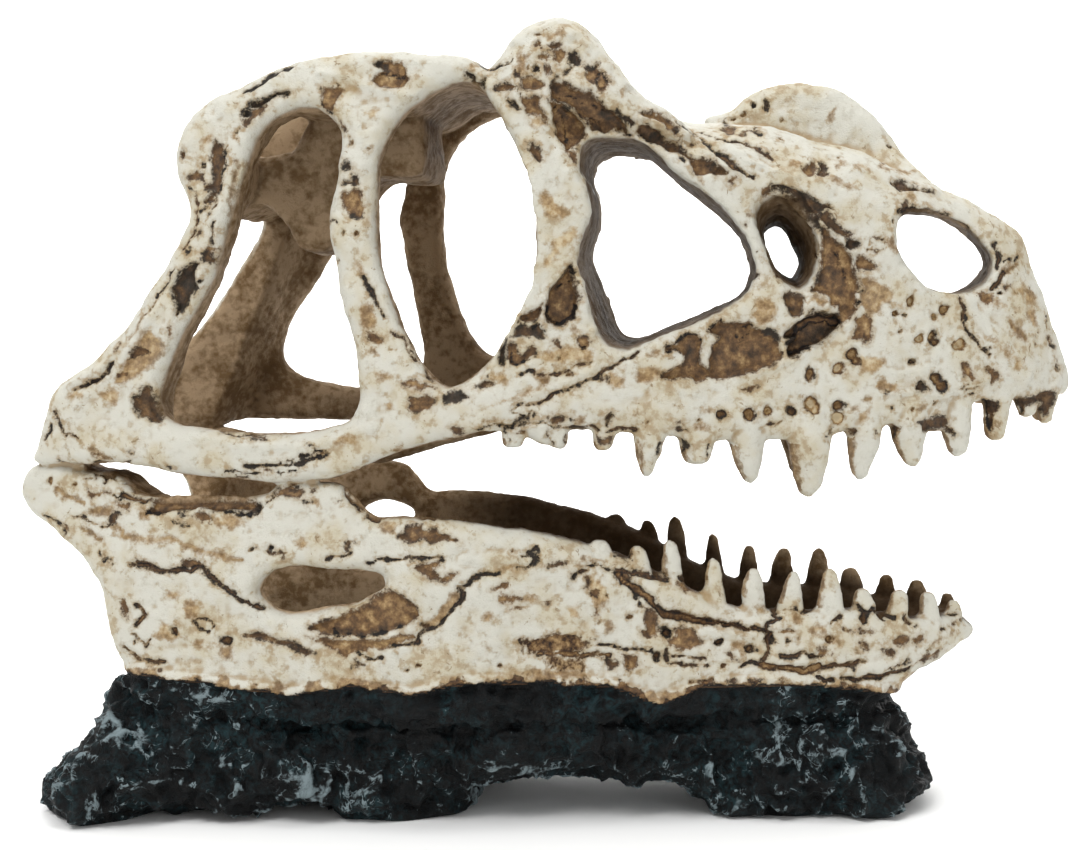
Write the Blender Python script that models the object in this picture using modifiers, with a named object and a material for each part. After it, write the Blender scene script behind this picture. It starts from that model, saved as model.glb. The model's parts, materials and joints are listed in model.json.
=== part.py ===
"""Tabletop cast replica of a horned theropod skull, jaws open, standing on a moulded rock base.

Frame: +X to the snout, +Y to the animal's left, +Z up, origin under the middle of the bounding box.
Lengths are in millimetres until the last step, where every bone is scaled to metres.
"""
import math

import bmesh
import bpy
import numpy as np
from mathutils import Matrix, Vector

# driving sizes, mm
SUTURE_GAP = 0.3          # clearance between two bones
SLAB_VOXEL = 1.2          # grid of one flat blank before it is bent
CAST_VOXEL = 0.8          # grid of the joined casting
BAR_WALL = 7.0            # side to side depth of a jugal or postorbital bar
QUADRATE_WALL = {"right": 12.0, "left": 17.0}   # the same for the quadrate columns
ARCH_WALL = 13.0          # the same for the arch over the temporal opening
LEAN = 0.048              # the casting's skull rolls up to its left, rise per width
JAW_WALL = 6.0
EDGE_ROUND = 2.6          # rounding of a bar's rims
FLOOR_CUT = 1.6           # depth of casting that the base loses to its flat feet
TRIANGLES = 4300          # the casting's budget before the sutures are cut

# half widths of the skull and of the lower jaw along X: (x, half width)
SKULL_HALF = [(-90, 26.5), (-82, 29), (-65, 30.5), (-40, 31), (-14, 31), (0, 29), (10, 26.5), (20, 24.5),
              (27, 22.5), (37, 20), (48, 18), (60, 15.5), (70, 12.5), (79, 9.5), (86, 6), (90, 3)]
JAW_HALF = [(-90, 26), (-82, 28), (-66, 30), (-40, 31), (-14, 31), (0, 27.5), (10, 25), (27, 21.5),
            (48, 17.5), (57, 15), (66, 10.5), (73, 5)]

# side outlines as knots (x, z) of a smooth curve
WALL_BACK = [(-82, 61.2), (-88.3, 61.6), (-86.3, 68), (-84, 73.4), (-76.3, 78.8), (-70, 84.8), (-65.5, 91.6),
             (-61, 98.4), (-59, 103), (-59.6, 106.5), (-61.7, 111), (-61.4, 115.3), (-58.2, 120.9), (-50, 125.6),
             (-40.6, 129.1), (-32, 130), (-23, 130.4), (-15, 129.4), (-10.5, 128.2), (-6, 125.5), (-1, 124), (3, 120)]
WALL_FOOT = {"right": [(3, 68.5), (-5.5, 68.2), (-15, 66), (-22, 64), (-33, 59.7), (-45, 58.5), (-57, 59.3),
                       (-68, 60.7), (-72.5, 61.6), (-78.5, 61)],
             "left": [(3, 68.5), (-5.5, 67.5), (-15, 65), (-30, 63.1), (-48, 64.1), (-65, 64.1), (-71, 63),
                      (-77, 61.5)]}
TEMPORAL = {"right": [(-33, 116), (-34, 109), (-35, 104), (-34.6, 98), (-32.3, 86), (-30.2, 77), (-30.4, 71), (-34, 68),
                      (-45, 66.5), (-58, 67.5), (-63, 69), (-64.5, 73), (-60.5, 83), (-55, 92.5), (-52, 102),
                      (-49, 113), (-46, 118.5), (-39.5, 121), (-35, 119.5)],
            "left": [(-32, 116), (-32.7, 109), (-33.7, 104), (-32.7, 98), (-30.4, 86), (-29, 76), (-34, 70.8), (-45, 70.8),
                     (-54.5, 73), (-58, 77.5), (-56, 85), (-51, 92), (-46.5, 100.5), (-45, 110), (-44, 116.5),
                     (-39.5, 120), (-35, 119)]}
ORBIT = {"right": [(-27, 105), (-26.5, 112), (-23, 119.5), (-16, 124), (-11, 124.5), (-7.9, 120.8), (-4.8, 115.6),
                   (-1.8, 108.3), (-0.8, 101), (-1.3, 92), (-4.3, 85.6), (-8.3, 78.8), (-13.5, 75), (-17, 75.5),
                   (-21.5, 82), (-25.5, 92), (-27, 99)],
         "left": [(-24.8, 105), (-24.8, 112), (-21.5, 119), (-16, 123), (-11, 124), (-7.5, 121), (-4, 116),
                  (-1, 108.5), (0, 101), (-0.5, 92), (-4, 84.5), (-9, 78.6), (-15, 77), (-19.5, 81),
                  (-23.6, 91), (-25, 98)]}
SNOUT_TOP = [(-5, 119.5), (-1.5, 124.5), (5, 124.2), (18, 121.7), (25, 119.6), (36, 119.5), (43, 117.5), (54, 114.5),
             (61, 111.3), (66, 108.8), (72, 106.5), (79, 102.8), (82.6, 99.2), (85.3, 92.2), (88.3, 84.5), (90.3, 79),
             (91, 75), (89.8, 72.8)]
SNOUT_FOOT = [(85, 73.3), (77.5, 72), (72.5, 71.4), (64, 69), (57, 67.3), (51, 66.6), (43, 65.2), (26.5, 65.5),
              (10, 66.8), (-5.5, 67.4)]
SNOUT_REAR = [(-10, 67.5), (-12, 70), (-11, 74), (-8.3, 78.8), (-4.3, 85.6), (-1.3, 92), (-0.8, 101), (-1.8, 108.3),
              (-4.8, 115.6)]
ANTORBITAL = [(7.3, 114.7), (10, 115.9), (16.5, 115), (23, 109.8), (31, 103.2), (34.8, 97), (34.5, 91), (30.5, 87.5),
              (20, 83.2), (13.5, 81), (10, 83.5), (7.5, 91), (6.3, 96), (8.3, 102), (8, 107.5), (6.5, 111)]
FRONT_WINDOW = [(35.7, 104), (38.5, 107.3), (42, 106.8), (45.5, 101), (45.6, 95), (43.5, 90.8), (39.5, 93), (37, 98.5)]
NARIS = [(60, 102.5), (62, 103.8), (68, 103.2), (73, 100.2), (76, 96.8), (75.5, 93), (71, 90.4), (65, 91.2),
         (61.5, 95), (60, 98.5)]
BROW_HORN = [(-9.5, 126), (-8, 128), (-4.4, 133.2), (-0.7, 135.4), (4, 135.7), (8.6, 133.3), (12, 129.2), (15.4, 124.4),
             (22.6, 119.2), (26.5, 115), (16, 116), (7, 117), (-1.5, 116), (-6.5, 121)]
NASAL_HORN = [(27, 120.2), (31.5, 122.2), (36, 125.5), (42, 127.2), (48, 126.8), (53, 124.5), (57, 121), (61, 115.8),
              (65, 111.2), (68, 107), (60, 104), (48, 107), (38, 112)]
SKULL_ROOF = [(-45, 122), (-43, 125.3), (-38, 127.3), (-30, 128), (-20, 128), (-11, 127), (-4, 126), (3, 124), (3, 117),
              (-4, 117.5), (-8, 122), (-12, 124.5), (-17, 124), (-23, 120.5), (-32, 120.5), (-42, 120.5)]
BRAINCASE = [(-42.5, 121), (-45.5, 115.5), (-49.5, 114.2), (-54.5, 113.5), (-56, 109), (-55, 104.5), (-51, 105.5),
             (-48, 103), (-45, 98), (-42, 97), (-38, 98.5), (-34.5, 107), (-31, 110), (-22.5, 110.5), (-22, 118),
             (-24, 125), (-34, 126), (-40.5, 125)]
OCCIPUT = [(-58, 103.5), (-53.5, 105), (-51.5, 109), (-51.5, 113.5), (-56, 114.5), (-60, 111)]

# lower jaw
JAW_BACK = {"right": [(-79, 60.3), (-83, 61.3), (-89.5, 60.2), (-91.2, 55.8), (-88, 51.6), (-83, 48.3), (-78.2, 44),
                      (-75.4, 38.7), (-74.4, 33), (-71.6, 27), (-65, 20)],
            "left": [(-71, 62), (-76.5, 63.5), (-78, 60), (-75.5, 55), (-74.5, 50), (-75, 44),
                     (-74.4, 38), (-74, 33), (-72.3, 27), (-65, 20)]}
JAW_FRONT = [(-30, 18), (10, 18), (50, 18), (58.5, 20.5), (64, 25), (70.6, 27.7), (74.8, 31.3), (71, 34)]
JAW_TOP = [(64, 34.4), (53, 36.2), (43, 36.4), (34, 37), (27, 39.4), (20, 42.8), (12, 46.6), (4, 49), (-6, 51.3),
           (-14, 52.5), (-24, 52.8), (-28, 52.8), (-31, 56), (-33.5, 58.2), (-43, 58.2), (-47, 56.4), (-58, 56),
           (-68, 56.2), (-72.5, 59)]
JAW_WINDOW = [(-47.4, 39.5), (-46.5, 42.3), (-42, 44.2), (-34, 43.7), (-28, 43.8), (-25.4, 42.3), (-26.5, 40.5),
              (-31, 38.6), (-37, 37), (-43, 36.6)]
JAW_SLOT = [(-42, 48), (-38.5, 50.4), (-33.5, 50), (-30.5, 47.6), (-35, 45.6), (-40.5, 45.8)]   # left jaw only
ROCK = [(-66, 24), (-73.2, 23.8), (-77, 20.4), (-79.4, 17), (-80.2, 13), (-84.9, 8.2), (-88.8, 4.5), (-87.5, 0),
        (-82.5, -FLOOR_CUT), (-72, -FLOOR_CUT), (-68, 0.0), (-61, 0.5), (-48, 0.3), (-41, 2.1), (-37, 0.8),
        (-33, -FLOOR_CUT), (-17, -FLOOR_CUT), (-13.5, 0.5), (-12.8, 5.2), (-8, 5.6), (0, 6.5), (7, 6.5), (14, 5),
        (22, 5.4), (26, 3.2), (30, 0), (34, -FLOOR_CUT), (58, -FLOOR_CUT), (63.5, 1), (68, 3.8), (65.8, 8), (63, 14),
        (59.5, 19), (54, 21), (20, 19.5), (0, 21), (-30, 21)]

# teeth on each side: (x at the root, z at the root, x at the tip, z at the tip, width, tip width)
UPPER_TEETH = [(-4.2, 67.3, -4.4, 64.4, 3.6, 2.4), (2.7, 67.3, 2.8, 64.4, 3.2, 2.2), (10.6, 66.6, 10.2, 63.4, 3.8, 2.0),
               (18, 65.8, 17.6, 59.4, 4.6, 1.6), (25.8, 65.6, 25.9, 61.4, 5.2, 3.4), (34.5, 65.4, 35, 57.8, 5.6, 1.8),
               (44.8, 65.6, 44.8, 55.6, 6.8, 2.2), (54.3, 67, 53.7, 58.6, 5.4, 1.6), (62, 68.4, 62.9, 60.7, 5.8, 2.0),
               (70.2, 70.6, 70.7, 62.4, 5.4, 2.0), (77.6, 72, 77.3, 65.2, 5.0, 2.2), (82.8, 73, 83.1, 68.8, 4.2, 2.6),
               (87, 73.8, 86.6, 67.8, 3.8, 1.8), (66.4, 69.8, 66.4, 66.8, 4.6, 4.2)]
LOWER_TEETH = [(9.8, 47, 9.8, 48.8, 3.6, 1.6), (16.4, 44.6, 15.9, 47.6, 3.0, 1.2), (22, 41.8, 21.4, 48.3, 3.4, 1.2),
               (29, 38.6, 28.8, 45.4, 3.6, 1.2), (35.6, 36.6, 35.8, 43.5, 3.8, 1.4), (42, 36.3, 42.6, 43.2, 4.2, 1.2),
               (48.7, 35.8, 48.7, 43.6, 4.6, 1.6), (54.8, 35.8, 54.3, 39.9, 4.0, 1.6), (60.6, 34.6, 61, 39.3, 3.6, 1.6),
               (66.4, 33.9, 66, 38.6, 3.6, 1.6), (71.2, 32.6, 71, 36.9, 3.0, 1.4)]

WORN_TEETH = (7, 8, 9, 10, 11)          # of the left upper row

# sutures: a ribbon between two bones, (name, knots in the side view, depths from the mid-plane, closed)
SUTURES = [
    ("jaw_hinge", [(-95, 62.5), (-86, 61.7), (-79, 60.8), (-75, 60.6), (-72, 58), (-66, 57), (-58, 57.4),
                   (-50, 58.4), (-38, 58.6), (-27, 58.4), (-20, 60)], (-40, 40)),
    ("rock_seam", [(-80, 26.5), (-69, 25.7), (-57, 24.5), (-41, 22.8), (-32, 24.6), (-21, 23.1), (-12, 25.4),
                   (2, 25), (11, 24.2), (20, 20.9), (27, 23.7), (38, 24.2), (52, 23.2), (60, 21.8), (70, 19)],
     (-40, 40)),
    ("premaxilla_maxilla", [(70.4, 93), (70.8, 89.5), (72.5, 84.5), (75.2, 79.5), (75.4, 75), (74.2, 69)], (-20, 20)),
    ("premaxilla_nasal", [(74, 94.5), (78.5, 96.5), (86, 99.5)], (-20, 20)),
    ("maxilla_nasal", [(65.5, 95), (61.5, 96), (59, 97), (56, 98.5), (48.5, 104.5), (42, 109), (35, 109.5), (32, 106.5),
                       (28, 102.5)], (-34, 34)),
    ("nasal_lacrimal", [(35, 109.7), (27, 116), (22.5, 119.5), (19, 124)], (-34, 34)),
    ("lacrimal_jugal", [(-9, 82), (-3, 84.5), (3, 85), (12, 84.5)], (-34, 34)),
    ("jugal_maxilla", [(17, 86), (14, 80), (10, 76), (2, 73.5), (-4, 71.5), (-8, 69), (-10, 64)], (-34, 34)),
    ("lacrimal_roof", [(-9.5, 132), (-8.5, 126), (-8.5, 121), (-10, 116)], (-34, 34)),
]
SIDE_SUTURES = [
    ("postorbital_jugal", [(-35, 82.5), (-28, 83.5), (-18, 84.5)], (14, 36)),
    ("postorbital_squamosal", [(-37, 117), (-38.5, 124), (-41, 132)], (14.7, 36)),
    ("squamosal_quadrate", [(-64, 99.5), (-57, 100.5), (-46, 103)], (10, 36)),
    ("quadrate_jugal", [(-55, 80), (-60, 74), (-66, 68), (-70, 65), (-75, 57.5)], (10, 36)),
]
JAW_SUTURE = [(-20, 54), (-9, 51), (-11, 45), (-18, 39), (-20, 33), (-27, 29), (-30, 21)]
# the paired bones part at the mid-plane inside these side outlines
MIDLINE_TOP = [(-14, 58), (-9, 58), (-7, 67.5), (-3, 70.5), (3, 72.5), (11, 75), (16, 80), (22, 88), (30, 102),
               (34, 105.5), (36.5, 109.9), (28, 117.2), (23.5, 120.6), (20, 124.6), (16, 140), (-9.4, 140), (-9.4, 126),
               (-9, 121), (-10.5, 115.5), (-14, 105)]
MIDLINE_JAW = [(50, 20), (80, 20), (80, 50), (50, 50)]

# a point on the skin of each bone, to name it by; paired bones are given on the right side
SINGLE_BONES = {"rock_base": (0, -29, 12), "maxilla": (52, -17, 82), "premaxilla": (89, -3, 80),
                "nasals": (46, 0, 127.5), "braincase": (-30, 0, 128)}
PAIRED_BONES = {"lacrimal": (2, -20, 118), "jugal": (-20, -29, 69), "postorbital": (-31, -28, 105),
                "squamosal": (-55, -26, 112), "quadrate": (-72, -25, 76), "dentary": (20, -20, 35),
                "surangular": (-55, -28, 50)}
BONE_COLOUR = (0.73, 0.70, 0.61, 1.0)
ROCK_COLOUR = (0.012, 0.019, 0.022, 1.0)
MM = 0.001


def clear_scene():
    for item in list(bpy.data.objects):
        bpy.data.objects.remove(item, do_unlink=True)


def table(rows, x):
    xs, ys = zip(*rows)
    return np.interp(x, xs, ys)


def ramp(value, start, end):
    u = np.clip((value - start) / (end - start), 0.0, 1.0)
    return u * u * (3.0 - 2.0 * u)


def through(knots, closed=True, step=1.1):
    """A smooth curve through the knots, as points about one step apart."""
    pts = np.array(knots, float)
    n = len(pts)
    out = []
    for i in range(n if closed else n - 1):
        if closed:
            a, b, c, d = (pts[(i + k) % n] for k in (-1, 0, 1, 2))
        else:
            a, b, c, d = pts[max(i - 1, 0)], pts[i], pts[i + 1], pts[min(i + 2, n - 1)]
        count = max(1, round(float(np.linalg.norm(c - b)) / step))
        for k in range(count):
            u = k / count
            out.append(0.5 * (2 * b + (c - a) * u + (2 * a - 5 * b + 4 * c - d) * u * u
                              + (3 * b - a - 3 * c + d) * u ** 3))
    if not closed:
        out.append(pts[-1])
    return np.array(out)


def edge_distance(x, z, line, closed=True):
    """Distance in the side view from each point to a line of points."""
    a = line if closed else line[:-1]
    b = np.roll(line, -1, axis=0) if closed else line[1:]
    ab = b - a
    length = np.maximum((ab ** 2).sum(1), 1e-9)
    best = np.empty(len(x))
    for start in range(0, len(x), 4000):
        p = np.stack([x[start:start + 4000], z[start:start + 4000]], 1)[:, None, :]
        u = np.clip(((p - a) * ab).sum(2) / length, 0, 1)[..., None]
        best[start:start + 4000] = np.sqrt((((a + u * ab) - p) ** 2).sum(2).min(1))
    return best


def rim_drop(distance, radius, depth=None):
    """How far a face falls back at this distance from its rim, for a rounded rim."""
    u = np.clip(1.0 - distance / radius, 0.0, 1.0)
    return (radius if depth is None else depth) * (1.0 - np.sqrt(1.0 - u * u))


def link(name, mesh, collection=None):
    item = bpy.data.objects.new(name, mesh)
    (collection or bpy.context.scene.collection).objects.link(item)
    return item


def evaluated(item):
    bpy.context.view_layer.update()
    graph = bpy.context.evaluated_depsgraph_get()
    return bpy.data.meshes.new_from_object(item.evaluated_get(graph))


def outline_mesh(loops, half_depth):
    """The flat solid inside closed outlines; further loops are holes."""
    curve = bpy.data.curves.new("outline", "CURVE")
    curve.dimensions = "2D"
    curve.fill_mode = "BOTH"
    curve.extrude = half_depth
    for loop in loops:
        spline = curve.splines.new("POLY")
        spline.points.add(len(loop) - 1)
        spline.points.foreach_set("co", np.column_stack([loop, np.zeros(len(loop)), np.ones(len(loop))]).ravel())
        spline.use_cyclic_u = True
    item = link("outline", curve)
    mesh = evaluated(item)
    bpy.data.objects.remove(item, do_unlink=True)
    bm = bmesh.new()
    bm.from_mesh(mesh)
    bmesh.ops.remove_doubles(bm, verts=bm.verts, dist=0.001)
    bm.to_mesh(mesh)
    bm.free()
    return mesh


def blank(loops, voxel=SLAB_VOXEL):
    """A flat blank of the outline with an even grid of vertices, as (mesh, x, z, t) with t from -1 to 1."""
    half_depth = 4.0
    item = link("blank", outline_mesh(loops, half_depth))
    remesh = item.modifiers.new("grid", "REMESH")
    remesh.mode = "VOXEL"
    remesh.voxel_size = voxel
    mesh = evaluated(item)
    bpy.data.objects.remove(item, do_unlink=True)
    co = np.empty(len(mesh.vertices) * 3)
    mesh.vertices.foreach_get("co", co)
    co = co.reshape(-1, 3)
    return mesh, co[:, 0], co[:, 1], np.clip(co[:, 2] / (half_depth - 0.3), -1, 1)


def place(mesh, x, y, z):
    mesh.vertices.foreach_set("co", np.column_stack([x, y, z]).ravel())
    mesh.update()
    return mesh


def skull_half(x, z):
    return table(SKULL_HALF, x) * (1.0 - 0.10 * ramp(z, 98, 130))


def wall_depth(x, z, side):
    """Deep at the quadrate column and along the arch over the temporal opening, thin elsewhere."""
    column = ramp(-64.0 + (z - 74.0) * 0.4 + 4.0 - x, 0.0, 5.0)
    arch = ramp(z, 116, 120) * ramp(-x, 28, 36)
    return BAR_WALL + np.maximum((QUADRATE_WALL[side] - BAR_WALL) * column, (ARCH_WALL - BAR_WALL) * arch)


def lean(x, y, z):
    """Height after the skull's roll; the right face stays where it is."""
    return z + LEAN * (y + table(SKULL_HALF, x))


def side_wall(side):
    loops = [through(WALL_BACK + WALL_FOOT[side]), through(TEMPORAL[side]), through(ORBIT[side])]
    mesh, x, z, t = blank(loops)
    drop = rim_drop(np.min([edge_distance(x, z, loop) for loop in loops], axis=0), EDGE_ROUND)
    outer = skull_half(x, z) - drop
    inner = skull_half(x, z) - wall_depth(x, z, side) + drop
    s = inner + (outer - inner) * (t + 1) / 2
    y = s if side == "left" else -s
    return place(mesh, x, y, lean(x, y, z))


def full_width(loop_knots, half, radius=3.0, depth=None, holes=()):
    """A solid across the mid-plane: half(x, z) is its half width, falling back at its rims."""
    outline = through(loop_knots)
    mesh, x, z, t = blank([outline] + [through(hole) for hole in holes])
    s = half(x, z)
    s = s - rim_drop(edge_distance(x, z, outline), radius, s * 0.6 if depth is None else depth)
    for hole in holes:
        s = s - rim_drop(edge_distance(x, z, through(hole)), 1.8)
    return place(mesh, x, s * t, lean(x, s * t, z))


def snout():
    top, foot = through(SNOUT_TOP, False), through(SNOUT_FOOT, False)
    holes = [through(ANTORBITAL), through(FRONT_WINDOW), through(NARIS)]
    mesh, x, z, t = blank([through(SNOUT_TOP + SNOUT_FOOT + SNOUT_REAR)] + holes)
    s = skull_half(x, z)
    s = s - rim_drop(edge_distance(x, z, top, False), 11.0, s * 0.55)
    s = s - rim_drop(edge_distance(x, z, foot, False), 5.0, s * 0.12)
    for hole in holes:
        s = s - rim_drop(edge_distance(x, z, hole), 1.6)
    y = s * t
    far = (t + 1) / 2                                                 # openings widen toward the left side
    nose = far * np.exp(-(((x - 68) / 13) ** 2 + ((z - 97) / 10) ** 2) ** 2)
    post = far * np.exp(-(((x - 8) / 5) ** 2 + ((z - 104) / 10) ** 2) ** 2)
    x, z = x + (x - 68) * 0.14 * nose - 1.6 * post, z + (z - 94) * 0.16 * nose
    centre_x, centre_z = 41.8, 94.0                                   # the front window tapers inward
    near = np.exp(-(((x - centre_x) / 9) ** 2 + ((z - 98) / 12) ** 2) ** 2)
    squeeze = near * (1 - t * t)
    x2, z2 = x + (centre_x - x) * squeeze * 0.5, z + (centre_z - z) * squeeze * 0.7
    floor = np.interp(x, foot[::-1, 0], foot[::-1, 1])                # the palate rises between the tooth rows
    inside = ramp(skull_half(x, z) - 5.5 - np.abs(y), 0.0, 2.5)
    rise = 4.5 * inside * (1 - ramp(z - floor, 1.0, 9.0)) * (1 - ramp(x, 72, 80))
    return place(mesh, x2, y, lean(x2, y, z2 + rise))


def brow_horn(side):
    outline = through(BROW_HORN)
    mesh, x, z, t = blank([outline])
    drop = rim_drop(edge_distance(x, z, outline), 5.0, 4.2)
    outer = skull_half(x, 118) + 0.4 - drop - 2.0 * ramp(z, 120, 136)
    inner = skull_half(x, 118) - 9.5 + drop
    s = inner + (outer - inner) * (t + 1) / 2
    y = s if side == "left" else -s
    return place(mesh, x, y, lean(x, y, z))


def jaw_half(x):
    return table(JAW_HALF, x)


def jaw(side):
    loops = [through(JAW_BACK[side] + JAW_FRONT + JAW_TOP), through(JAW_WINDOW)]
    if side == "left":
        loops.append(through(JAW_SLOT))
    mesh, x, z, t = blank(loops)
    drop = rim_drop(np.min([edge_distance(x, z, loop) for loop in loops], axis=0), EDGE_ROUND)
    wall = JAW_WALL + 8.0 * ramp(-x, 62, 70) + 1.5 * ramp(z, 40, 30)
    outer = jaw_half(x) - drop - 0.8 * ramp(z, 44, 56)
    inner = np.maximum(jaw_half(x) - wall, -0.5) + drop * ramp(jaw_half(x) - wall, 0, 4)
    s = inner + (outer - inner) * (t + 1) / 2
    return place(mesh, x, s if side == "left" else -s, z)


def rock():
    def half(x, z):
        top = table([(-88, 22), (-78, 26), (-66, 28), (-14, 29), (10, 25), (48, 17), (60, 13.5), (68, 9)], x)
        low = table([(-88, 28), (-78, 36), (-66, 32), (-45, 29), (-25, 26), (10, 22), (35, 18), (60, 16), (68, 11)], x)
        return top + (low - top) * ramp(22 - z, 0, 16)
    mesh, x, z, t = blank([through(ROCK)], 1.6)
    s = half(x, z) - rim_drop(edge_distance(x, z, through(ROCK)), 6.5, 11.0) * ramp(24 - z, 0, 4)
    swell = 1.0 * np.sin(x * 0.21 + 1.3) * np.cos(z * 0.33) + 0.7 * np.sin(x * 0.47 + z * 0.3)
    return place(mesh, x, (s + swell * ramp(24 - z, 0, 6)) * t, z)


def cone(base, tip, base_radius, tip_radius, squash):
    """A tooth from base to tip, flattened side to side."""
    base, tip = Vector(base), Vector(tip)
    axis = tip - base
    turn = axis.to_track_quat("Z", "Y").to_matrix().to_4x4()
    matrix = Matrix.Translation((base + tip) / 2) @ turn
    bm = bmesh.new()
    bmesh.ops.create_cone(bm, cap_ends=True, segments=14, radius1=base_radius, radius2=tip_radius, depth=axis.length,
                          matrix=matrix)
    middle = (base.y + tip.y) / 2
    for vert in bm.verts:
        vert.co.y = middle + (vert.co.y - middle) * squash
    mesh = bpy.data.meshes.new("tooth")
    bm.to_mesh(mesh)
    bm.free()
    return mesh


def teeth(rows, half, leaning, worn=()):
    """Both rows of teeth; worn lists the left ones that are broken off near the gum."""
    for i, (x0, z0, x1, z1, width, tip_width) in enumerate(rows):
        s = max(half(x0) - 2.6, 1.6)
        for sign in (-1, 1):
            rise = LEAN * (sign * s + half(x0)) if leaning else 0.0
            stub = 0.22 if sign > 0 and i in worn else 1.0
            base = (x0 - (x1 - x0) * 0.5, sign * s, z0 - (z1 - z0) * 0.5 + rise)
            tip = (x0 + (x1 - x0) * stub, sign * s, z0 + (z1 - z0) * stub + rise)
            yield cone(base, tip, width / 2 * 1.15, (tip_width if stub == 1.0 else width) / 2 * 1.1, 0.8)


def tube(points, radius):
    curve = bpy.data.curves.new("bar", "CURVE")
    curve.dimensions = "3D"
    curve.bevel_depth = radius
    curve.bevel_resolution = 2
    curve.use_fill_caps = True
    spline = curve.splines.new("POLY")
    spline.points.add(len(points) - 1)
    for point, co in zip(spline.points, points):
        point.co = (*co, 1.0)
    item = link("bar", curve)
    mesh = evaluated(item)
    bpy.data.objects.remove(item, do_unlink=True)
    bm = bmesh.new()
    bm.from_mesh(mesh)
    bmesh.ops.remove_doubles(bm, verts=bm.verts, dist=0.001)
    bm.to_mesh(mesh)
    bm.free()
    return mesh


def casting():
    """All volumes of the replica joined on one fine grid, softened and thinned to the budget."""
    pieces = [side_wall("right"), side_wall("left"), snout(), brow_horn("right"), brow_horn("left"),
              jaw("right"), jaw("left"), rock()]
    pieces.append(full_width(NASAL_HORN, lambda x, z: 5.2 - 1.6 * ramp(z, 112, 128) + 2.5 * ramp(-z, -114, -106), 4.0))
    pieces.append(full_width(SKULL_ROOF, lambda x, z: skull_half(x, 126) - 2.0, 2.0, 1.5))
    pieces.append(full_width(BRAINCASE, lambda x, z: 13.0 + 0 * x, 3.0, 3.0))
    pieces.append(full_width(OCCIPUT, lambda x, z: skull_half(x, z) - 5.0, 2.0, 2.0))
    pieces += list(teeth(UPPER_TEETH, lambda x: float(table(SKULL_HALF, x)), True, WORN_TEETH))
    pieces += list(teeth(LOWER_TEETH, lambda x: float(jaw_half(x)), False))
    for sign in (-1, 1):                                              # pterygoid bars, quadrate foot to palate
        pieces.append(tube([(-78, sign * 19, 64), (-55, sign * 13, 62), (-30, sign * 10, 63),
                            (-12, sign * 9, 68), (2, sign * 9, 73)], 2.4))
    bm = bmesh.new()
    for mesh in pieces:
        bm.from_mesh(mesh)
        bpy.data.meshes.remove(mesh)
    joined = bpy.data.meshes.new("casting")
    bm.to_mesh(joined)
    bm.free()
    item = link("casting", joined)
    remesh = item.modifiers.new("join", "REMESH")
    remesh.mode = "VOXEL"
    remesh.voxel_size = CAST_VOXEL
    smooth = item.modifiers.new("soften", "SMOOTH")
    smooth.factor = 0.5
    smooth.iterations = 3
    thin = item.modifiers.new("thin", "DECIMATE")
    count = len(evaluated(item).polygons) * 2
    thin.ratio = TRIANGLES / count
    thin.use_collapse_triangulate = True
    print("casting", count, "triangles before thinning")
    return bake(item)


def bake(item):
    mesh = evaluated(item)
    item.modifiers.clear()
    old = item.data
    item.data = mesh
    bpy.data.meshes.remove(old)
    return item


def cut(item, cutter):
    cutter.hide_render = True
    cutter.display_type = "WIRE"
    boolean = item.modifiers.new("cut", "BOOLEAN")
    boolean.operation = "DIFFERENCE"
    boolean.object = cutter
    bake(item)


def ribbon(name, knots, depths, cutters):
    """A thin wall along a line of the side view, between two depths from the mid-plane."""
    line = through(knots, False, 4.0)
    along = np.gradient(line, axis=0)
    normal = np.stack([-along[:, 1], along[:, 0]], 1)
    normal /= np.linalg.norm(normal, axis=1)[:, None]
    loop = np.concatenate([line + normal * SUTURE_GAP / 2, (line - normal * SUTURE_GAP / 2)[::-1]])
    mesh = outline_mesh([loop], abs(depths[1] - depths[0]) / 2)
    middle = (depths[0] + depths[1]) / 2
    for vert in mesh.vertices:
        x, z, t = vert.co
        vert.co = (x, middle - t, z)
    mesh.update()
    return link("suture_" + name, mesh, cutters)


def box(name, low, high, cutters):
    bm = bmesh.new()
    bmesh.ops.create_cube(bm, size=1.0)
    size = Vector(high) - Vector(low)
    centre = (Vector(high) + Vector(low)) / 2
    for vert in bm.verts:
        vert.co = centre + Vector(vert.co[i] * size[i] for i in range(3))
    mesh = bpy.data.meshes.new(name)
    bm.to_mesh(mesh)
    bm.free()
    return link(name, mesh, cutters)


def islands(mesh):
    """Separate closed bodies of a mesh, as (vertices, faces) pairs."""
    bm = bmesh.new()
    bm.from_mesh(mesh)
    bmesh.ops.triangulate(bm, faces=bm.faces)
    bm.verts.ensure_lookup_table()
    seen = set()
    for start in bm.verts:
        if start.index in seen:
            continue
        stack, group = [start], []
        seen.add(start.index)
        while stack:
            vert = stack.pop()
            group.append(vert)
            for edge in vert.link_edges:
                other = edge.other_vert(vert)
                if other.index not in seen:
                    seen.add(other.index)
                    stack.append(other)
        order = {vert.index: i for i, vert in enumerate(group)}
        faces = {face for vert in group for face in vert.link_faces}
        yield [tuple(vert.co) for vert in group], [[order[v.index] for v in face.verts] for face in faces]
    bm.free()


def volume(verts, faces):
    total = 0.0
    for face in faces:
        a, b, c = (Vector(verts[i]) for i in face)
        total += a.dot(b.cross(c)) / 6.0
    return total


def material(name, colour, roughness):
    made = bpy.data.materials.new(name)
    made.use_nodes = True
    shader = made.node_tree.nodes["Principled BSDF"]
    shader.inputs["Base Color"].default_value = colour
    shader.inputs["Roughness"].default_value = roughness
    shader.inputs["Metallic"].default_value = 0.0
    return made


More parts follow.
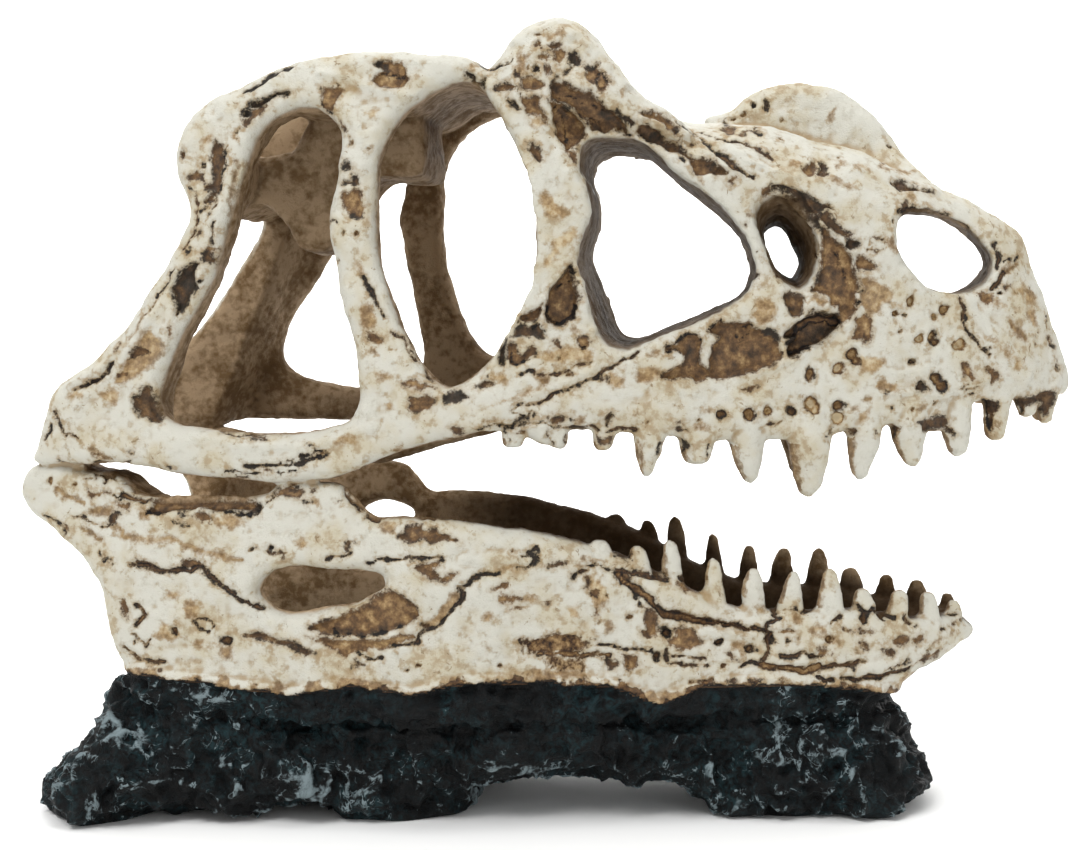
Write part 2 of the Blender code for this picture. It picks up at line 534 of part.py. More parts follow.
def plate(name, corners, cutters):
    """A sheet on the mid-plane, one suture gap thick, with this side outline."""
    mesh = outline_mesh([np.array(corners, float)], SUTURE_GAP / 2)
    for vert in mesh.vertices:
        x, z, t = vert.co
        vert.co = (x, -t, z)
    mesh.update()
    return link(name, mesh, cutters)


def cut_sutures(body, cutters):
    for name, knots, depths in SUTURES:
        cut(body, ribbon(name, knots, depths, cutters))
    half = SUTURE_GAP / 2
    for side, sign in (("right", -1), ("left", 1)):
        for name, knots, depths in SIDE_SUTURES:
            cut(body, ribbon(name + "_" + side, knots, (sign * depths[0], sign * depths[1]), cutters))
        cut(body, ribbon("jaw_" + side, JAW_SUTURE, (0, sign * 40), cutters))
        cut(body, box("roof_side_" + side, (-64, sign * 14.6 - half, 92), (-38.6, sign * 14.6 + half, 140), cutters))
        cut(body, box("roof_edge_" + side, (-38.6, sign * 20 - half, 100), (-8.6, sign * 20 + half, 140), cutters))
        cut(body, box("roof_step_" + side, (-38.6 - half, min(sign * 14.4, sign * 20.2), 100),
                      (-38.6 + half, max(sign * 14.4, sign * 20.2), 140), cutters))
    cut(body, plate("midline_top", MIDLINE_TOP, cutters))
    cut(body, plate("midline_jaw", MIDLINE_JAW, cutters))


def bone_names():
    names = dict(SINGLE_BONES)
    for name, (x, y, z) in PAIRED_BONES.items():
        names[name + "_right"] = (x, y, z)
        names[name + "_left"] = (x, -y, z)
    return names


def build():
    clear_scene()
    parts = bpy.data.collections.new("dinosaur_skull_replica")
    cutters = bpy.data.collections.new("cutters")
    for group in (parts, cutters):
        bpy.context.scene.collection.children.link(group)
    body = casting()
    cut(body, box("floor", (-120, -60, -20), (120, 60, 0), cutters))
    cut_sutures(body, cutters)
    found = [(verts, faces) for verts, faces in islands(body.data) if volume(verts, faces) > 20.0]
    for cutter in list(cutters.objects) + [body]:
        bpy.data.objects.remove(cutter, do_unlink=True)
    low = np.min([np.min(verts, 0) for verts, _ in found], 0)
    high = np.max([np.max(verts, 0) for verts, _ in found], 0)
    origin = Vector(((low[0] + high[0]) / 2, (low[1] + high[1]) / 2, low[2]))
    bone = material("painted_resin_bone", BONE_COLOUR, 0.55)
    stone = material("painted_resin_rock", ROCK_COLOUR, 0.45)
    names = bone_names()
    clouds = [np.array(verts) for verts, _ in found]
    near = sorted((float(np.linalg.norm(cloud - np.array(point), axis=1).min()), name, i)
                  for name, point in names.items() for i, cloud in enumerate(clouds))
    named = {}
    for _, name, i in near:
        if name not in named and i not in named.values():
            named[name] = i
    for name, i in sorted(named.items()):
        verts, faces = found[i]
        mesh = bpy.data.meshes.new(name)
        mesh.from_pydata([tuple((Vector(v) - origin) * MM) for v in verts], [], faces)
        mesh.materials.append(stone if name == "rock_base" else bone)
        mesh.shade_smooth()
        mesh.set_sharp_from_angle(angle=math.radians(35))
        link(name, mesh, parts)
        print(name, len(faces), "triangles", np.round(clouds[i].min(0), 1), np.round(clouds[i].max(0), 1))
    if len(found) != len(names):
        raise RuntimeError(f"{len(found)} bodies for {len(names)} bones")


if __name__ == "__main__":
    build()
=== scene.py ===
import itertools
import json
import math

import bmesh
import bpy
import numpy as np
from mathutils import Matrix, Vector
from mathutils.bvhtree import BVHTree

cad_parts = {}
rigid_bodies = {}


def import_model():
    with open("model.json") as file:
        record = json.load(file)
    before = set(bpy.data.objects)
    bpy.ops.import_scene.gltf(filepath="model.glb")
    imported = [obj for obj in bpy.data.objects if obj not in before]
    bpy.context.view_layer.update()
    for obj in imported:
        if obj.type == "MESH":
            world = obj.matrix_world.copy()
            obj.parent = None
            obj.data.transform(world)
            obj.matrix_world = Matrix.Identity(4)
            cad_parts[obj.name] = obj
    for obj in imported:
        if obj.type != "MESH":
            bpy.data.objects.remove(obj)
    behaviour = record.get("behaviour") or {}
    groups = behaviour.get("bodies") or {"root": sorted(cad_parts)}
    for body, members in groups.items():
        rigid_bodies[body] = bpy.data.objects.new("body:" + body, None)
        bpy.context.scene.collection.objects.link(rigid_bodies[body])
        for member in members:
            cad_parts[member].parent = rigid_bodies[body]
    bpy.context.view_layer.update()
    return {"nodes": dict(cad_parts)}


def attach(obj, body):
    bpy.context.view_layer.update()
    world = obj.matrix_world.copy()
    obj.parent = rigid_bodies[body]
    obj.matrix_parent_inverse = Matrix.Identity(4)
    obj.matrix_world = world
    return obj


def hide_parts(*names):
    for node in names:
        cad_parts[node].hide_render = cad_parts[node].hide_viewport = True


for item in list(bpy.data.objects):        # an empty scene to start from
    bpy.data.objects.remove(item, do_unlink=True)
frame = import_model()
mm = 0.001

# The casting is built in millimetres, snout to +X, the animal's left to +Y, and put into the frame last.
cast = {
    "slabGrid": 0.9,                       # grid of one flat slab before it is bent
    "castGrid": 0.42,
    "softenPasses": 3,
    "shiftX": 0.15,                        # the frame's origin is under the middle of its box
    "lean": 0.048,                         # the skull rolls up to its left, rise per width
    "barDepth": 7.0,
    "archDepth": 13.0,
    "quadrateDepth": {"right": 12.0, "left": 17.0},
    "jawDepth": 6.0,
    "rimRound": 2.6,
    "seamRag": 0.7,
    "seamNoise": (3.2, 21),                # size and seed
}


# shape helpers

def lookUp(rows, x):
    xs, ys = zip(*rows)
    return np.interp(x, xs, ys)


def smoothStep(value, start, end):
    u = np.clip((value - start) / (end - start), 0.0, 1.0)
    return u * u * (3.0 - 2.0 * u)


def curveThrough(knots, closed=True, step=0.9):
    pts = np.array(knots, float)
    n = len(pts)
    out = []
    for i in range(n if closed else n - 1):
        if closed:
            a, b, c, d = (pts[(i + k) % n] for k in (-1, 0, 1, 2))
        else:
            a, b, c, d = pts[max(i - 1, 0)], pts[i], pts[i + 1], pts[min(i + 2, n - 1)]
        count = max(1, round(float(np.linalg.norm(c - b)) / step))
        for k in range(count):
            u = k / count
            out.append(0.5 * (2 * b + (c - a) * u + (2 * a - 5 * b + 4 * c - d) * u * u
                              + (3 * b - a - 3 * c + d) * u ** 3))
    if not closed:
        out.append(pts[-1])
    return np.array(out)


def lineDistance(x, z, line, closed=True):
    a = line if closed else line[:-1]
    b = np.roll(line, -1, axis=0) if closed else line[1:]
    ab = b - a
    length = np.maximum((ab ** 2).sum(1), 1e-9)
    best = np.empty(len(x))
    for start in range(0, len(x), 4000):
        p = np.stack([x[start:start + 4000], z[start:start + 4000]], 1)[:, None, :]
        u = np.clip(((p - a) * ab).sum(2) / length, 0, 1)[..., None]
        best[start:start + 4000] = np.sqrt((((a + u * ab) - p) ** 2).sum(2).min(1))
    return best


def insideLoop(x, z, line):
    inside = np.zeros(len(x), bool)
    for (x0, z0), (x1, z1) in zip(line, np.roll(line, -1, axis=0)):
        if z0 != z1:
            crosses = (z0 > z) != (z1 > z)
            inside ^= crosses & (x < x0 + (z - z0) * (x1 - x0) / (z1 - z0))
    return inside


def rimDrop(distance, radius, depth=None):
    u = np.clip(1.0 - distance / radius, 0.0, 1.0)
    return (radius if depth is None else depth) * (1.0 - np.sqrt(1.0 - u * u))


def valueNoise(points, size, seed):        # smooth random field from -1 to 1 with one knot per size
    q = points / size + seed * 17.31
    base = np.floor(q).astype(np.int64)
    f = q - base
    f = f * f * f * (f * (f * 6 - 15) + 10)
    out = np.zeros(len(points))
    for corner in itertools.product((0, 1), repeat=3):
        c = base + corner
        h = (c[:, 0] * 73856093) ^ (c[:, 1] * 19349663) ^ (c[:, 2] * 83492791) ^ (seed * 2654435)
        h = (h ^ (h >> 13)) * 1274126177
        h = ((h ^ (h >> 16)) & 0xFFFF) / 32767.5 - 1.0
        out += h * np.prod([f[:, k] if corner[k] else 1 - f[:, k] for k in range(3)], axis=0)
    return out


def layeredNoise(points, size, seed, layers=3, gain=0.5):
    total, weight = np.zeros(len(points)), 0.0
    for k in range(layers):
        total += gain ** k * valueNoise(points, size / 2 ** k, seed + k)
        weight += gain ** k
    return total / weight


# mesh helpers

def linkObject(name, mesh):
    item = bpy.data.objects.new(name, mesh)
    bpy.context.scene.collection.objects.link(item)
    return item


def evaluatedMesh(item):
    bpy.context.view_layer.update()
    return bpy.data.meshes.new_from_object(item.evaluated_get(bpy.context.evaluated_depsgraph_get()))


def weldMesh(mesh):
    bm = bmesh.new()
    bm.from_mesh(mesh)
    bmesh.ops.remove_doubles(bm, verts=bm.verts, dist=0.001)
    bm.to_mesh(mesh)
    bm.free()
    return mesh


def meshFromCurve(curve):
    item = linkObject("curve", curve)
    mesh = evaluatedMesh(item)
    bpy.data.objects.remove(item, do_unlink=True)
    return weldMesh(mesh)


def outlineMesh(loops, halfDepth):         # the flat solid inside closed outlines; further loops are holes
    curve = bpy.data.curves.new("outline", "CURVE")
    curve.dimensions = "2D"
    curve.fill_mode = "BOTH"
    curve.extrude = halfDepth
    for loop in loops:
        spline = curve.splines.new("POLY")
        spline.points.add(len(loop) - 1)
        flat = np.column_stack([loop, np.zeros(len(loop)), np.ones(len(loop))])
        spline.points.foreach_set("co", flat.ravel())
        spline.use_cyclic_u = True
    return meshFromCurve(curve)


def voxelGrid(mesh, size, passes=0):
    item = linkObject("grid", mesh)
    grid = item.modifiers.new("grid", "REMESH")
    grid.mode = "VOXEL"
    grid.voxel_size = size
    if passes:
        soften = item.modifiers.new("soften", "SMOOTH")
        soften.factor = 0.5
        soften.iterations = passes
    made = evaluatedMesh(item)
    bpy.data.objects.remove(item, do_unlink=True)
    return made


def vertexArray(mesh, field="co"):
    values = np.empty(len(mesh.vertices) * 3)
    mesh.vertices.foreach_get(field, values)
    return values.reshape(-1, 3)


def flatSlab(loops):                       # mesh, x, z and t, which runs from -1 inside to 1 outside
    halfDepth = 4.0
    mesh = voxelGrid(outlineMesh(loops, halfDepth), cast["slabGrid"])
    co = vertexArray(mesh)
    return mesh, co[:, 0], co[:, 1], np.clip(co[:, 2] / (halfDepth - 0.25), -1, 1)


def setPoints(mesh, x, y, z):
    mesh.vertices.foreach_set("co", np.column_stack([x, y, z]).ravel())
    mesh.update()
    return mesh


# half widths of the skull and of the lower jaw, as rows of x and half width
skullHalfRows = [(-90, 26.5), (-82, 29), (-65, 30.5), (-40, 31), (-14, 31), (0, 29), (10, 26.5), (20, 24.5),
                 (27, 22.5), (37, 20), (48, 18), (60, 15.5), (70, 12.5), (79, 9.5), (86, 6), (90, 3)]
jawHalfRows = [(-90, 26), (-82, 28), (-66, 30), (-40, 31), (-14, 31), (0, 27.5), (10, 25), (27, 21.5),
               (48, 17.5), (57, 15), (66, 10.5), (73, 5)]


def skullHalf(x, z):
    return lookUp(skullHalfRows, x) * (1.0 - 0.10 * smoothStep(z, 98, 130))


def jawHalf(x):
    return lookUp(jawHalfRows, x)


def leanHeight(x, y, z):                   # height after the skull's roll; the right face stays where it is
    return z + cast["lean"] * (y + lookUp(skullHalfRows, x))


# the cheek walls: side outlines, as knots of x and z, with the openings of each side
cheeks = {
    "back": [(-82, 61.2), (-88.3, 61.6), (-86.3, 68), (-84, 73.4), (-76.3, 78.8), (-70, 84.8), (-65.5, 91.6),
             (-61, 98.4), (-59, 103), (-59.6, 106.5), (-61.7, 111), (-61.4, 115.3), (-58.2, 120.9),
             (-50, 125.6), (-40.6, 129.1), (-32, 130), (-23, 130.4), (-15, 129.4), (-10.5, 128.2),
             (-6, 125.5), (-1, 124), (3, 120)],
    "foot": {"right": [(3, 68.5), (-5.5, 68.2), (-15, 66), (-22, 64), (-33, 59.7), (-45, 58.5), (-57, 59.3),
                       (-68, 60.7), (-72.5, 61.6), (-78.5, 61)],
             "left": [(3, 68.5), (-5.5, 67.5), (-15, 65), (-30, 63.1), (-48, 64.1), (-65, 64.1), (-71, 63),
                      (-77, 61.5)]},
    "temporal": {"right": [(-33, 116), (-34, 109), (-35, 104), (-34.6, 98), (-32.3, 86), (-30.2, 77),
                           (-30.4, 71), (-34, 68), (-45, 66.5), (-58, 67.5), (-63, 69), (-64.5, 73),
                           (-60.5, 83), (-55, 92.5), (-52, 102), (-49, 113), (-46, 118.5), (-39.5, 121),
                           (-35, 119.5)],
                 "left": [(-32, 116), (-32.7, 109), (-33.7, 104), (-32.7, 98), (-30.4, 86), (-29, 76),
                          (-34, 70.8), (-45, 70.8), (-54.5, 73), (-58, 77.5), (-56, 85), (-51, 92),
                          (-46.5, 100.5), (-45, 110), (-44, 116.5), (-39.5, 120), (-35, 119)]},
    "orbit": {"right": [(-27, 105), (-26.5, 112), (-23, 119.5), (-16, 124), (-11, 124.5), (-7.9, 120.8),
                        (-4.8, 115.6), (-1.8, 108.3), (-0.8, 101), (-1.3, 92), (-4.3, 85.6), (-8.3, 78.8),
                        (-13.5, 75), (-17, 75.5), (-21.5, 82), (-25.5, 92), (-27, 99)],
              "left": [(-24.8, 105), (-24.8, 112), (-21.5, 119), (-16, 123), (-11, 124), (-7.5, 121),
                       (-4, 116), (-1, 108.5), (0, 101), (-0.5, 92), (-4, 84.5), (-9, 78.6), (-15, 77),
                       (-19.5, 81), (-23.6, 91), (-25, 98)]},
}


def cheekDepth(x, z, side):                # deep at the quadrate column and along the arch, thin elsewhere
    column = smoothStep(-60.0 + (z - 74.0) * 0.4 - x, 0.0, 5.0)
    arch = smoothStep(z, 116, 120) * smoothStep(-x, 28, 36)
    extra = np.maximum((cast["quadrateDepth"][side] - cast["barDepth"]) * column,
                       (cast["archDepth"] - cast["barDepth"]) * arch)
    return cast["barDepth"] + extra


def cheekWall(side):
    loops = [curveThrough(cheeks["back"] + cheeks["foot"][side]), curveThrough(cheeks["temporal"][side]),
             curveThrough(cheeks["orbit"][side])]
    mesh, x, z, t = flatSlab(loops)
    drop = rimDrop(np.min([lineDistance(x, z, loop) for loop in loops], axis=0), cast["rimRound"])
    outer = skullHalf(x, z) - drop
    inner = skullHalf(x, z) - cheekDepth(x, z, side) + drop
    s = inner + (outer - inner) * (t + 1) / 2
    y = s if side == "left" else -s
    return setPoints(mesh, x, y, leanHeight(x, y, z))


# the snout, solid across, with three tunnels through it
snout = {
    "top": [(-5, 119.5), (-1.5, 124.5), (5, 124.2), (18, 121.7), (25, 119.6), (36, 119.5), (43, 117.5),
            (54, 114.5), (61, 111.3), (66, 108.8), (72, 106.5), (79, 102.8), (82.6, 99.2), (85.3, 92.2),
            (88.3, 84.5), (90.3, 79), (91, 75), (89.8, 72.8)],
    "foot": [(85, 73.3), (77.5, 72), (72.5, 71.4), (64, 69), (57, 67.3), (51, 66.6), (43, 65.2), (26.5, 65.5),
             (10, 66.8), (-5.5, 67.4)],
    "rear": [(-10, 67.5), (-12, 70), (-11, 74), (-8.3, 78.8), (-4.3, 85.6), (-1.3, 92), (-0.8, 101),
             (-1.8, 108.3), (-4.8, 115.6)],
    "antorbital": [(7.3, 114.7), (10, 115.9), (16.5, 115), (23, 109.8), (31, 103.2), (34.8, 97), (34.5, 91),
                   (30.5, 87.5), (20, 83.2), (13.5, 81), (10, 83.5), (7.5, 91), (6.3, 96), (8.3, 102),
                   (8, 107.5), (6.5, 111)],
    "frontWindow": [(35.7, 104), (38.5, 107.3), (42, 106.8), (45.5, 101), (45.6, 95), (43.5, 90.8),
                    (39.5, 93), (37, 98.5)],
    "naris": [(60, 102.5), (62, 103.8), (68, 103.2), (73, 100.2), (76, 96.8), (75.5, 93), (71, 90.4),
              (65, 91.2), (61.5, 95), (60, 98.5)],
    "palateRise": 4.5,
}


def snoutBody():
    top, foot = curveThrough(snout["top"], False), curveThrough(snout["foot"], False)
    holes = [curveThrough(snout[name]) for name in ("antorbital", "frontWindow", "naris")]
    mesh, x, z, t = flatSlab([curveThrough(snout["top"] + snout["foot"] + snout["rear"])] + holes)
    s = skullHalf(x, z)
    s = s - rimDrop(lineDistance(x, z, top, False), 11.0, s * 0.55)
    s = s - rimDrop(lineDistance(x, z, foot, False), 5.0, s * 0.12)
    for hole in holes:
        s = s - rimDrop(lineDistance(x, z, hole), 1.6)
    y = s * t
    far = (t + 1) / 2                      # the openings widen toward the left side
    nose = far * np.exp(-(((x - 68) / 13) ** 2 + ((z - 97) / 10) ** 2) ** 2)
    post = far * np.exp(-(((x - 8) / 5) ** 2 + ((z - 104) / 10) ** 2) ** 2)
    x, z = x + (x - 68) * 0.14 * nose - 1.6 * post, z + (z - 94) * 0.16 * nose
    centreX, centreZ = 41.8, 94.0          # the front window tapers inward
    near = np.exp(-(((x - centreX) / 9) ** 2 + ((z - 98) / 12) ** 2) ** 2)
    squeeze = near * (1 - t * t)
    x2, z2 = x + (centreX - x) * squeeze * 0.5, z + (centreZ - z) * squeeze * 0.7
    floor = np.interp(x, foot[::-1, 0], foot[::-1, 1])     # the palate rises between the tooth rows
    inside = smoothStep(skullHalf(x, z) - 5.5 - np.abs(y), 0.0, 2.5)
    rise = snout["palateRise"] * inside * (1 - smoothStep(z - floor, 1.0, 9.0)) * (1 - smoothStep(x, 72, 80))
    return setPoints(mesh, x2, y, leanHeight(x2, y, z2 + rise))


# the horns, roof and braincase
crown = {
    "browHorn": [(-9.5, 126), (-8, 128), (-4.4, 133.2), (-0.7, 135.4), (4, 135.7), (8.6, 133.3), (12, 129.2),
                 (15.4, 124.4), (22.6, 119.2), (26.5, 115), (16, 116), (7, 117), (-1.5, 116), (-6.5, 121)],
    "nasalHorn": [(27, 120.2), (31.5, 122.2), (36, 125.5), (42, 127.2), (48, 126.8), (53, 124.5), (57, 121),
                  (61, 115.8), (65, 111.2), (68, 107), (60, 104), (48, 107), (38, 112)],
    "roof": [(-45, 122), (-43, 125.3), (-38, 127.3), (-30, 128), (-20, 128), (-11, 127), (-4, 126), (3, 124),
             (3, 117), (-4, 117.5), (-8, 122), (-12, 124.5), (-17, 124), (-23, 120.5), (-32, 120.5),
             (-42, 120.5)],
    "braincase": [(-42.5, 121), (-45.5, 115.5), (-49.5, 114.2), (-54.5, 113.5), (-56, 109), (-55, 104.5),
                  (-51, 105.5), (-48, 103), (-45, 98), (-42, 97), (-38, 98.5), (-34.5, 107), (-31, 110),
                  (-22.5, 110.5), (-22, 118), (-24, 125), (-34, 126), (-40.5, 125)],
    "occiput": [(-58, 103.5), (-53.5, 105), (-51.5, 109), (-51.5, 113.5), (-56, 114.5), (-60, 111)],
}


def acrossBody(knots, half, radius=3.0, depth=None):     # a solid across the mid-plane
    outline = curveThrough(knots)
    mesh, x, z, t = flatSlab([outline])
    s = half(x, z)
    s = s - rimDrop(lineDistance(x, z, outline), radius, s * 0.6 if depth is None else depth)
    return setPoints(mesh, x, s * t, leanHeight(x, s * t, z))


def browHorn(side):
    outline = curveThrough(crown["browHorn"])
    mesh, x, z, t = flatSlab([outline])
    drop = rimDrop(lineDistance(x, z, outline), 5.0, 4.2)
    outer = skullHalf(x, 118) + 0.4 - drop - 2.0 * smoothStep(z, 120, 136)
    inner = skullHalf(x, 118) - 9.5 + drop
    s = inner + (outer - inner) * (t + 1) / 2
    y = s if side == "left" else -s
    return setPoints(mesh, x, y, leanHeight(x, y, z))


# the lower jaw
jaw = {
    "back": {"right": [(-79, 60.3), (-83, 61.3), (-89.5, 60.2), (-91.2, 55.8), (-88, 51.6), (-83, 48.3),
                       (-78.2, 44), (-75.4, 38.7), (-74.4, 33), (-71.6, 27), (-65, 20)],
             "left": [(-71, 62), (-76.5, 63.5), (-78, 60), (-75.5, 55), (-74.5, 50), (-75, 44), (-74.4, 38),
                      (-74, 33), (-72.3, 27), (-65, 20)]},
    "front": [(-30, 18), (10, 18), (50, 18), (58.5, 20.5), (64, 25), (70.6, 27.7), (74.8, 31.3), (71, 34)],
    "top": [(64, 34.4), (53, 36.2), (43, 36.4), (34, 37), (27, 39.4), (20, 42.8), (12, 46.6), (4, 49),
            (-6, 51.3), (-14, 52.5), (-24, 52.8), (-28, 52.8), (-31, 56), (-33.5, 58.2), (-43, 58.2),
            (-47, 56.4), (-58, 56), (-68, 56.2), (-72.5, 59)],
    "window": [(-47.4, 39.5), (-46.5, 42.3), (-42, 44.2), (-34, 43.7), (-28, 43.8), (-25.4, 42.3),
               (-26.5, 40.5), (-31, 38.6), (-37, 37), (-43, 36.6)],
    "slot": [(-42, 48), (-38.5, 50.4), (-33.5, 50), (-30.5, 47.6), (-35, 45.6), (-40.5, 45.8)],    # left only
}


def jawRamus(side):
    loops = [curveThrough(jaw["back"][side] + jaw["front"] + jaw["top"]), curveThrough(jaw["window"])]
    if side == "left":
        loops.append(curveThrough(jaw["slot"]))
    mesh, x, z, t = flatSlab(loops)
    drop = rimDrop(np.min([lineDistance(x, z, loop) for loop in loops], axis=0), cast["rimRound"])
    wall = cast["jawDepth"] + 8.0 * smoothStep(-x, 62, 70) + 1.5 * smoothStep(-z, -40, -30)
    outer = jawHalf(x) - drop - 0.8 * smoothStep(z, 44, 56)
    inner = np.maximum(jawHalf(x) - wall, -0.5) + drop * smoothStep(jawHalf(x) - wall, 0, 4)
    s = inner + (outer - inner) * (t + 1) / 2
    return setPoints(mesh, x, s if side == "left" else -s, z)


# the rock
rock = {
    "outline": [(-66, 24), (-73.2, 23.8), (-77, 20.4), (-79.4, 17), (-80.2, 13), (-84.9, 8.2), (-88.8, 4.5),
                (-87.5, 0), (-82.5, -1.6), (-72, -1.6), (-68, 0.0), (-61, 0.5), (-48, 0.3), (-41, 2.1),
                (-37, 0.8), (-33, -1.6), (-17, -1.6), (-13.5, 0.5), (-12.8, 5.2), (-8, 5.6), (0, 6.5),
                (7, 6.5), (14, 5), (22, 5.4), (26, 3.2), (30, 0), (34, -1.6), (58, -1.6), (63.5, 1),
                (68, 3.8), (65.8, 8), (63, 14), (59.5, 19), (54, 21), (20, 19.5), (0, 21), (-30, 21)],
    "topHalf": [(-88, 22), (-78, 26), (-66, 28), (-14, 29), (10, 25), (48, 17), (60, 13.5), (68, 9)],
    "footHalf": [(-88, 28), (-78, 36), (-66, 32), (-45, 29), (-25, 26), (10, 22), (35, 18), (60, 16),
                 (68, 11)],
}


def rockBody():
    outline = curveThrough(rock["outline"])
    mesh, x, z, t = flatSlab([outline])
    top, low = lookUp(rock["topHalf"], x), lookUp(rock["footHalf"], x)
    s = top + (low - top) * smoothStep(22 - z, 0, 16)
    s = s - rimDrop(lineDistance(x, z, outline), 6.5, 11.0) * smoothStep(24 - z, 0, 4)
    swell = 1.0 * np.sin(x * 0.21 + 1.3) * np.cos(z * 0.33) + 0.7 * np.sin(x * 0.47 + z * 0.3)
    return setPoints(mesh, x, (s + swell * smoothStep(24 - z, 0, 6)) * t, z)


# the teeth of each side: x and z at the root, x and z at the tip, width, width of the tip
teeth = {
    "upper": [(-4.2, 67.3, -4.4, 64.4, 3.6, 2.4), (2.7, 67.3, 2.8, 64.4, 3.2, 2.2),
              (10.6, 66.6, 10.2, 63.4, 3.8, 2.0), (18, 65.8, 17.6, 59.4, 4.6, 1.6),
              (25.8, 65.6, 25.9, 61.4, 5.2, 3.4), (34.5, 65.4, 35, 57.8, 5.6, 1.8),
              (44.8, 65.6, 44.8, 55.6, 6.8, 2.2), (54.3, 67, 53.7, 58.6, 5.4, 1.6),
              (62, 68.4, 62.9, 60.7, 5.8, 2.0), (70.2, 70.6, 70.7, 62.4, 5.4, 2.0),
              (77.6, 72, 77.3, 65.2, 5.0, 2.2), (82.8, 73, 83.1, 68.8, 4.2, 2.6),
              (87, 73.8, 86.6, 67.8, 3.8, 1.8), (66.4, 69.8, 66.4, 66.8, 4.6, 4.2)],
    "lower": [(9.8, 47, 9.8, 48.8, 3.6, 1.6), (16.4, 44.6, 15.9, 47.6, 3.0, 1.2),
              (22, 41.8, 21.4, 48.3, 3.4, 1.2), (29, 38.6, 28.8, 45.4, 3.6, 1.2),
              (35.6, 36.6, 35.8, 43.5, 3.8, 1.4), (42, 36.3, 42.6, 43.2, 4.2, 1.2),
              (48.7, 35.8, 48.7, 43.6, 4.6, 1.6), (54.8, 35.8, 54.3, 39.9, 4.0, 1.6),
              (60.6, 34.6, 61, 39.3, 3.6, 1.6), (66.4, 33.9, 66, 38.6, 3.6, 1.6),
              (71.2, 32.6, 71, 36.9, 3.0, 1.4)],
    "wornLeft": (7, 8, 9, 10, 11),         # upper teeth broken off near the gum
    "inset": 2.6,
    "squash": 0.8,                         # flatter from side to side
    "stub": 0.22,
    "steps": (0, 0.35, 0.6, 0.82, 0.93, 1.0),
    "tipRound": 0.45,
}


def toothCone(base, tip, baseRadius, tipRadius):
    axis = tip - base
    place = Matrix.Translation((base + tip) / 2) @ axis.to_track_quat("Z", "Y").to_matrix().to_4x4()
    bm = bmesh.new()
    bmesh.ops.create_cone(bm, cap_ends=True, segments=20, radius1=baseRadius, radius2=tipRadius,
                          depth=axis.length, matrix=place)
    middle = (base.y + tip.y) / 2
    for vert in bm.verts:
        vert.co.y = middle + (vert.co.y - middle) * teeth["squash"]
    mesh = bpy.data.meshes.new("tooth")
    bm.to_mesh(mesh)
    bm.free()
    return mesh


def toothRows(row, half, leaning, worn=()):
    for i, (x0, z0, x1, z1, width, tipWidth) in enumerate(teeth[row]):
        s = max(half(x0) - teeth["inset"], 1.6)
        for sign in (-1, 1):
            rise = cast["lean"] * (sign * s + half(x0)) if leaning else 0.0
            stub = teeth["stub"] if sign > 0 and i in worn else 1.0
            base = (x0 - (x1 - x0) * 0.5, sign * s, z0 - (z1 - z0) * 0.5 + rise)
            tip = (x0 + (x1 - x0) * stub, sign * s, z0 + (z1 - z0) * stub + rise)
            root = width / 2 * 1.12 + 0.2
            end = (tipWidth if stub == 1.0 else width) / 2 + 0.12
            radii = [end + (root - end) * (1 - f ** 2.4) for f in teeth["steps"]]     # a full, rounded cone
            radii[-1] *= teeth["tipRound"]
            spots = [Vector(base).lerp(Vector(tip), f) for f in teeth["steps"]]
            for k in range(len(spots) - 1):
                yield toothCone(spots[k], spots[k + 1], radii[k], radii[k + 1])


def roundBar(points, radius):
    curve = bpy.data.curves.new("bar", "CURVE")
    curve.dimensions = "3D"
    curve.bevel_depth = radius
    curve.bevel_resolution = 3
    curve.use_fill_caps = True
    spline = curve.splines.new("POLY")
    spline.points.add(len(points) - 1)
    for point, co in zip(spline.points, points):
        point.co = (*co, 1.0)
    return meshFromCurve(curve)


def bladeHalf(x, z):                       # the nasal blade is thin at its crest and flares into the snout
    return 4.4 - 1.2 * smoothStep(z, 116, 128) + 8.5 * smoothStep(-z, -119, -104) ** 1.5


def castBody():                            # every volume joined on one fine grid and softened
    pieces = [cheekWall("right"), cheekWall("left"), snoutBody(), browHorn("right"), browHorn("left"),
              jawRamus("right"), jawRamus("left"), rockBody()]
    pieces.append(acrossBody(crown["nasalHorn"], bladeHalf))
    pieces.append(acrossBody(crown["roof"], lambda x, z: skullHalf(x, 126) - 2.0, 2.0, 1.5))
    pieces.append(acrossBody(crown["braincase"], lambda x, z: 13.0 + 0 * x, 3.0, 3.0))
    pieces.append(acrossBody(crown["occiput"], lambda x, z: skullHalf(x, z) - 5.0, 2.0, 2.0))
    pieces += list(toothRows("upper", lambda x: float(lookUp(skullHalfRows, x)), True, teeth["wornLeft"]))
    pieces += list(toothRows("lower", lambda x: float(jawHalf(x)), False))
    for sign in (-1, 1):                   # pterygoid bars, from the quadrate's foot to the palate
        pieces.append(roundBar([(-78, sign * 19, 64), (-55, sign * 13, 62), (-30, sign * 10, 63),
                                (-12, sign * 9, 68), (2, sign * 9, 73)], 2.4))
    bm = bmesh.new()
    for mesh in pieces:
        bm.from_mesh(mesh)
        bpy.data.meshes.remove(mesh)
    joined = bpy.data.meshes.new("casting")
    bm.to_mesh(joined)
    bm.free()
    return voxelGrid(joined, cast["castGrid"], cast["softenPasses"])


casting = castBody()
print("casting", len(casting.vertices), "points,", len(casting.polygons), "faces")

points = vertexArray(casting)
normals = vertexArray(casting, "normal")
quads = np.empty(len(casting.loops), np.int64)
casting.loops.foreach_get("vertex_index", quads)
quads = quads.reshape(-1, 4)
edges = np.empty(len(casting.edges) * 2, np.int64)
casting.edges.foreach_get("vertices", edges)
edges = edges.reshape(-1, 2)
neighbours = np.bincount(edges.ravel(), minlength=len(points))


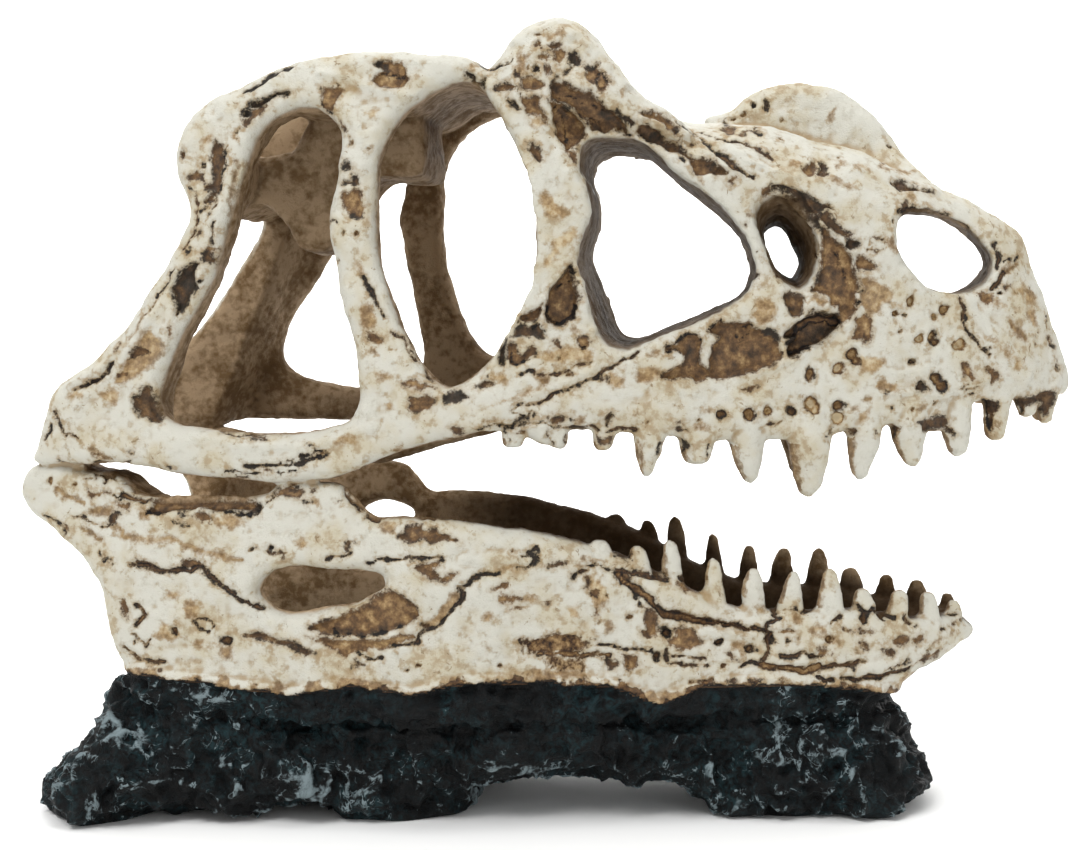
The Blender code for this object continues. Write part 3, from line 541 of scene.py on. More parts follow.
def spread(values, rounds):                # averages a value or a row of values over neighbouring points
    out = np.array(values, float)
    flat = out if out.ndim == 2 else out[:, None]
    for _ in range(rounds):
        for k in range(flat.shape[1]):
            total = np.bincount(edges[:, 0], flat[edges[:, 1], k], len(points))
            total += np.bincount(edges[:, 1], flat[edges[:, 0], k], len(points))
            flat[:, k] = 0.5 * flat[:, k] + 0.5 * total / neighbours
    return out


def faceNormals(co):                       # area-weighted point normals of the quads
    a, b, c, d = (co[quads[:, k]] for k in range(4))
    n = np.cross(c - a, d - b)
    out = np.empty_like(co)
    for axis in range(3):
        out[:, axis] = sum(np.bincount(quads[:, k], n[:, axis], len(co)) for k in range(4))
    return out / np.maximum(np.linalg.norm(out, axis=1)[:, None], 1e-9)


# where each point lies: its side, its height in the side view and how it faces
sideSign = np.where(points[:, 1] < 0, -1.0, 1.0)
outward = normals[:, 1] * sideSign
seamKnots = [(-95, 26), (-80, 26.5), (-69, 25.7), (-57, 24.5), (-41, 22.8), (-32, 24.6), (-21, 23.1),
             (-12, 25.4), (2, 25), (11, 24.2), (20, 20.9), (27, 23.7), (38, 24.2), (52, 23.2), (60, 21.8),
             (70, 19), (95, 19)]
hingeKnots = [(-95, 62.5), (-86, 61.7), (-79, 60.8), (-75, 60.6), (-72, 58), (-66, 57), (-58, 57.4),
              (-50, 58.4), (-38, 58.6), (-27, 58.4), (-20, 60), (0, 60), (30, 52), (95, 52)]
raggedHeight = points[:, 2] + cast["seamRag"] * layeredNoise(points, *cast["seamNoise"])
ofRock = raggedHeight < lookUp(seamKnots, points[:, 0])
ofSkull = points[:, 2] > lookUp(hingeKnots, points[:, 0])
sideX = points[:, 0].copy()
sideZ = np.where(ofSkull, points[:, 2] - cast["lean"] * (points[:, 1] + lookUp(skullHalfRows, points[:, 0])),
                 points[:, 2])
bodyHalf = np.where(ofSkull, skullHalf(sideX, sideZ), jawHalf(sideX))
depthIn = bodyHalf - np.abs(points[:, 1])
print("marked", int(ofRock.sum()), "rock points and", int(ofSkull.sum()), "skull points")


# Relief of the right face, as x and z in the side view. The left face carries a looser copy of it.
# An outline or line holds x and z in turn. A patch is (tone, depth, outline), a crack (width, tone, line),
# a ridge (width, height, line) and a pit (x, z, half width, half height, tone).
relief = {}
relief["squamosal"] = {
    "patches": [
        (0.95, 0.8, [-50, 121, -49.9, 119.8, -48.5, 119.4, -48.6, 122, -47, 122.8, -44, 123.5, -41.5, 123.9,
            -41.2, 123.2, -43, 123, -45, 122.3, -46.5, 121.8, -48, 120.9]),
        (0.55, 0.3, [-48.5, 120.8, -47, 121.5, -45, 121.8, -46, 120.9, -47, 119.7, -47.8, 119, -48.8,
            119.2]),
        (0.6, 0.2, [-50, 119.5, -48.6, 119.2, -48.5, 118.4, -49.6, 118.1]),
        (0.4, 0.1, [-51.6, 116.8, -50.8, 117.2, -50.6, 116, -51.2, 115.6]),
        (0.3, 0.1, [-56.3, 116, -55.2, 116.8, -55, 116.4, -56.2, 115, -56.6, 114.4]),
        (0.72, 0.5, [-54.6, 115.8, -54, 116.4, -53.4, 115.6, -52.6, 114, -52.4, 112, -52.8, 109, -53.3, 107,
            -54.6, 105.3, -55.6, 104.5, -56.2, 105.3, -55.2, 106.3, -54.4, 107.1, -55.8, 107.3, -56.1,
            108.2, -54.6, 108.4, -54.2, 109.5, -54.5, 111.5, -55.4, 112.8, -54.9, 113.6, -55, 114.4]),
        (0.6, 0.3, [-59.2, 109.8, -58, 110.2, -57.4, 110.9, -56.9, 110.2, -55.8, 110.2, -56.6, 109.4, -55.8,
            108.4, -57, 108.8, -58.8, 108.9]),
        (0.8, 0.3, [-57.2, 101, -56.4, 101, -56.2, 100.5, -57, 99.8, -57.6, 99.7]),
        (0.5, 0.2, [-55.6, 97.8, -54.6, 98.2, -53.8, 97.4, -54.8, 96.8, -55.6, 96.6]),
    ],
    "cracks": [
        (0.6, 1.0, [-50, 123.8, -49, 124, -47, 125.2, -45.5, 126.3, -43, 127.3, -40.7, 128.2]),
        (0.4, 1.0, [-50, 118, -50.5, 117, -50.6, 116.2]),
        # painted shadow: the near-black line along the right edge of the long patch
        (0.45, 1.0, [-52.5, 114, -52.3, 112, -52.6, 110, -53, 108, -53.4, 106.6, -54.2, 105.7]),
        (0.25, 0.9, [-58.9, 108.3, -58.5, 107.8, -58, 107.2, -57.4, 106.8]),
        (0.5, 0.6, [-57.8, 106.2, -57.2, 104.6, -57.2, 103.3, -57.8, 101, -58.6, 98.6, -59.6, 97.2]),
        (0.25, 0.9, [-56, 104.4, -56.4, 103.2, -57.2, 101.8, -57.8, 99.4]),
        (0.25, 0.7, [-54.2, 105, -54.6, 104, -55.6, 102.2]),
        (0.4, 0.85, [-54, 102, -54.4, 101, -54.3, 100, -54.7, 99, -54.3, 98.2]),
        (0.35, 0.5, [-50.9, 112, -51, 110, -51, 108, -51.5, 106.5, -51.9, 103.5]),
    ],
    "pits": [(-56.2, 111.6, 0.4, 0.55, 1.0), (-59.6, 113.6, 0.35, 0.8, 0.5),
        (-52.2, 114.6, 0.25, 0.25, 0.6)],
}
relief["quadrate"] = {
    "patches": [
        (0.9, 0.9, [-60, 94.2, -58, 95.2, -56.3, 95.4, -57.3, 94, -57.2, 92.2, -56.8, 91.8, -57.4, 90.6,
            -58.4, 89.2, -59, 88.2, -59.6, 87, -60.6, 86, -60.8, 87, -60.6, 88, -61.5, 89.6, -61.4, 91.2,
            -60.8, 93]),
        (0.75, 0.4, [-56, 97, -55.4, 97.4, -54.6, 96.4, -54, 96, -54, 95, -55.4, 95.3, -56.6, 95.6]),
        (0.9, 0.3, [-59, 97, -58, 97.9, -58.2, 97, -58.9, 96.4]),
        (0.5, 0.2, [-62.5, 84.6, -61.8, 85.2, -61.6, 84, -62.2, 82.8]),
        (0.42, 0.2, [-66.5, 84, -65, 84, -63.4, 82.4, -63.4, 80.4, -65, 78.4, -66.8, 76.8, -68.4, 75.6,
            -70.8, 74.8, -71.8, 75.2, -71.2, 77, -70, 78.8, -68.6, 79.8, -67.4, 81.8, -67, 82.8]),
        (0.72, 0.45, [-69.2, 80.4, -68.2, 81.2, -67.4, 81.8, -65.4, 80.8, -66.6, 79.8, -68, 79.4, -68.6,
            79.6]),
        (0.55, 0.2, [-71.6, 76.4, -70.6, 77.2, -69.4, 77, -69.6, 76.4, -71.4, 76]),
        (0.78, 0.7, [-67.4, 73.4, -66.8, 74.6, -65.8, 75, -65, 74.9, -65, 72, -64.2, 70.4, -63.4, 68.9, -65,
            68.8, -67.2, 69.4, -68.4, 71, -68.6, 72.6]),
        (0.28, 0.0, [-74.5, 73.4, -73, 74, -71.4, 73.6, -71, 72.6, -71.8, 71.8, -74.4, 72.6]),
        (0.3, 0.0, [-80.5, 73, -79, 73.6, -77.6, 73.4, -77.2, 72.6, -80, 72.4]),
        (0.5, 0.2, [-71.8, 80.6, -70.8, 82.2, -70.4, 82, -71.2, 80.8]),
        (0.6, 0.3, [-77, 75, -75.2, 75.8, -74.2, 76.4, -74.4, 75.4, -75.4, 74.8, -76.8, 74.4]),
        (0.85, 0.3, [-82.6, 61.8, -81.4, 61.4, -80.8, 60.6, -81.4, 60.2]),
        (0.5, 0.2, [-76, 63.4, -74.4, 62.8, -75.2, 62.4, -76, 62.8]),
        (0.85, 0.4, [-70, 63.8, -69, 63.7, -68, 63.2, -68.4, 62.8, -69.4, 63]),
        (0.85, 0.3, [-63.4, 60.9, -62.4, 61.2, -61.8, 60.8, -62.6, 60.4]),
    ],
    "cracks": [
        (0.35, 0.85, [-61.2, 94.6, -62.4, 92, -63.6, 90.4, -65.6, 87.6, -66.4, 86.4]),
        (0.3, 0.5, [-66.6, 86, -67.6, 84.2, -69.6, 81.6]),
        (0.3, 1.0, [-70, 79.1, -69, 79.4, -68.6, 79.9]),
        (0.8, 0.95, [-79.2, 73.9, -78, 74.3, -77, 74.6, -75.6, 75.2, -74.4, 76, -73.4, 77.2, -72.4, 78.4]),
        (0.5, 0.8, [-83, 70.2, -82.6, 69.4, -81.8, 68, -80.7, 66.2]),
        (0.5, 1.0, [-84, 68, -83.8, 67.3, -84.6, 66.6, -85.4, 65.6]),
        (0.45, 0.65, [-80, 66.6, -78.8, 66, -77.8, 65]),
        # painted shade along the hinge edge
        (0.7, 0.45, [-76, 64, -74.6, 63, -73, 62.4]),
        (0.45, 1.0, [-80, 60.3, -78, 60.6, -76.6, 61.3, -75, 61.7, -73.6, 61.4, -72.4, 60.8, -71, 61.4, -70,
            61.8]),
        (0.45, 1.0, [-54, 66.7, -52, 66.5, -49, 66.2]),
    ],
    "pits": [(-56.5, 92.2, 0.5, 0.4, 0.9), (-54.8, 85.2, 0.4, 0.5, 0.6)],
    "ridges": [
        (0.5, 0.3, [-64.9, 75, -65, 73, -64.6, 71, -63.4, 69.6, -62.4, 68.9]),
        (1.6, 0.5, [-80.6, 74.8, -78, 75.8, -75, 77.4, -71, 81.4]),
        (2.0, 0.5, [-79, 71.6, -75.6, 73.6, -72.4, 76.8, -69.6, 81, -66, 85, -63.6, 88]),
    ],
}
relief["postorbital"] = {
    "patches": [
        (0.55, 0.3, [-36.6, 122, -36.2, 123.4, -35.6, 124.2, -34, 124.4, -33, 124.6, -32.4, 124, -33.4,
            122.6, -33.8, 121.4, -34.4, 120.2, -35.6, 120.6, -36.4, 121.2]),
        (0.6, 0.2, [-33.1, 118.8, -32.6, 118.8, -32, 116.8, -32.5, 116.8]),
        (0.95, 0.5, [-33, 111.6, -32.2, 111.8, -31.4, 112, -30.6, 110.8, -31.2, 110.4, -32.8, 110.6]),
        (0.85, 0.4, [-30.6, 109.8, -29.8, 110, -29.4, 109, -29.6, 108, -31, 108.2, -32.8, 108.1, -32.8,
            108.8, -30.8, 108.9]),
        (0.5, 0.3, [-32.4, 106.8, -31.8, 107, -31.2, 106.4, -30.4, 107.4, -29.4, 107, -28.6, 104.6, -28.4,
            102.6, -29.6, 102.1, -31.2, 102.5, -32.2, 104.8]),
        (0.95, 0.5, [-31.3, 103.4, -30.9, 102.4, -29.8, 102.2, -28.5, 102.5, -28.4, 103.3, -29.8, 102.9,
            -30.6, 103.1]),
        (0.4, 0.15, [-29.6, 88, -28.6, 88.6, -27.6, 88.2, -26.6, 85.8, -27.2, 84.8, -28.2, 84.3, -29.4,
            84.6, -29.8, 86]),
        (0.5, 0.15, [-28.4, 83.6, -27.2, 83.8, -25.4, 82.2, -26, 81.6, -28, 82.2]),
        (0.45, 0.1, [-28.2, 81.2, -27, 81, -26.6, 80.3, -27.6, 80.2]),
        (0.35, 0.1, [-26.4, 76.6, -25.2, 76.8, -24, 76.6, -25, 76]),
        (0.5, 0.2, [-22.6, 75.2, -21, 75.8, -19.6, 75.6, -16.8, 74.4, -19, 74.2, -22, 74.6]),
    ],
    "cracks": [
        (0.25, 0.9, [-36.5, 122.2, -36.2, 121, -35, 120.3, -34.2, 119.9]),
        (0.25, 0.7, [-33.6, 125, -33, 124, -32.4, 123.4]),
        (0.45, 0.85, [-34.6, 102.4, -33.8, 101.9, -33.2, 101.4]),
        (0.5, 0.4, [-29.6, 94.6, -29, 93.6]),
        (0.8, 1.0, [-28.8, 93.2, -28, 91.4, -27, 89.4, -26.4, 88.1]),
        (0.6, 0.95, [-26, 87.4, -25.4, 86.4, -25.1, 85.9]),
        (0.28, 0.7, [-24.4, 81, -23.6, 80.9, -22.8, 81]),
        (0.28, 0.6, [-24, 83.9, -23.2, 83.4, -22.2, 82.6, -20.8, 79.8, -19.8, 78.6]),
        (0.35, 0.7, [-18.6, 77.2, -18.4, 76.2, -17, 75.4]),
    ],
    "pits": [(-32.1, 100.2, 0.35, 0.65, 0.8), (-33.2, 95.6, 0.25, 0.25, 0.9), (-31, 115, 0.25, 0.5, 0.5),
        (-29.8, 100.3, 0.3, 0.3, 0.4), (-28.1, 113.8, 0.3, 0.25, 0.4)],
    "ridges": [
        (1.8, 0.4, [-32, 121, -30, 116, -29.4, 109]),
        (1.2, 0.35, [-26.6, 92, -24, 86.4, -20.6, 80.6]),
    ],
}
relief["jugal"] = {
    "patches": [
        (0.75, 0.3, [-49, 66.2, -47.6, 66.4, -46, 66.3, -45.4, 66, -46.6, 65.7, -48, 65.5]),
        (0.6, 0.3, [-37.8, 64.4, -36.4, 64, -35, 63.6, -36.2, 63, -37.2, 62.8, -36.6, 63.5]),
        (0.6, 0.2, [-46, 60.8, -44.6, 60.7, -44.2, 60.5, -45, 60.3, -46, 60.5]),
        (0.22, 0.0, [-34, 65.6, -33, 66.4, -31.6, 66.4, -30, 66.2, -30.4, 65.4, -32, 65.4]),
        (0.35, 0.0, [-32, 60.2, -29.4, 61.1, -29.6, 60.5, -31, 60]),
        (0.35, 0.0, [-24, 64, -22.6, 64.6, -22, 64, -23.4, 63.6]),
        (0.6, 0.2, [-14.6, 68.4, -13.4, 68.4, -12.2, 67.8, -12.6, 67.1, -13.8, 67.2]),
        (0.6, 0.25, [-21.6, 73, -20, 73.4, -18, 73.2, -16.4, 72.8, -17.4, 71, -20, 70.2, -21.4, 70.4, -21,
            71.4]),
        (0.92, 0.5, [-15.6, 72.8, -14.6, 73.6, -13, 74, -11.6, 73.4, -11, 72.8, -13.2, 71.9, -15.4, 71.8]),
        (0.4, 0.1, [-25.2, 72.2, -24.4, 72, -24, 71.2, -24.8, 71.3]),
    ],
    "cracks": [
        (0.75, 1.0, [-49, 61.6, -47, 61.6, -45, 61.5, -43, 61.6, -41.5, 61.5, -39.5, 62.3, -36.8, 63.2]),
        (0.4, 1.0, [-41.6, 62.3, -40, 62.8, -38.5, 63.6, -37.6, 63.8]),
        (0.5, 1.0, [-38.4, 65, -37.4, 64.4, -36, 63.9, -34.8, 63.6, -36, 62.9, -37.4, 62.6, -39, 62.1,
            -40.8, 61.4]),
        (0.4, 0.95, [-44, 60.3, -43, 60.1, -42, 60.4, -40.6, 60.5]),
        (0.35, 0.9, [-51.4, 60.4, -50, 60.1, -48.6, 60.1, -46.6, 59.8]),
        (0.3, 0.9, [-52.4, 60, -51.6, 59.6, -50.6, 59.2, -49, 59.1, -48.4, 59.6]),
        (0.35, 1.0, [-36, 58, -34.4, 58.1, -33, 58.5]),
        (0.3, 0.95, [-19, 64.4, -18, 65.2, -17, 65.6, -15.4, 65.8, -14.2, 66.2]),
        (0.25, 0.6, [-18.4, 64.6, -17, 65.1, -15.2, 65.5]),
    ],
    "pits": [(-43, 62.2, 0.5, 0.25, 0.9), (-39.4, 63.5, 0.5, 0.3, 0.9)],
    "ridges": [
        (2.2, 0.5, [-58, 66.4, -50, 65, -40, 64.6, -33, 66, -27, 68]),
    ],
}
relief["roof"] = {
    "patches": [
        (0.5, 0.5, [-27.8, 128.2, -27, 128.5, -26, 128.9, -24.2, 128.5, -22.9, 128.3, -22.1, 127.7, -22,
            126, -21.3, 125.5, -23, 124.3, -24.6, 123.7, -26.4, 123.8, -27.6, 125.2, -27, 126.2, -26.4,
            126.8, -27.2, 127.6]),
        (0.95, 0.6, [-27.8, 128.2, -26.4, 128.7, -25.6, 128, -25, 126.9, -25.6, 126.2, -26.4, 126.8, -27,
            127.4]),
        (0.25, 0.0, [-28.5, 119.8, -27.6, 120.4, -26.7, 120, -27, 119, -28, 118.8]),
        (0.3, 0.0, [-1.4, 118.2, -0.6, 119.2, 0.4, 119, 1, 118, 0.2, 117, -0.8, 117.2]),
        (0.97, 0.8, [-12.7, 126.8, -11.6, 126.3, -10.9, 125.6, -10.6, 124.9, -9.6, 124.6, -9.2, 125.8, -8.6,
            126.2, -8.6, 125.4, -9.1, 124.6, -9.4, 123.8, -10.2, 124, -11, 124.6, -11.9, 125.4, -12.4,
            126]),
        (0.35, 0.1, [-12, 126.8, -11, 127.6, -10.2, 127.4, -10.6, 126.5]),
    ],
    "cracks": [
        (0.55, 0.8, [-26.2, 126.3, -24, 126.1, -22.6, 126.1]),
        (0.3, 0.95, [-24.4, 128.6, -23, 128.4]),
        (0.5, 1.0, [-10.2, 128, -9.3, 127.4, -8.4, 127.3]),
        (0.45, 0.95, [-8.3, 127, -7, 127.3, -5.6, 127.8, -4.8, 128.1, -4.5, 128.6]),
    ],
    "pits": [(-25.2, 125.7, 0.3, 0.25, 1.0)],
    "ridges": [
        (0.5, 0.35, [-8.4, 126.5, -7, 126.9, -5.4, 127.3]),
        (1.2, 0.5, [-10, 125.5, -9.9, 125.4]),
        (2.2, 0.6, [-36, 126.6, -31, 125.6, -26, 123.2, -21, 122.6]),
    ],
}
relief["brow"] = {
    "patches": [
        (0.7, 0.4, [-7.8, 124, -6.9, 124.6, -5.9, 124.7, -4.7, 124.4, -3.9, 124.3, -3.1, 123.2, -3.9, 123.3,
            -5.3, 123.1, -6.3, 123.3, -7.2, 123.7]),
        (0.97, 0.6, [-5.9, 122.2, -5, 121.9, -4, 121.5, -3.4, 120.7, -3.1, 119.8, -3.7, 120, -4.5, 120.7,
            -5.3, 121.4]),
        (0.55, 0.5, [-2.9, 122.5, -2.1, 122.5, -0.6, 122.4, 0.2, 121.9, 0.2, 120.7, 1, 119.8, 1.7, 118.3,
            1.4, 117.8, 1, 118.5, 0.4, 119.3, -0.6, 119.3, -2.1, 119.4, -3.1, 119.8, -2.1, 120.3, -2.8,
            121.4]),
        (0.6, 0.4, [-2.8, 125.5, -2.1, 125.9, -1, 125.9, -0.1, 125.7, 0.8, 124.9, 0.7, 124.1, 0, 123.6,
            -0.6, 123.1, -1.3, 123.3, -2.3, 123.4, -2.9, 124.3]),
        (0.42, 0.2, [-3.1, 129.6, -2.1, 129, -1.8, 128.7, -2.3, 127.8, -2.3, 126.2, -3.1, 125.7, -3.9,
            126.2, -3.8, 127, -3.1, 127.5]),
        (0.8, 0.25, [-3.9, 126.8, -3.5, 127.1, -2.7, 126.3, -2.4, 125.9, -3.2, 125.6, -3.8, 126.1]),
        (0.6, 0.3, [-0.7, 128.4, 0.1, 129, 1, 129.2, 1.4, 128.8, 1.3, 127.6, 1.8, 126.5, 2, 126, 1, 125.9,
            0.4, 126.2, 0.9, 127.3, 1, 128.1, 0.4, 128.1, -0.1, 128.1]),
        (0.66, 0.4, [1, 130.5, 2, 131.2, 3.3, 131.6, 3.6, 130.8, 3.2, 130.3, 2.6, 130, 1.6, 130.1]),
        (0.5, 0.3, [1.7, 129.9, 3.9, 130.1, 4, 128.8, 3.6, 127.7, 3.1, 127.4, 2.3, 128.1, 2, 129.1]),
        (0.88, 0.5, [4.4, 129.4, 4.8, 130.1, 5.5, 130, 6.3, 128.9, 7.1, 127.7, 5.9, 127.3, 5, 126.6, 4.2,
            126, 3.4, 125.9, 4, 126.5, 5.3, 127.5, 4.6, 128]),
        (0.6, 0.35, [7.4, 128.5, 7.8, 127.7, 8.8, 127.4, 9, 128.2, 9.4, 128.5, 10, 128.2, 9.7, 127.2, 10.4,
            126.6, 10.5, 126.1, 9.6, 125.6, 8.9, 124.9, 8.6, 123.9, 8, 124.7, 7.3, 125.8, 7.7, 126.5, 7.4,
            127.4]),
        (0.9, 0.4, [7.4, 128.6, 7.8, 127.8, 8.8, 127.6, 9.2, 128.4, 9.9, 128.2, 9.7, 127.4, 8.8, 127, 7.6,
            127.1]),
        (0.55, 0.2, [10, 126.6, 10.8, 126.2, 11.2, 125, 10.8, 123.8, 10, 123.3, 9.2, 123.6, 8.9, 124.8, 9.2,
            126.2]),
        (0.3, 0.05, [13, 123.6, 13.5, 123.8, 13.8, 122.8, 13.4, 122.3]),
        (0.68, 0.9, [2.3, 125.1, 3.1, 124.9, 4.2, 124.8, 5.5, 124.1, 7.3, 123.5, 8.1, 123.4, 9.7, 122.2,
            10.5, 121.4, 10.9, 120.4, 12, 120.2, 12.9, 119.4, 14.2, 117.4, 14.5, 116.1, 13.4, 116.6, 12.1,
            116.9, 10.5, 117, 8.9, 117.3, 8, 118.1, 7.2, 118.9, 6.4, 119.7, 5.2, 120.6, 4.2, 121.4, 3,
            121.8, 1.8, 121.9, 1.7, 123.6]),
        (0.55, 0.9, [1.7, 121.9, 3, 121.6, 4, 121, 5, 120.2, 6, 119.2, 6.7, 118.2, 7.4, 117.8, 7.7, 116.8,
            7.3, 115.8, 6.4, 115, 5.6, 114.2, 5, 113.7, 4.5, 113.4, 4, 114.6, 3, 115.8, 2.6, 116.3, 2.6,
            117.2, 2.3, 118.6, 2, 119.8, 1.8, 120.8]),
        (0.87, 0.5, [3.2, 120.6, 4.4, 120.9, 5.2, 120.1, 4.8, 119.2, 5.2, 118.4, 4, 118.2, 3.4, 119.2]),
        (0.86, 0.4, [9.2, 119.2, 10, 120.1, 11.2, 120, 12.2, 119.2, 13, 118, 13.9, 116.8, 12.8, 117, 11.4,
            118.2, 9.8, 118.4]),
        (0.88, 0.5, [12, 120.2, 12.8, 120.6, 14, 119.6, 15, 119.2, 15.7, 118.1, 15.2, 117.3, 14.2, 118.2,
            13.1, 119.2]),
        (0.5, 0.2, [4.4, 113.5, 5.8, 113.6, 6.2, 112.6, 5.6, 111.8, 5, 112.4]),
        (0.72, 0.5, [-2.3, 114.8, -1.6, 114.2, -1, 114.9, -0.6, 113.9, 0.2, 113.8, 0.6, 112.9, 1, 112.3,
            0.5, 111.6, 0.2, 111, -0.4, 111.5, -1.2, 112.2, -1.9, 113, -2.4, 113.6, -1.7, 114]),
    ],
    "cracks": [
        (0.5, 0.9, [-3.6, 124, -3, 123, -2.8, 122.4]),
        # painted shadow: a soft grey strip on the brow horn
        (0.7, 0.35, [1.2, 131.7, 2, 132.4, 3.6, 133]),
        (0.4, 0.95, [3.8, 119.2, 4.3, 117.8, 4.6, 115.8]),
        (0.3, 0.95, [9.2, 125.8, 9, 124.8, 9.6, 124, 10.3, 123.9, 10.8, 124.9, 10.6, 126, 10, 126.5, 9.2,
            125.8]),
        (0.25, 0.9, [2.2, 122.8, 5, 122.6, 8, 121.6, 10.4, 120.4]),
        (0.2, 0.9, [6.8, 119.5, 8.4, 118.4, 10, 117.8]),
        (0.3, 0.95, [4.2, 114.2, 5.2, 114.1, 6.2, 113.7]),
    ],
    "pits": [(-0.5, 127, 0.35, 0.55, 0.95), (-1.9, 127.2, 0.3, 0.4, 0.35), (2.9, 125.7, 0.35, 0.28, 1.0),
        (-0.5, 130.8, 0.4, 0.35, 0.45), (0.4, 130.2, 0.2, 0.2, 0.5), (-0.5, 132.3, 0.35, 0.25, 0.35),
        (14.9, 116.4, 0.25, 0.2, 1.0), (2.5, 120.7, 0.3, 0.35, 1.0)],
    "ridges": [
        (0.35, 0.6, [3.1, 121.8, 4.2, 121.3, 5.2, 120.5, 6.3, 119.7, 7.1, 118.9, 7.9, 118.1]),
        (0.3, 0.4, [3.1, 119.2, 3.5, 118, 3.9, 116.6]),
        (0.3, 0.4, [7.2, 119.6, 8.4, 118.8, 9.8, 118]),
        (0.35, 0.5, [12.1, 119.9, 13.4, 118.6, 14.8, 117.2, 16, 116.3]),
        (2.6, 0.7, [3, 133.2, 6, 132.6, 9, 130.4, 12, 127.4, 14, 124.4]),
        (2.0, 0.5, [-4, 131.4, -1, 133.4, 2, 134]),
    ],
}
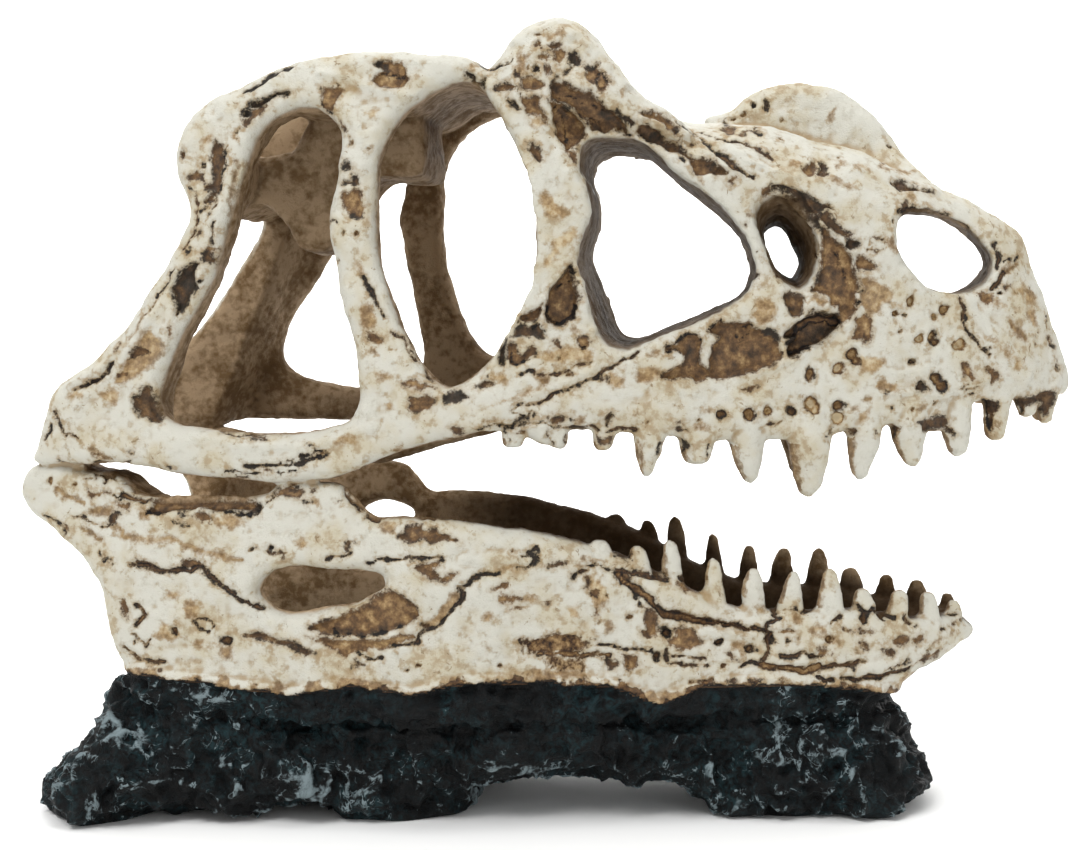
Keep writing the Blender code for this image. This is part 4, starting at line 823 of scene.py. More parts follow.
relief["lacrimal"] = {
    "patches": [
        (0.3, 0.05, [0.1, 106, 0.8, 106.6, 2, 106, 2.4, 105, 4, 104.6, 4.8, 103.6, 4, 102.2, 2.8, 103, 1.6,
            103, 0.6, 104]),
        (0.2, 0.0, [2.6, 99, 4, 99.6, 5.4, 100.8, 6.6, 99.6, 5.2, 98.4, 4, 97.6, 3, 96.2, 1.6, 94, 1.4,
            95.2, 2.4, 97.4]),
        (0.66, 1.3, [5.7, 95.2, 5.2, 94.3, 3.8, 93.1, 2.7, 91.6, 1.9, 90.1, 1.5, 89.1, 1.3, 87.8, 1.2, 86.6,
            1.5, 85.5, 2.5, 84.7, 3.5, 84.5, 4.8, 84.9, 5.8, 86.2, 6.3, 87.6, 6.6, 89.3, 6.3, 90.8, 6, 92.2,
            5.8, 93.7]),
        (0.62, 0.7, [0.9, 88.8, 0, 88.1, -1.2, 87.4, -2.5, 86.6, -3.4, 85.8, -3.8, 84.9, -3, 85.4, -1.8,
            85.2, -0.6, 85.4, 0, 85.8, 0.4, 86.6, 0.8, 87.8]),
        (0.85, 0.4, [-3.9, 84.6, -2.6, 85, -1.4, 84.9, 0.2, 85.2, 0.6, 84.3, 1, 83, 0.8, 82.4, 0, 82.8,
            -0.6, 83.1, -1.8, 82.9, -3.3, 83, -4.4, 83]),
        (1.0, 0.6, [-4.7, 82.8, -5.5, 82.5, -5.8, 81.4, -6.4, 80.3, -6.6, 79.2, -6.2, 78.4, -5.6, 78.2,
            -5.3, 79.2, -5, 80.4, -4.9, 81.6]),
        (0.66, 0.4, [-4.9, 81.8, -4, 82.2, -3.4, 81.8, -3.2, 80.9, -2.7, 80.3, -1.8, 80.6, -1.2, 81.8, -0.4,
            82, 0, 81, -0.2, 80.2, -2, 78.9, -3.7, 78.2, -4.6, 78.3, -5, 79.4]),
        (0.55, 0.2, [2, 82.2, 2.8, 82.4, 3.6, 81.6, 3.8, 81.1, 2.6, 81.2]),
        (0.55, 0.25, [6.2, 82.8, 7, 83.5, 7.8, 83.4, 8.8, 82.2, 8.6, 81.2, 7.8, 80.6, 7, 81.2, 6.4, 82]),
        (0.45, 0.1, [5.4, 84.4, 5.9, 85, 6.1, 84.4, 5.7, 83.9]),
        (0.25, 0.0, [-0.4, 79.4, 1, 80.4, 3, 80.8, 6, 81, 8.6, 80.6, 9, 79.2, 6, 78.6, 3, 78.6, 1, 78.8]),
        (0.45, 0.2, [-0.4, 76.7, 0.6, 76.4, 1.8, 76.9, 1.6, 75.6, 0.6, 75, -0.3, 75.6]),
        (0.75, 0.4, [-10.6, 74.6, -9.6, 75.2, -8.4, 75.5, -7.6, 75.4, -7.4, 74.9, -7.9, 74.3, -9.4, 74.3]),
        (0.25, 0.0, [-8, 76.8, -6.8, 76.9, -5.4, 76.2, -5.4, 75.4, -6.8, 75.2]),
        (0.75, 0.25, [10.2, 76.3, 11.5, 76.1, 11.2, 75.4, 10.4, 75.6]),
        (0.28, 0.0, [11.4, 76.4, 13, 76.8, 14.2, 76.2, 13.6, 74.8, 12.2, 74.8]),
    ],
    "cracks": [
        (0.6, 1.0, [1.6, 88, 1.8, 86.4, 2.6, 85.4, 3.5, 85, 4.4, 85.3, 5.4, 86.2, 6.1, 88]),
        (0.3, 0.95, [3.5, 91, 4.5, 92, 5.6, 92.4, 5.6, 94.6]),
        (0.35, 0.95, [0.7, 88.6, 0.4, 87.6, 0.2, 86.4]),
        (0.35, 0.95, [-4.4, 79, -3.6, 78.4, -1.6, 79, -0.4, 79.8]),
        (0.4, 0.95, [-3, 80.4, -4.2, 80.2, -4.4, 79.6]),
        (0.4, 0.9, [-2.6, 76.8, -1.6, 77.1, -0.8, 77]),
        (0.4, 0.6, [-0.8, 77, 0.1, 76.3, 1.6, 77.1, 3.2, 76.9, 4.6, 77.4, 6.2, 78.1, 8.6, 78.6]),
        (0.6, 0.75, [-1.9, 71.8, 0, 72.1, 1.2, 72.5, 2.4, 73.4]),
        (0.5, 1.0, [2.8, 73.6, 4, 74.1, 5.6, 74.7, 7.2, 75.3, 8.4, 76, 10.2, 76.3]),
        (0.7, 0.75, [10.4, 76.6, 11.2, 77.4, 13, 78.2, 14.4, 79, 15.6, 79.8, 16.2, 80.9]),
        (0.25, 1.0, [10.6, 77.2, 13.2, 78.5, 15.6, 80.2]),
    ],
    "pits": [(-8.3, 76.5, 0.4, 0.3, 1.0), (7.7, 81.2, 0.6, 0.5, 0.9), (-0.5, 84.7, 0.3, 0.25, 1.0),
        (2, 78.4, 0.2, 0.2, 0.6), (3, 79.3, 0.4, 0.3, 0.4), (5.3, 76.9, 0.5, 0.3, 0.4)],
    "ridges": [
        (1.4, 0.5, [6.8, 95, 7, 91, 7.6, 87, 9, 84]),
        (1.6, 0.5, [1.2, 90.6, 0.4, 88, 1, 84.8]),
        (2.4, 0.6, [5, 110, 6.8, 106.6, 8, 103.6]),
        (1.2, 0.35, [-0.6, 74.6, 4, 75.4, 9, 77.6]),
    ],
}
relief["nasal"] = {
    "patches": [
        (0.72, 0.7, [16.3, 117.7, 17.7, 118, 18.5, 117.3, 19.2, 117.1, 19.8, 116.4, 20.5, 115.6, 21.5,
            115.5, 22.9, 114.7, 23.2, 114.1, 24.2, 113.9, 24.9, 113.3, 25.9, 112.4, 25.2, 112, 24.2, 112.5,
            22.9, 113.2, 21.5, 113.7, 20.5, 114, 19.2, 114.7, 18.2, 115.2, 17.2, 115.7, 16.2, 116.1, 15.6,
            116.8]),
        (0.92, 0.3, [17.8, 116.6, 18.6, 116.9, 19.2, 116.2, 20.2, 115.4, 21.6, 115, 21.2, 114.2, 19.8,
            114.3, 18.6, 115.1, 17.6, 115.8]),
        (0.56, 0.7, [25, 112.6, 25.9, 112.5, 27.6, 112.5, 28.8, 112.1, 29.9, 111.3, 31, 110.5, 31, 110,
            29.4, 109.6, 28.3, 110, 25.9, 109.8, 25.6, 110.3, 25.1, 111.2, 24.6, 112]),
        (0.8, 0.3, [28, 111.9, 28.8, 112, 29.4, 111.2, 29.6, 110.2, 28.8, 110.2, 28.2, 110.8]),
        (0.58, 0.5, [16.5, 120.5, 17.8, 120.5, 19.2, 120.1, 19.9, 119.8, 21.2, 118.8, 22.2, 118, 23.1,
            117.2, 22.9, 116.7, 22.4, 116.2, 21.6, 116.6, 20.7, 117.1, 20, 118.3, 19.2, 118.6, 18.2, 119.1,
            17.2, 119.5, 16.7, 120]),
        (0.85, 0.2, [22.2, 117.6, 23, 117.3, 22.8, 116.6, 22, 116.9]),
        (0.6, 0.4, [29, 118.2, 30, 118.7, 30.6, 119.1, 30.4, 120, 30.2, 120.3, 30.8, 120.5, 31.1, 120, 31.2,
            119.2, 32.1, 118.8, 32.1, 117.6, 31.6, 117.3, 30.5, 117.6, 29.8, 117.9]),
        (0.95, 0.3, [30.4, 119, 30.3, 120.2, 30.9, 120.5, 31.1, 119.8, 31, 119]),
        (0.6, 0.3, [32.7, 117.5, 33.3, 118.2, 33.8, 118.6, 34.8, 118.5, 35.3, 118.2, 35.8, 118.8, 36.2,
            117.9, 36.9, 117.2, 36.5, 117.1, 35.7, 117.8, 34.8, 118, 34, 117.7, 33.3, 117.3]),
        (0.85, 0.6, [37.2, 123.9, 37.8, 124.1, 38.5, 123.7, 38.4, 122.5, 38, 122, 37.6, 122.4]),
        (0.55, 0.15, [24.4, 114.9, 25, 115.4, 25.4, 115.2, 24.8, 114.6]),
        (0.55, 0.2, [30.8, 108.6, 31.4, 109.5, 32.2, 109.6, 32.3, 109.2, 31.4, 108.5]),
        (0.4, 0.1, [26.2, 109, 27.2, 108.6, 27, 108.2]),
        (0.4, 0.1, [48.9, 120.5, 49.2, 121.6, 49.9, 122.2, 49.7, 121, 49.2, 120.4]),
        (0.62, 0.4, [42.9, 111.1, 44, 112, 44.4, 112.4, 45.2, 112.8, 45.8, 113, 45.8, 112.2, 46, 111.1,
            45.6, 110.1, 44.4, 109.7, 43.6, 110.3]),
        (0.8, 0.5, [46.4, 112.5, 47.3, 112.7, 47.7, 112, 48.1, 111.6, 48.5, 110.3, 47.7, 109.9, 46, 110.3,
            46.2, 111.1, 46.8, 111.6]),
        (0.3, 0.0, [41, 111.8, 42.2, 112.6, 43, 112.4, 42.6, 111.6]),
        (0.42, 0.1, [49.4, 112.2, 50, 112.7, 50.6, 112, 49.8, 111.8]),
        (0.4, 0.1, [48.6, 109.2, 49.4, 109.9, 50, 109.4, 49.4, 108.7]),
        (0.35, 0.0, [50.4, 108.2, 51.4, 108.9, 52.2, 108.6, 51, 107.8]),
        (0.4, 0.1, [56.8, 111.5, 57.2, 112.5, 58, 112.7, 58, 112.1, 57.3, 111.5]),
        (0.78, 0.6, [58.7, 109.2, 59.4, 109.5, 60.9, 109.6, 62.1, 109, 62.7, 108.8, 63.6, 108.4, 64, 107.8,
            65.8, 107.9, 66.1, 107, 65, 107.1, 63.8, 107.5, 62.3, 107.6, 60.9, 107.6, 59.8, 108.1]),
        # painted shade: a brown band under the naris's upper rim
        (0.72, 0.2, [60.2, 105.6, 61, 106.3, 61.3, 105.3, 62.2, 104.9, 65, 104.6, 68, 103.6, 70, 102.6, 72,
            101.2, 74, 99.4, 73.4, 98.6, 71, 101, 69, 102.2, 66, 103.4, 63, 104, 60, 104]),
        (0.35, 0.0, [61.6, 106.6, 62.3, 106.6, 62.2, 106, 61.7, 106]),
    ],
    "cracks": [
        (0.4, 1.0, [22.7, 112.8, 23.2, 112.4, 23.6, 111.9, 24, 111.7]),
        (0.4, 0.95, [22.7, 118.5, 24.1, 117.5, 25.6, 116.4]),
        (0.55, 0.95, [26.2, 115.9, 27.4, 115.1, 28.6, 114.3, 29.4, 113.8]),
        (1.0, 0.8, [29.4, 113.6, 30.3, 113, 31.4, 112.2, 32.3, 111.4, 32.8, 110.9]),
        (0.8, 0.9, [32.8, 110.9, 33.7, 110.2, 34.7, 109.7, 35.3, 109.5]),
        (0.35, 1.0, [29.2, 113.6, 30, 112.9, 31.2, 111.9, 32.6, 110.8, 33.8, 109.9, 35, 109.4]),
        (0.28, 0.75, [25.9, 117.1, 27.6, 116.6, 28.9, 116.1]),
        (0.5, 0.75, [28.9, 116.1, 30, 116.1, 30.8, 115.8, 32.3, 116, 33.5, 115.5]),
        (0.45, 0.6, [33.5, 115.5, 35, 114.9, 36, 114.3, 37, 113.5, 38.2, 112.7]),
        (0.5, 0.95, [35.6, 118.7, 36.2, 117.8, 36.8, 117.3]),
        (0.35, 1.0, [15.8, 116.7, 17, 115.8, 18.2, 115.1]),
        (0.2, 0.3, [52.2, 111.2, 53.4, 111.8, 55, 111.4]),
        (0.2, 0.3, [57, 111.1, 60, 111.4, 62.6, 111.2]),
        (0.5, 1.0, [58.8, 109.1, 59.8, 108.2, 61, 107.7, 62, 107.7]),
        # painted shade: the dark band along the naris's top edge, in this line and the next
        (0.9, 0.95, [60.2, 104.4, 62, 104.5, 64, 104.2, 66, 103.7]),
        (0.5, 0.9, [66, 103.7, 68, 103, 70, 102, 72, 100.6, 74, 98.8]),
    ],
    "pits": [(35.4, 123.1, 0.4, 0.35, 0.95), (32.2, 120.7, 0.5, 0.45, 0.5), (33.7, 121.7, 0.4, 0.4, 0.35),
        (39.9, 116.9, 0.25, 0.35, 0.3), (59, 115.7, 0.4, 0.35, 0.85), (49.6, 113.4, 0.2, 0.2, 0.5),
        (58.8, 102.6, 0.5, 0.6, 0.85), (34.4, 103.4, 0.4, 0.3, 0.4), (40.8, 120.3, 0.2, 0.2, 0.25)],
    "ridges": [
        (0.5, 0.5, [16.6, 119.3, 18.6, 118.5, 19.8, 117.7, 20.8, 116.7, 22.4, 115.6, 23.6, 114.9]),
        (0.9, 0.5, [60.7, 108.8, 61.2, 108.6]),
        (0.35, 0.5, [47.2, 110.9, 47.6, 110.8]),
        (1.2, 0.5, [24, 116.6, 27, 114.4, 30.2, 111.6, 33, 109.6]),
        (1.4, 0.5, [27, 117, 31, 114.6, 34.6, 112.4, 38.6, 110.6, 42, 109.6]),
    ],
}
relief["maxillaRear"] = {
    "patches": [
        (0.95, 0.5, [-9.6, 68, -7.6, 68.4, -5.2, 68.6, -3.6, 69, -2, 69.6, -1.2, 69.8, -1.4, 69.2, -3, 68.6,
            -5.2, 68.2, -7.6, 68, -9.6, 67.6]),
        (0.35, 0.0, [-9, 69, -7, 69.6, -5, 69.4, -4.6, 69, -7, 68.8]),
        (0.6, 0.3, [1.6, 69.2, 2.2, 69.9, 3, 69.6, 4.2, 69.7, 4, 69, 3.2, 68.6, 2, 68.8]),
        (0.8, 0.3, [4.9, 69.3, 5.3, 69.6, 5.7, 69, 5.2, 68.8]),
        (0.4, 0.1, [6.1, 69.3, 6.8, 69.7, 7.5, 69.2, 7.2, 68.5, 6.4, 68.5]),
        (1.0, 0.8, [10.6, 69.2, 11, 70.1, 11.7, 70.5, 12.2, 70, 12.1, 69.3, 11.5, 68.8, 11.4, 68.1, 11,
            68.1, 11, 68.8]),
        (0.4, 0.1, [15.4, 70.2, 15.8, 70.7, 16.3, 70, 15.9, 69.7]),
        (0.7, 0.3, [22.3, 69, 23.5, 69.5, 23.8, 69.1, 22.6, 68.5]),
        (0.8, 0.3, [22, 68.1, 23.2, 68.1, 23.6, 67.5, 24.6, 67.6, 25.4, 67.8, 24.8, 67.3, 23.6, 67.1, 22.8,
            66.9]),
        (0.4, 0.1, [26, 67.8, 27.2, 68.1, 28, 67.6, 27, 67.1]),
        (0.4, 0.1, [26, 71, 27, 71.3, 28, 70.4, 27.4, 70.4]),
        (0.4, 0.2, [16, 76.3, 16.4, 77.4, 17.6, 78, 19, 77.8, 20, 77, 19.4, 75.9, 18, 75.3, 16.6, 75.5]),
        (0.45, 0.1, [18.2, 80, 18.6, 80.6, 19.9, 80.9, 20.3, 80.2, 19, 79.6]),
        (0.62, 0.7, [20.3, 81.2, 20.7, 81.8, 22.8, 81.9, 23.6, 82.9, 24.7, 83.7, 26.1, 83.7, 27, 82.9, 27.2,
            81.2, 26.8, 79, 28, 77.6, 29.8, 77, 29.6, 75.9, 28.3, 76, 27.1, 75.8, 25.7, 75.2, 25.1, 75.8,
            23.3, 76, 21.5, 75.4, 19.9, 76.2, 20, 76.9, 21.6, 77.8, 22.7, 78.2, 23.9, 79, 24.3, 79.9, 23.5,
            80.5, 22.5, 80.8, 21, 80.7]),
        (0.8, 0.3, [23.8, 78.8, 24.6, 80, 25.4, 80.9, 26.8, 80.8, 26.5, 79.2, 26.2, 78, 24.8, 77.8]),
        (0.7, 0.2, [9.1, 66.5, 12.5, 66.3, 12, 65.3, 11.5, 64.7, 9.8, 64.9, 9.2, 65.7]),
        (0.85, 0.3, [23.2, 65.4, 24.3, 65.3, 25.3, 64.7, 25.1, 64.2, 24.1, 64.1, 23.9, 63.3]),
        (0.5, 0.1, [-4.6, 67.4, -2.4, 67.4, -2.7, 66.4, -3.4, 67]),
    ],
    "cracks": [
        (0.4, 1.0, [-2.8, 71.8, -3.6, 71.2, -4.3, 70.5, -3.8, 70.1, -2.6, 69.9, -1.4, 69.7, -1, 70.4, -0.4,
            70.1]),
        (0.35, 1.0, [-6, 68, -3.6, 68.2, -1.6, 68.6, 0, 68.6, 2, 68.3, 3.6, 68.1, 4.8, 67.7, 6.6, 67.5]),
        (0.5, 0.7, [4.6, 67.9, 6.6, 67.8, 9, 67.6, 9.6, 67.1]),
        (0.25, 1.0, [10.8, 66.9, 12, 67]),
        (0.6, 0.65, [12, 67.4, 14, 67.5, 16, 67.2]),
        (0.15, 0.3, [-8.4, 71.6, -5, 72.8, -2.2, 73.6, -0.6, 74.1, 1, 74.4]),
        (0.3, 1.0, [-5.5, 67.2, -5.2, 66.4, -5, 65.7]),
        (0.3, 0.6, [1.6, 67.2, 1.8, 66, 2.2, 65.2]),
        (0.4, 0.6, [4.4, 66.8, 4.1, 65.3]),
        (0.35, 0.45, [16.2, 65.6, 16.4, 64, 16.7, 61.6]),
        (0.5, 0.9, [20.2, 65.3, 19.7, 64.5, 19.4, 63.4]),
        (0.4, 0.9, [28, 64.9, 27.7, 63.2]),
        (0.4, 0.9, [20.4, 80.8, 21.2, 80.6, 22.6, 80.9, 23.6, 80.4]),
        (0.25, 0.95, [21, 81.8, 22.8, 81.8, 23.8, 83, 25, 83.7, 26.4, 83.4, 27, 82.4]),
    ],
    "pits": [(18.1, 68.6, 0.2, 0.2, 0.4), (26.2, 69, 0.3, 0.3, 0.4)],
    "ridges": [
        (0.5, 0.35, [-8, 67.2, -4, 67.7, 0, 68, 3, 67.6]),
        (1.2, 0.4, [-1, 73.4, 4, 75.6, 9, 77.6]),
    ],
}
relief["antorbital"] = {
    "patches": [
        (0.56, 0.6, [46.1, 100.4, 46.5, 101.3, 47.4, 101, 48.5, 99.9, 49.6, 98.6, 50.9, 97.7, 51.8, 96.4,
            52.3, 94.6, 52.9, 92.6, 52.9, 91.5, 52.7, 90, 52.9, 88.7, 52.5, 87.3, 51.6, 86.2, 50.5, 85.1,
            49.6, 85.8, 50, 87, 49.4, 88.4, 48.2, 87.9, 48.2, 89, 47.4, 90, 45.6, 90.4, 44.9, 90.6, 45.8,
            91.7, 46.3, 93.7, 46.5, 96, 46.2, 98.2]),
        (0.75, 0.3, [46.3, 94, 47.4, 95.2, 49, 94.8, 50.4, 93.6, 51.2, 92, 50, 91, 48.6, 92, 47, 91.4, 46,
            92.2]),
        (0.8, 1.5, [40.7, 84.2, 41.8, 84.7, 42.9, 85.3, 43.8, 86.4, 44.9, 87.1, 47.4, 87.1, 49.6, 87.3,
            50.3, 86.7, 50.4, 85.3, 49.8, 84.2, 48.3, 83.1, 46.5, 81.8, 44.9, 80.9, 42.9, 79.8, 41.8, 79.4,
            41, 79.6, 41, 80.9, 41.9, 82, 42.8, 83.1, 41.4, 82.9, 40.6, 83.1]),
        (0.62, 0.7, [40.4, 90, 41.4, 90.7, 42.7, 90.2, 43.8, 89.5, 44, 88.6, 43.6, 87.3, 42.7, 86.4, 41.8,
            86.4, 40.9, 87.8, 40.4, 88.9]),
        (0.38, 0.1, [44.2, 89.2, 45.6, 89.8, 47.2, 89.4, 48, 88.6, 46.6, 88.2, 44.6, 88.5]),
        (0.28, 0.0, [35.2, 86.4, 35.6, 88.4, 37, 89.3, 38.6, 88.8, 39, 87.2, 38, 85.2, 36.4, 84.9]),
        (1.0, 0.5, [37, 83.8, 38.3, 84.6, 39.2, 84.2, 39.8, 83.3, 40.4, 82.9, 39.8, 82.6, 39, 82.2, 38.3,
            82.9, 37.2, 83.3]),
        (0.62, 0.8, [27.8, 84.3, 28.8, 85.1, 30.3, 86, 30.5, 85.6, 33.2, 85.7, 34.8, 85.3, 35.6, 84.4, 37,
            84.1, 38.5, 83.1, 39.8, 82.5, 40, 81.1, 40, 79.1, 38.5, 78, 36.3, 77.4, 34.1, 76.7, 31.9, 76.2,
            29.7, 75.8, 28.3, 75.8, 28, 77.6, 28.3, 79.6, 28.8, 81.6, 29.4, 82.9, 28.1, 83.6]),
        (0.5, 0.05, [35.6, 79.8, 36.8, 80.6, 38.6, 80.8, 39.9, 80.2, 39.8, 78.8, 38, 78, 36, 78.4]),
        (0.62, 0.4, [52.3, 95.3, 53.3, 96.6, 54.9, 96, 55.8, 95.3, 56, 94.2, 54, 94, 52.7, 94.4]),
        (0.85, 0.6, [50.8, 98.9, 51.4, 99.9, 52.4, 99.9, 53.3, 99, 53.2, 98, 52.3, 97.6, 51.6, 97.6, 50.9,
            98]),
        # painted shade: the dark crescent under the front window's upper rim
        (0.85, 0.7, [37.8, 108.6, 40.2, 108.2, 42.5, 107.5, 44.4, 106.8, 46, 105.8, 48, 104.9, 48.9, 104,
            47.3, 104.2, 46.2, 103.2, 46.4, 101.2, 45.8, 100.8, 45.2, 101.6, 44.4, 102.9, 43.3, 104.1, 42.3,
            105.3, 41.3, 106.6, 39.8, 107.3, 38.4, 107.8]),
        (0.72, 0.4, [46.2, 103.4, 47.9, 104, 49.5, 102.2, 51.2, 100.6, 52.6, 100, 52, 99.4, 50.6, 99.6,
            49.2, 100.4, 47.6, 101.8, 46.3, 102.4]),
        (0.5, 0.2, [36.6, 107, 37, 107.8, 38.2, 107.9, 38, 107, 37.2, 106.3]),
        (0.4, 0.15, [53.2, 92.6, 54.4, 93, 55.8, 92.6, 57.2, 91.6, 58.4, 90.4, 58.2, 88.6, 57, 88.4, 56.2,
            87, 55, 86.6, 54, 87.8, 53.6, 89.4, 54, 91]),
        (0.5, 0.2, [52.4, 86.2, 54.2, 86.8, 55.4, 86, 55.6, 84, 55, 82.4, 54, 81.8, 53.2, 82.6, 52, 82.6,
            52.6, 84.2]),
        (0.8, 0.3, [53.4, 83, 53.9, 83.5, 54.6, 82.8, 55, 82.1, 54.2, 82]),
        (0.55, 0.5, [37, 97.2, 38.2, 97.6, 38.8, 96.4, 39.4, 94, 39.8, 92.7, 39.4, 92.5, 38.6, 94.2, 37.6,
            95.8]),
        (0.8, 0.3, [35.1, 92.7, 35.4, 93.5, 36.4, 93.6, 36.3, 92.6, 35.4, 92.3]),
        (0.4, 0.1, [57.8, 99.4, 58.6, 99.6, 59.4, 98.4, 59.6, 97.2, 59, 97, 58.2, 98.2]),
        (0.55, 0.2, [33.4, 74.2, 34.4, 74.8, 35, 75.2, 36, 74.8, 36.4, 74.3, 35, 74, 34.4, 73.7]),
    ],
    "cracks": [
        (1.5, 1.0, [43.6, 85, 45.2, 86.1, 47.4, 86.2, 49.6, 85.7]),
        (0.8, 1.0, [41.5, 81.8, 42.4, 82.8, 43.6, 84.8]),
        (0.8, 1.0, [41.4, 80.4, 43, 80.4, 44.8, 81.1]),
        (0.3, 0.9, [34, 84.7, 35.4, 84.7, 35.2, 83.5, 34.1, 83.1]),
        (0.25, 0.9, [27.9, 84.2, 28.8, 85, 30.3, 85.9]),
        (0.3, 0.7, [50, 95.8, 50.8, 94.6, 51.4, 93, 51.6, 91.6]),
        (0.3, 0.7, [49.2, 97, 49.8, 96, 49.6, 94.8]),
        (0.3, 0.55, [55.2, 99.6, 56.4, 99.9, 57.5, 99.2, 57.7, 98, 56.6, 97.4, 55.4, 97.6, 55, 98.6, 55.2,
            99.6]),
        (0.25, 0.5, [54.6, 92.4, 56, 92.2, 57.2, 91, 56.4, 90, 55, 90.2, 54.4, 91.2]),
        (0.25, 0.5, [54.2, 89, 55.4, 89.4, 56.5, 88.4, 56.4, 87.2, 55.2, 86.8]),
        (0.4, 0.6, [34, 101.6, 34.1, 100.7]),
        (0.3, 0.9, [38.3, 97.4, 39, 95.6, 39.6, 93.2]),
        (0.4, 0.6, [37.6, 67.9, 39, 68.2, 40, 68.5]),
    ],
    "pits": [(33, 83.2, 0.4, 0.35, 0.95), (33.7, 82.3, 0.35, 0.3, 0.95), (36, 96.8, 0.2, 0.2, 0.7),
        (53.3, 88.6, 0.35, 0.2, 1.0), (53.2, 90.3, 0.3, 0.2, 0.9), (45.8, 96.6, 0.3, 0.3, 0.8)],
    "ridges": [
        (0.35, 0.6, [38.6, 107.5, 40, 107.1, 41.3, 106.5, 42.3, 105.2, 43.3, 104, 44.4, 102.8, 45.3, 101.4,
            46, 99.6, 46.4, 97.6, 46.5, 95.4, 46.2, 93.4, 45.4, 91.4]),
        (0.35, 0.6, [44, 106.2, 44.8, 104.6, 45.8, 102.8, 47.3, 101.4, 49.3, 99.5, 50.6, 98.2, 51.8, 96.8,
            52.4, 95, 52.8, 93, 53.6, 91.2, 54.2, 90.2]),
        (0.6, 0.5, [53.4, 90, 53.3, 88.6, 52.8, 87, 51.6, 85.6, 50, 84.2, 47.6, 82.4, 45, 80.8, 42.4, 79.3,
            40.2, 78.2, 37, 77.2, 33, 76.1]),
        (0.8, 0.5, [44.4, 87.7, 47, 87.9, 49.4, 88.2]),
        (0.4, 0.5, [33.6, 80.3, 35, 80.1]),
        (0.4, 0.4, [32.4, 79.2, 33.8, 78.9]),
    ],
}
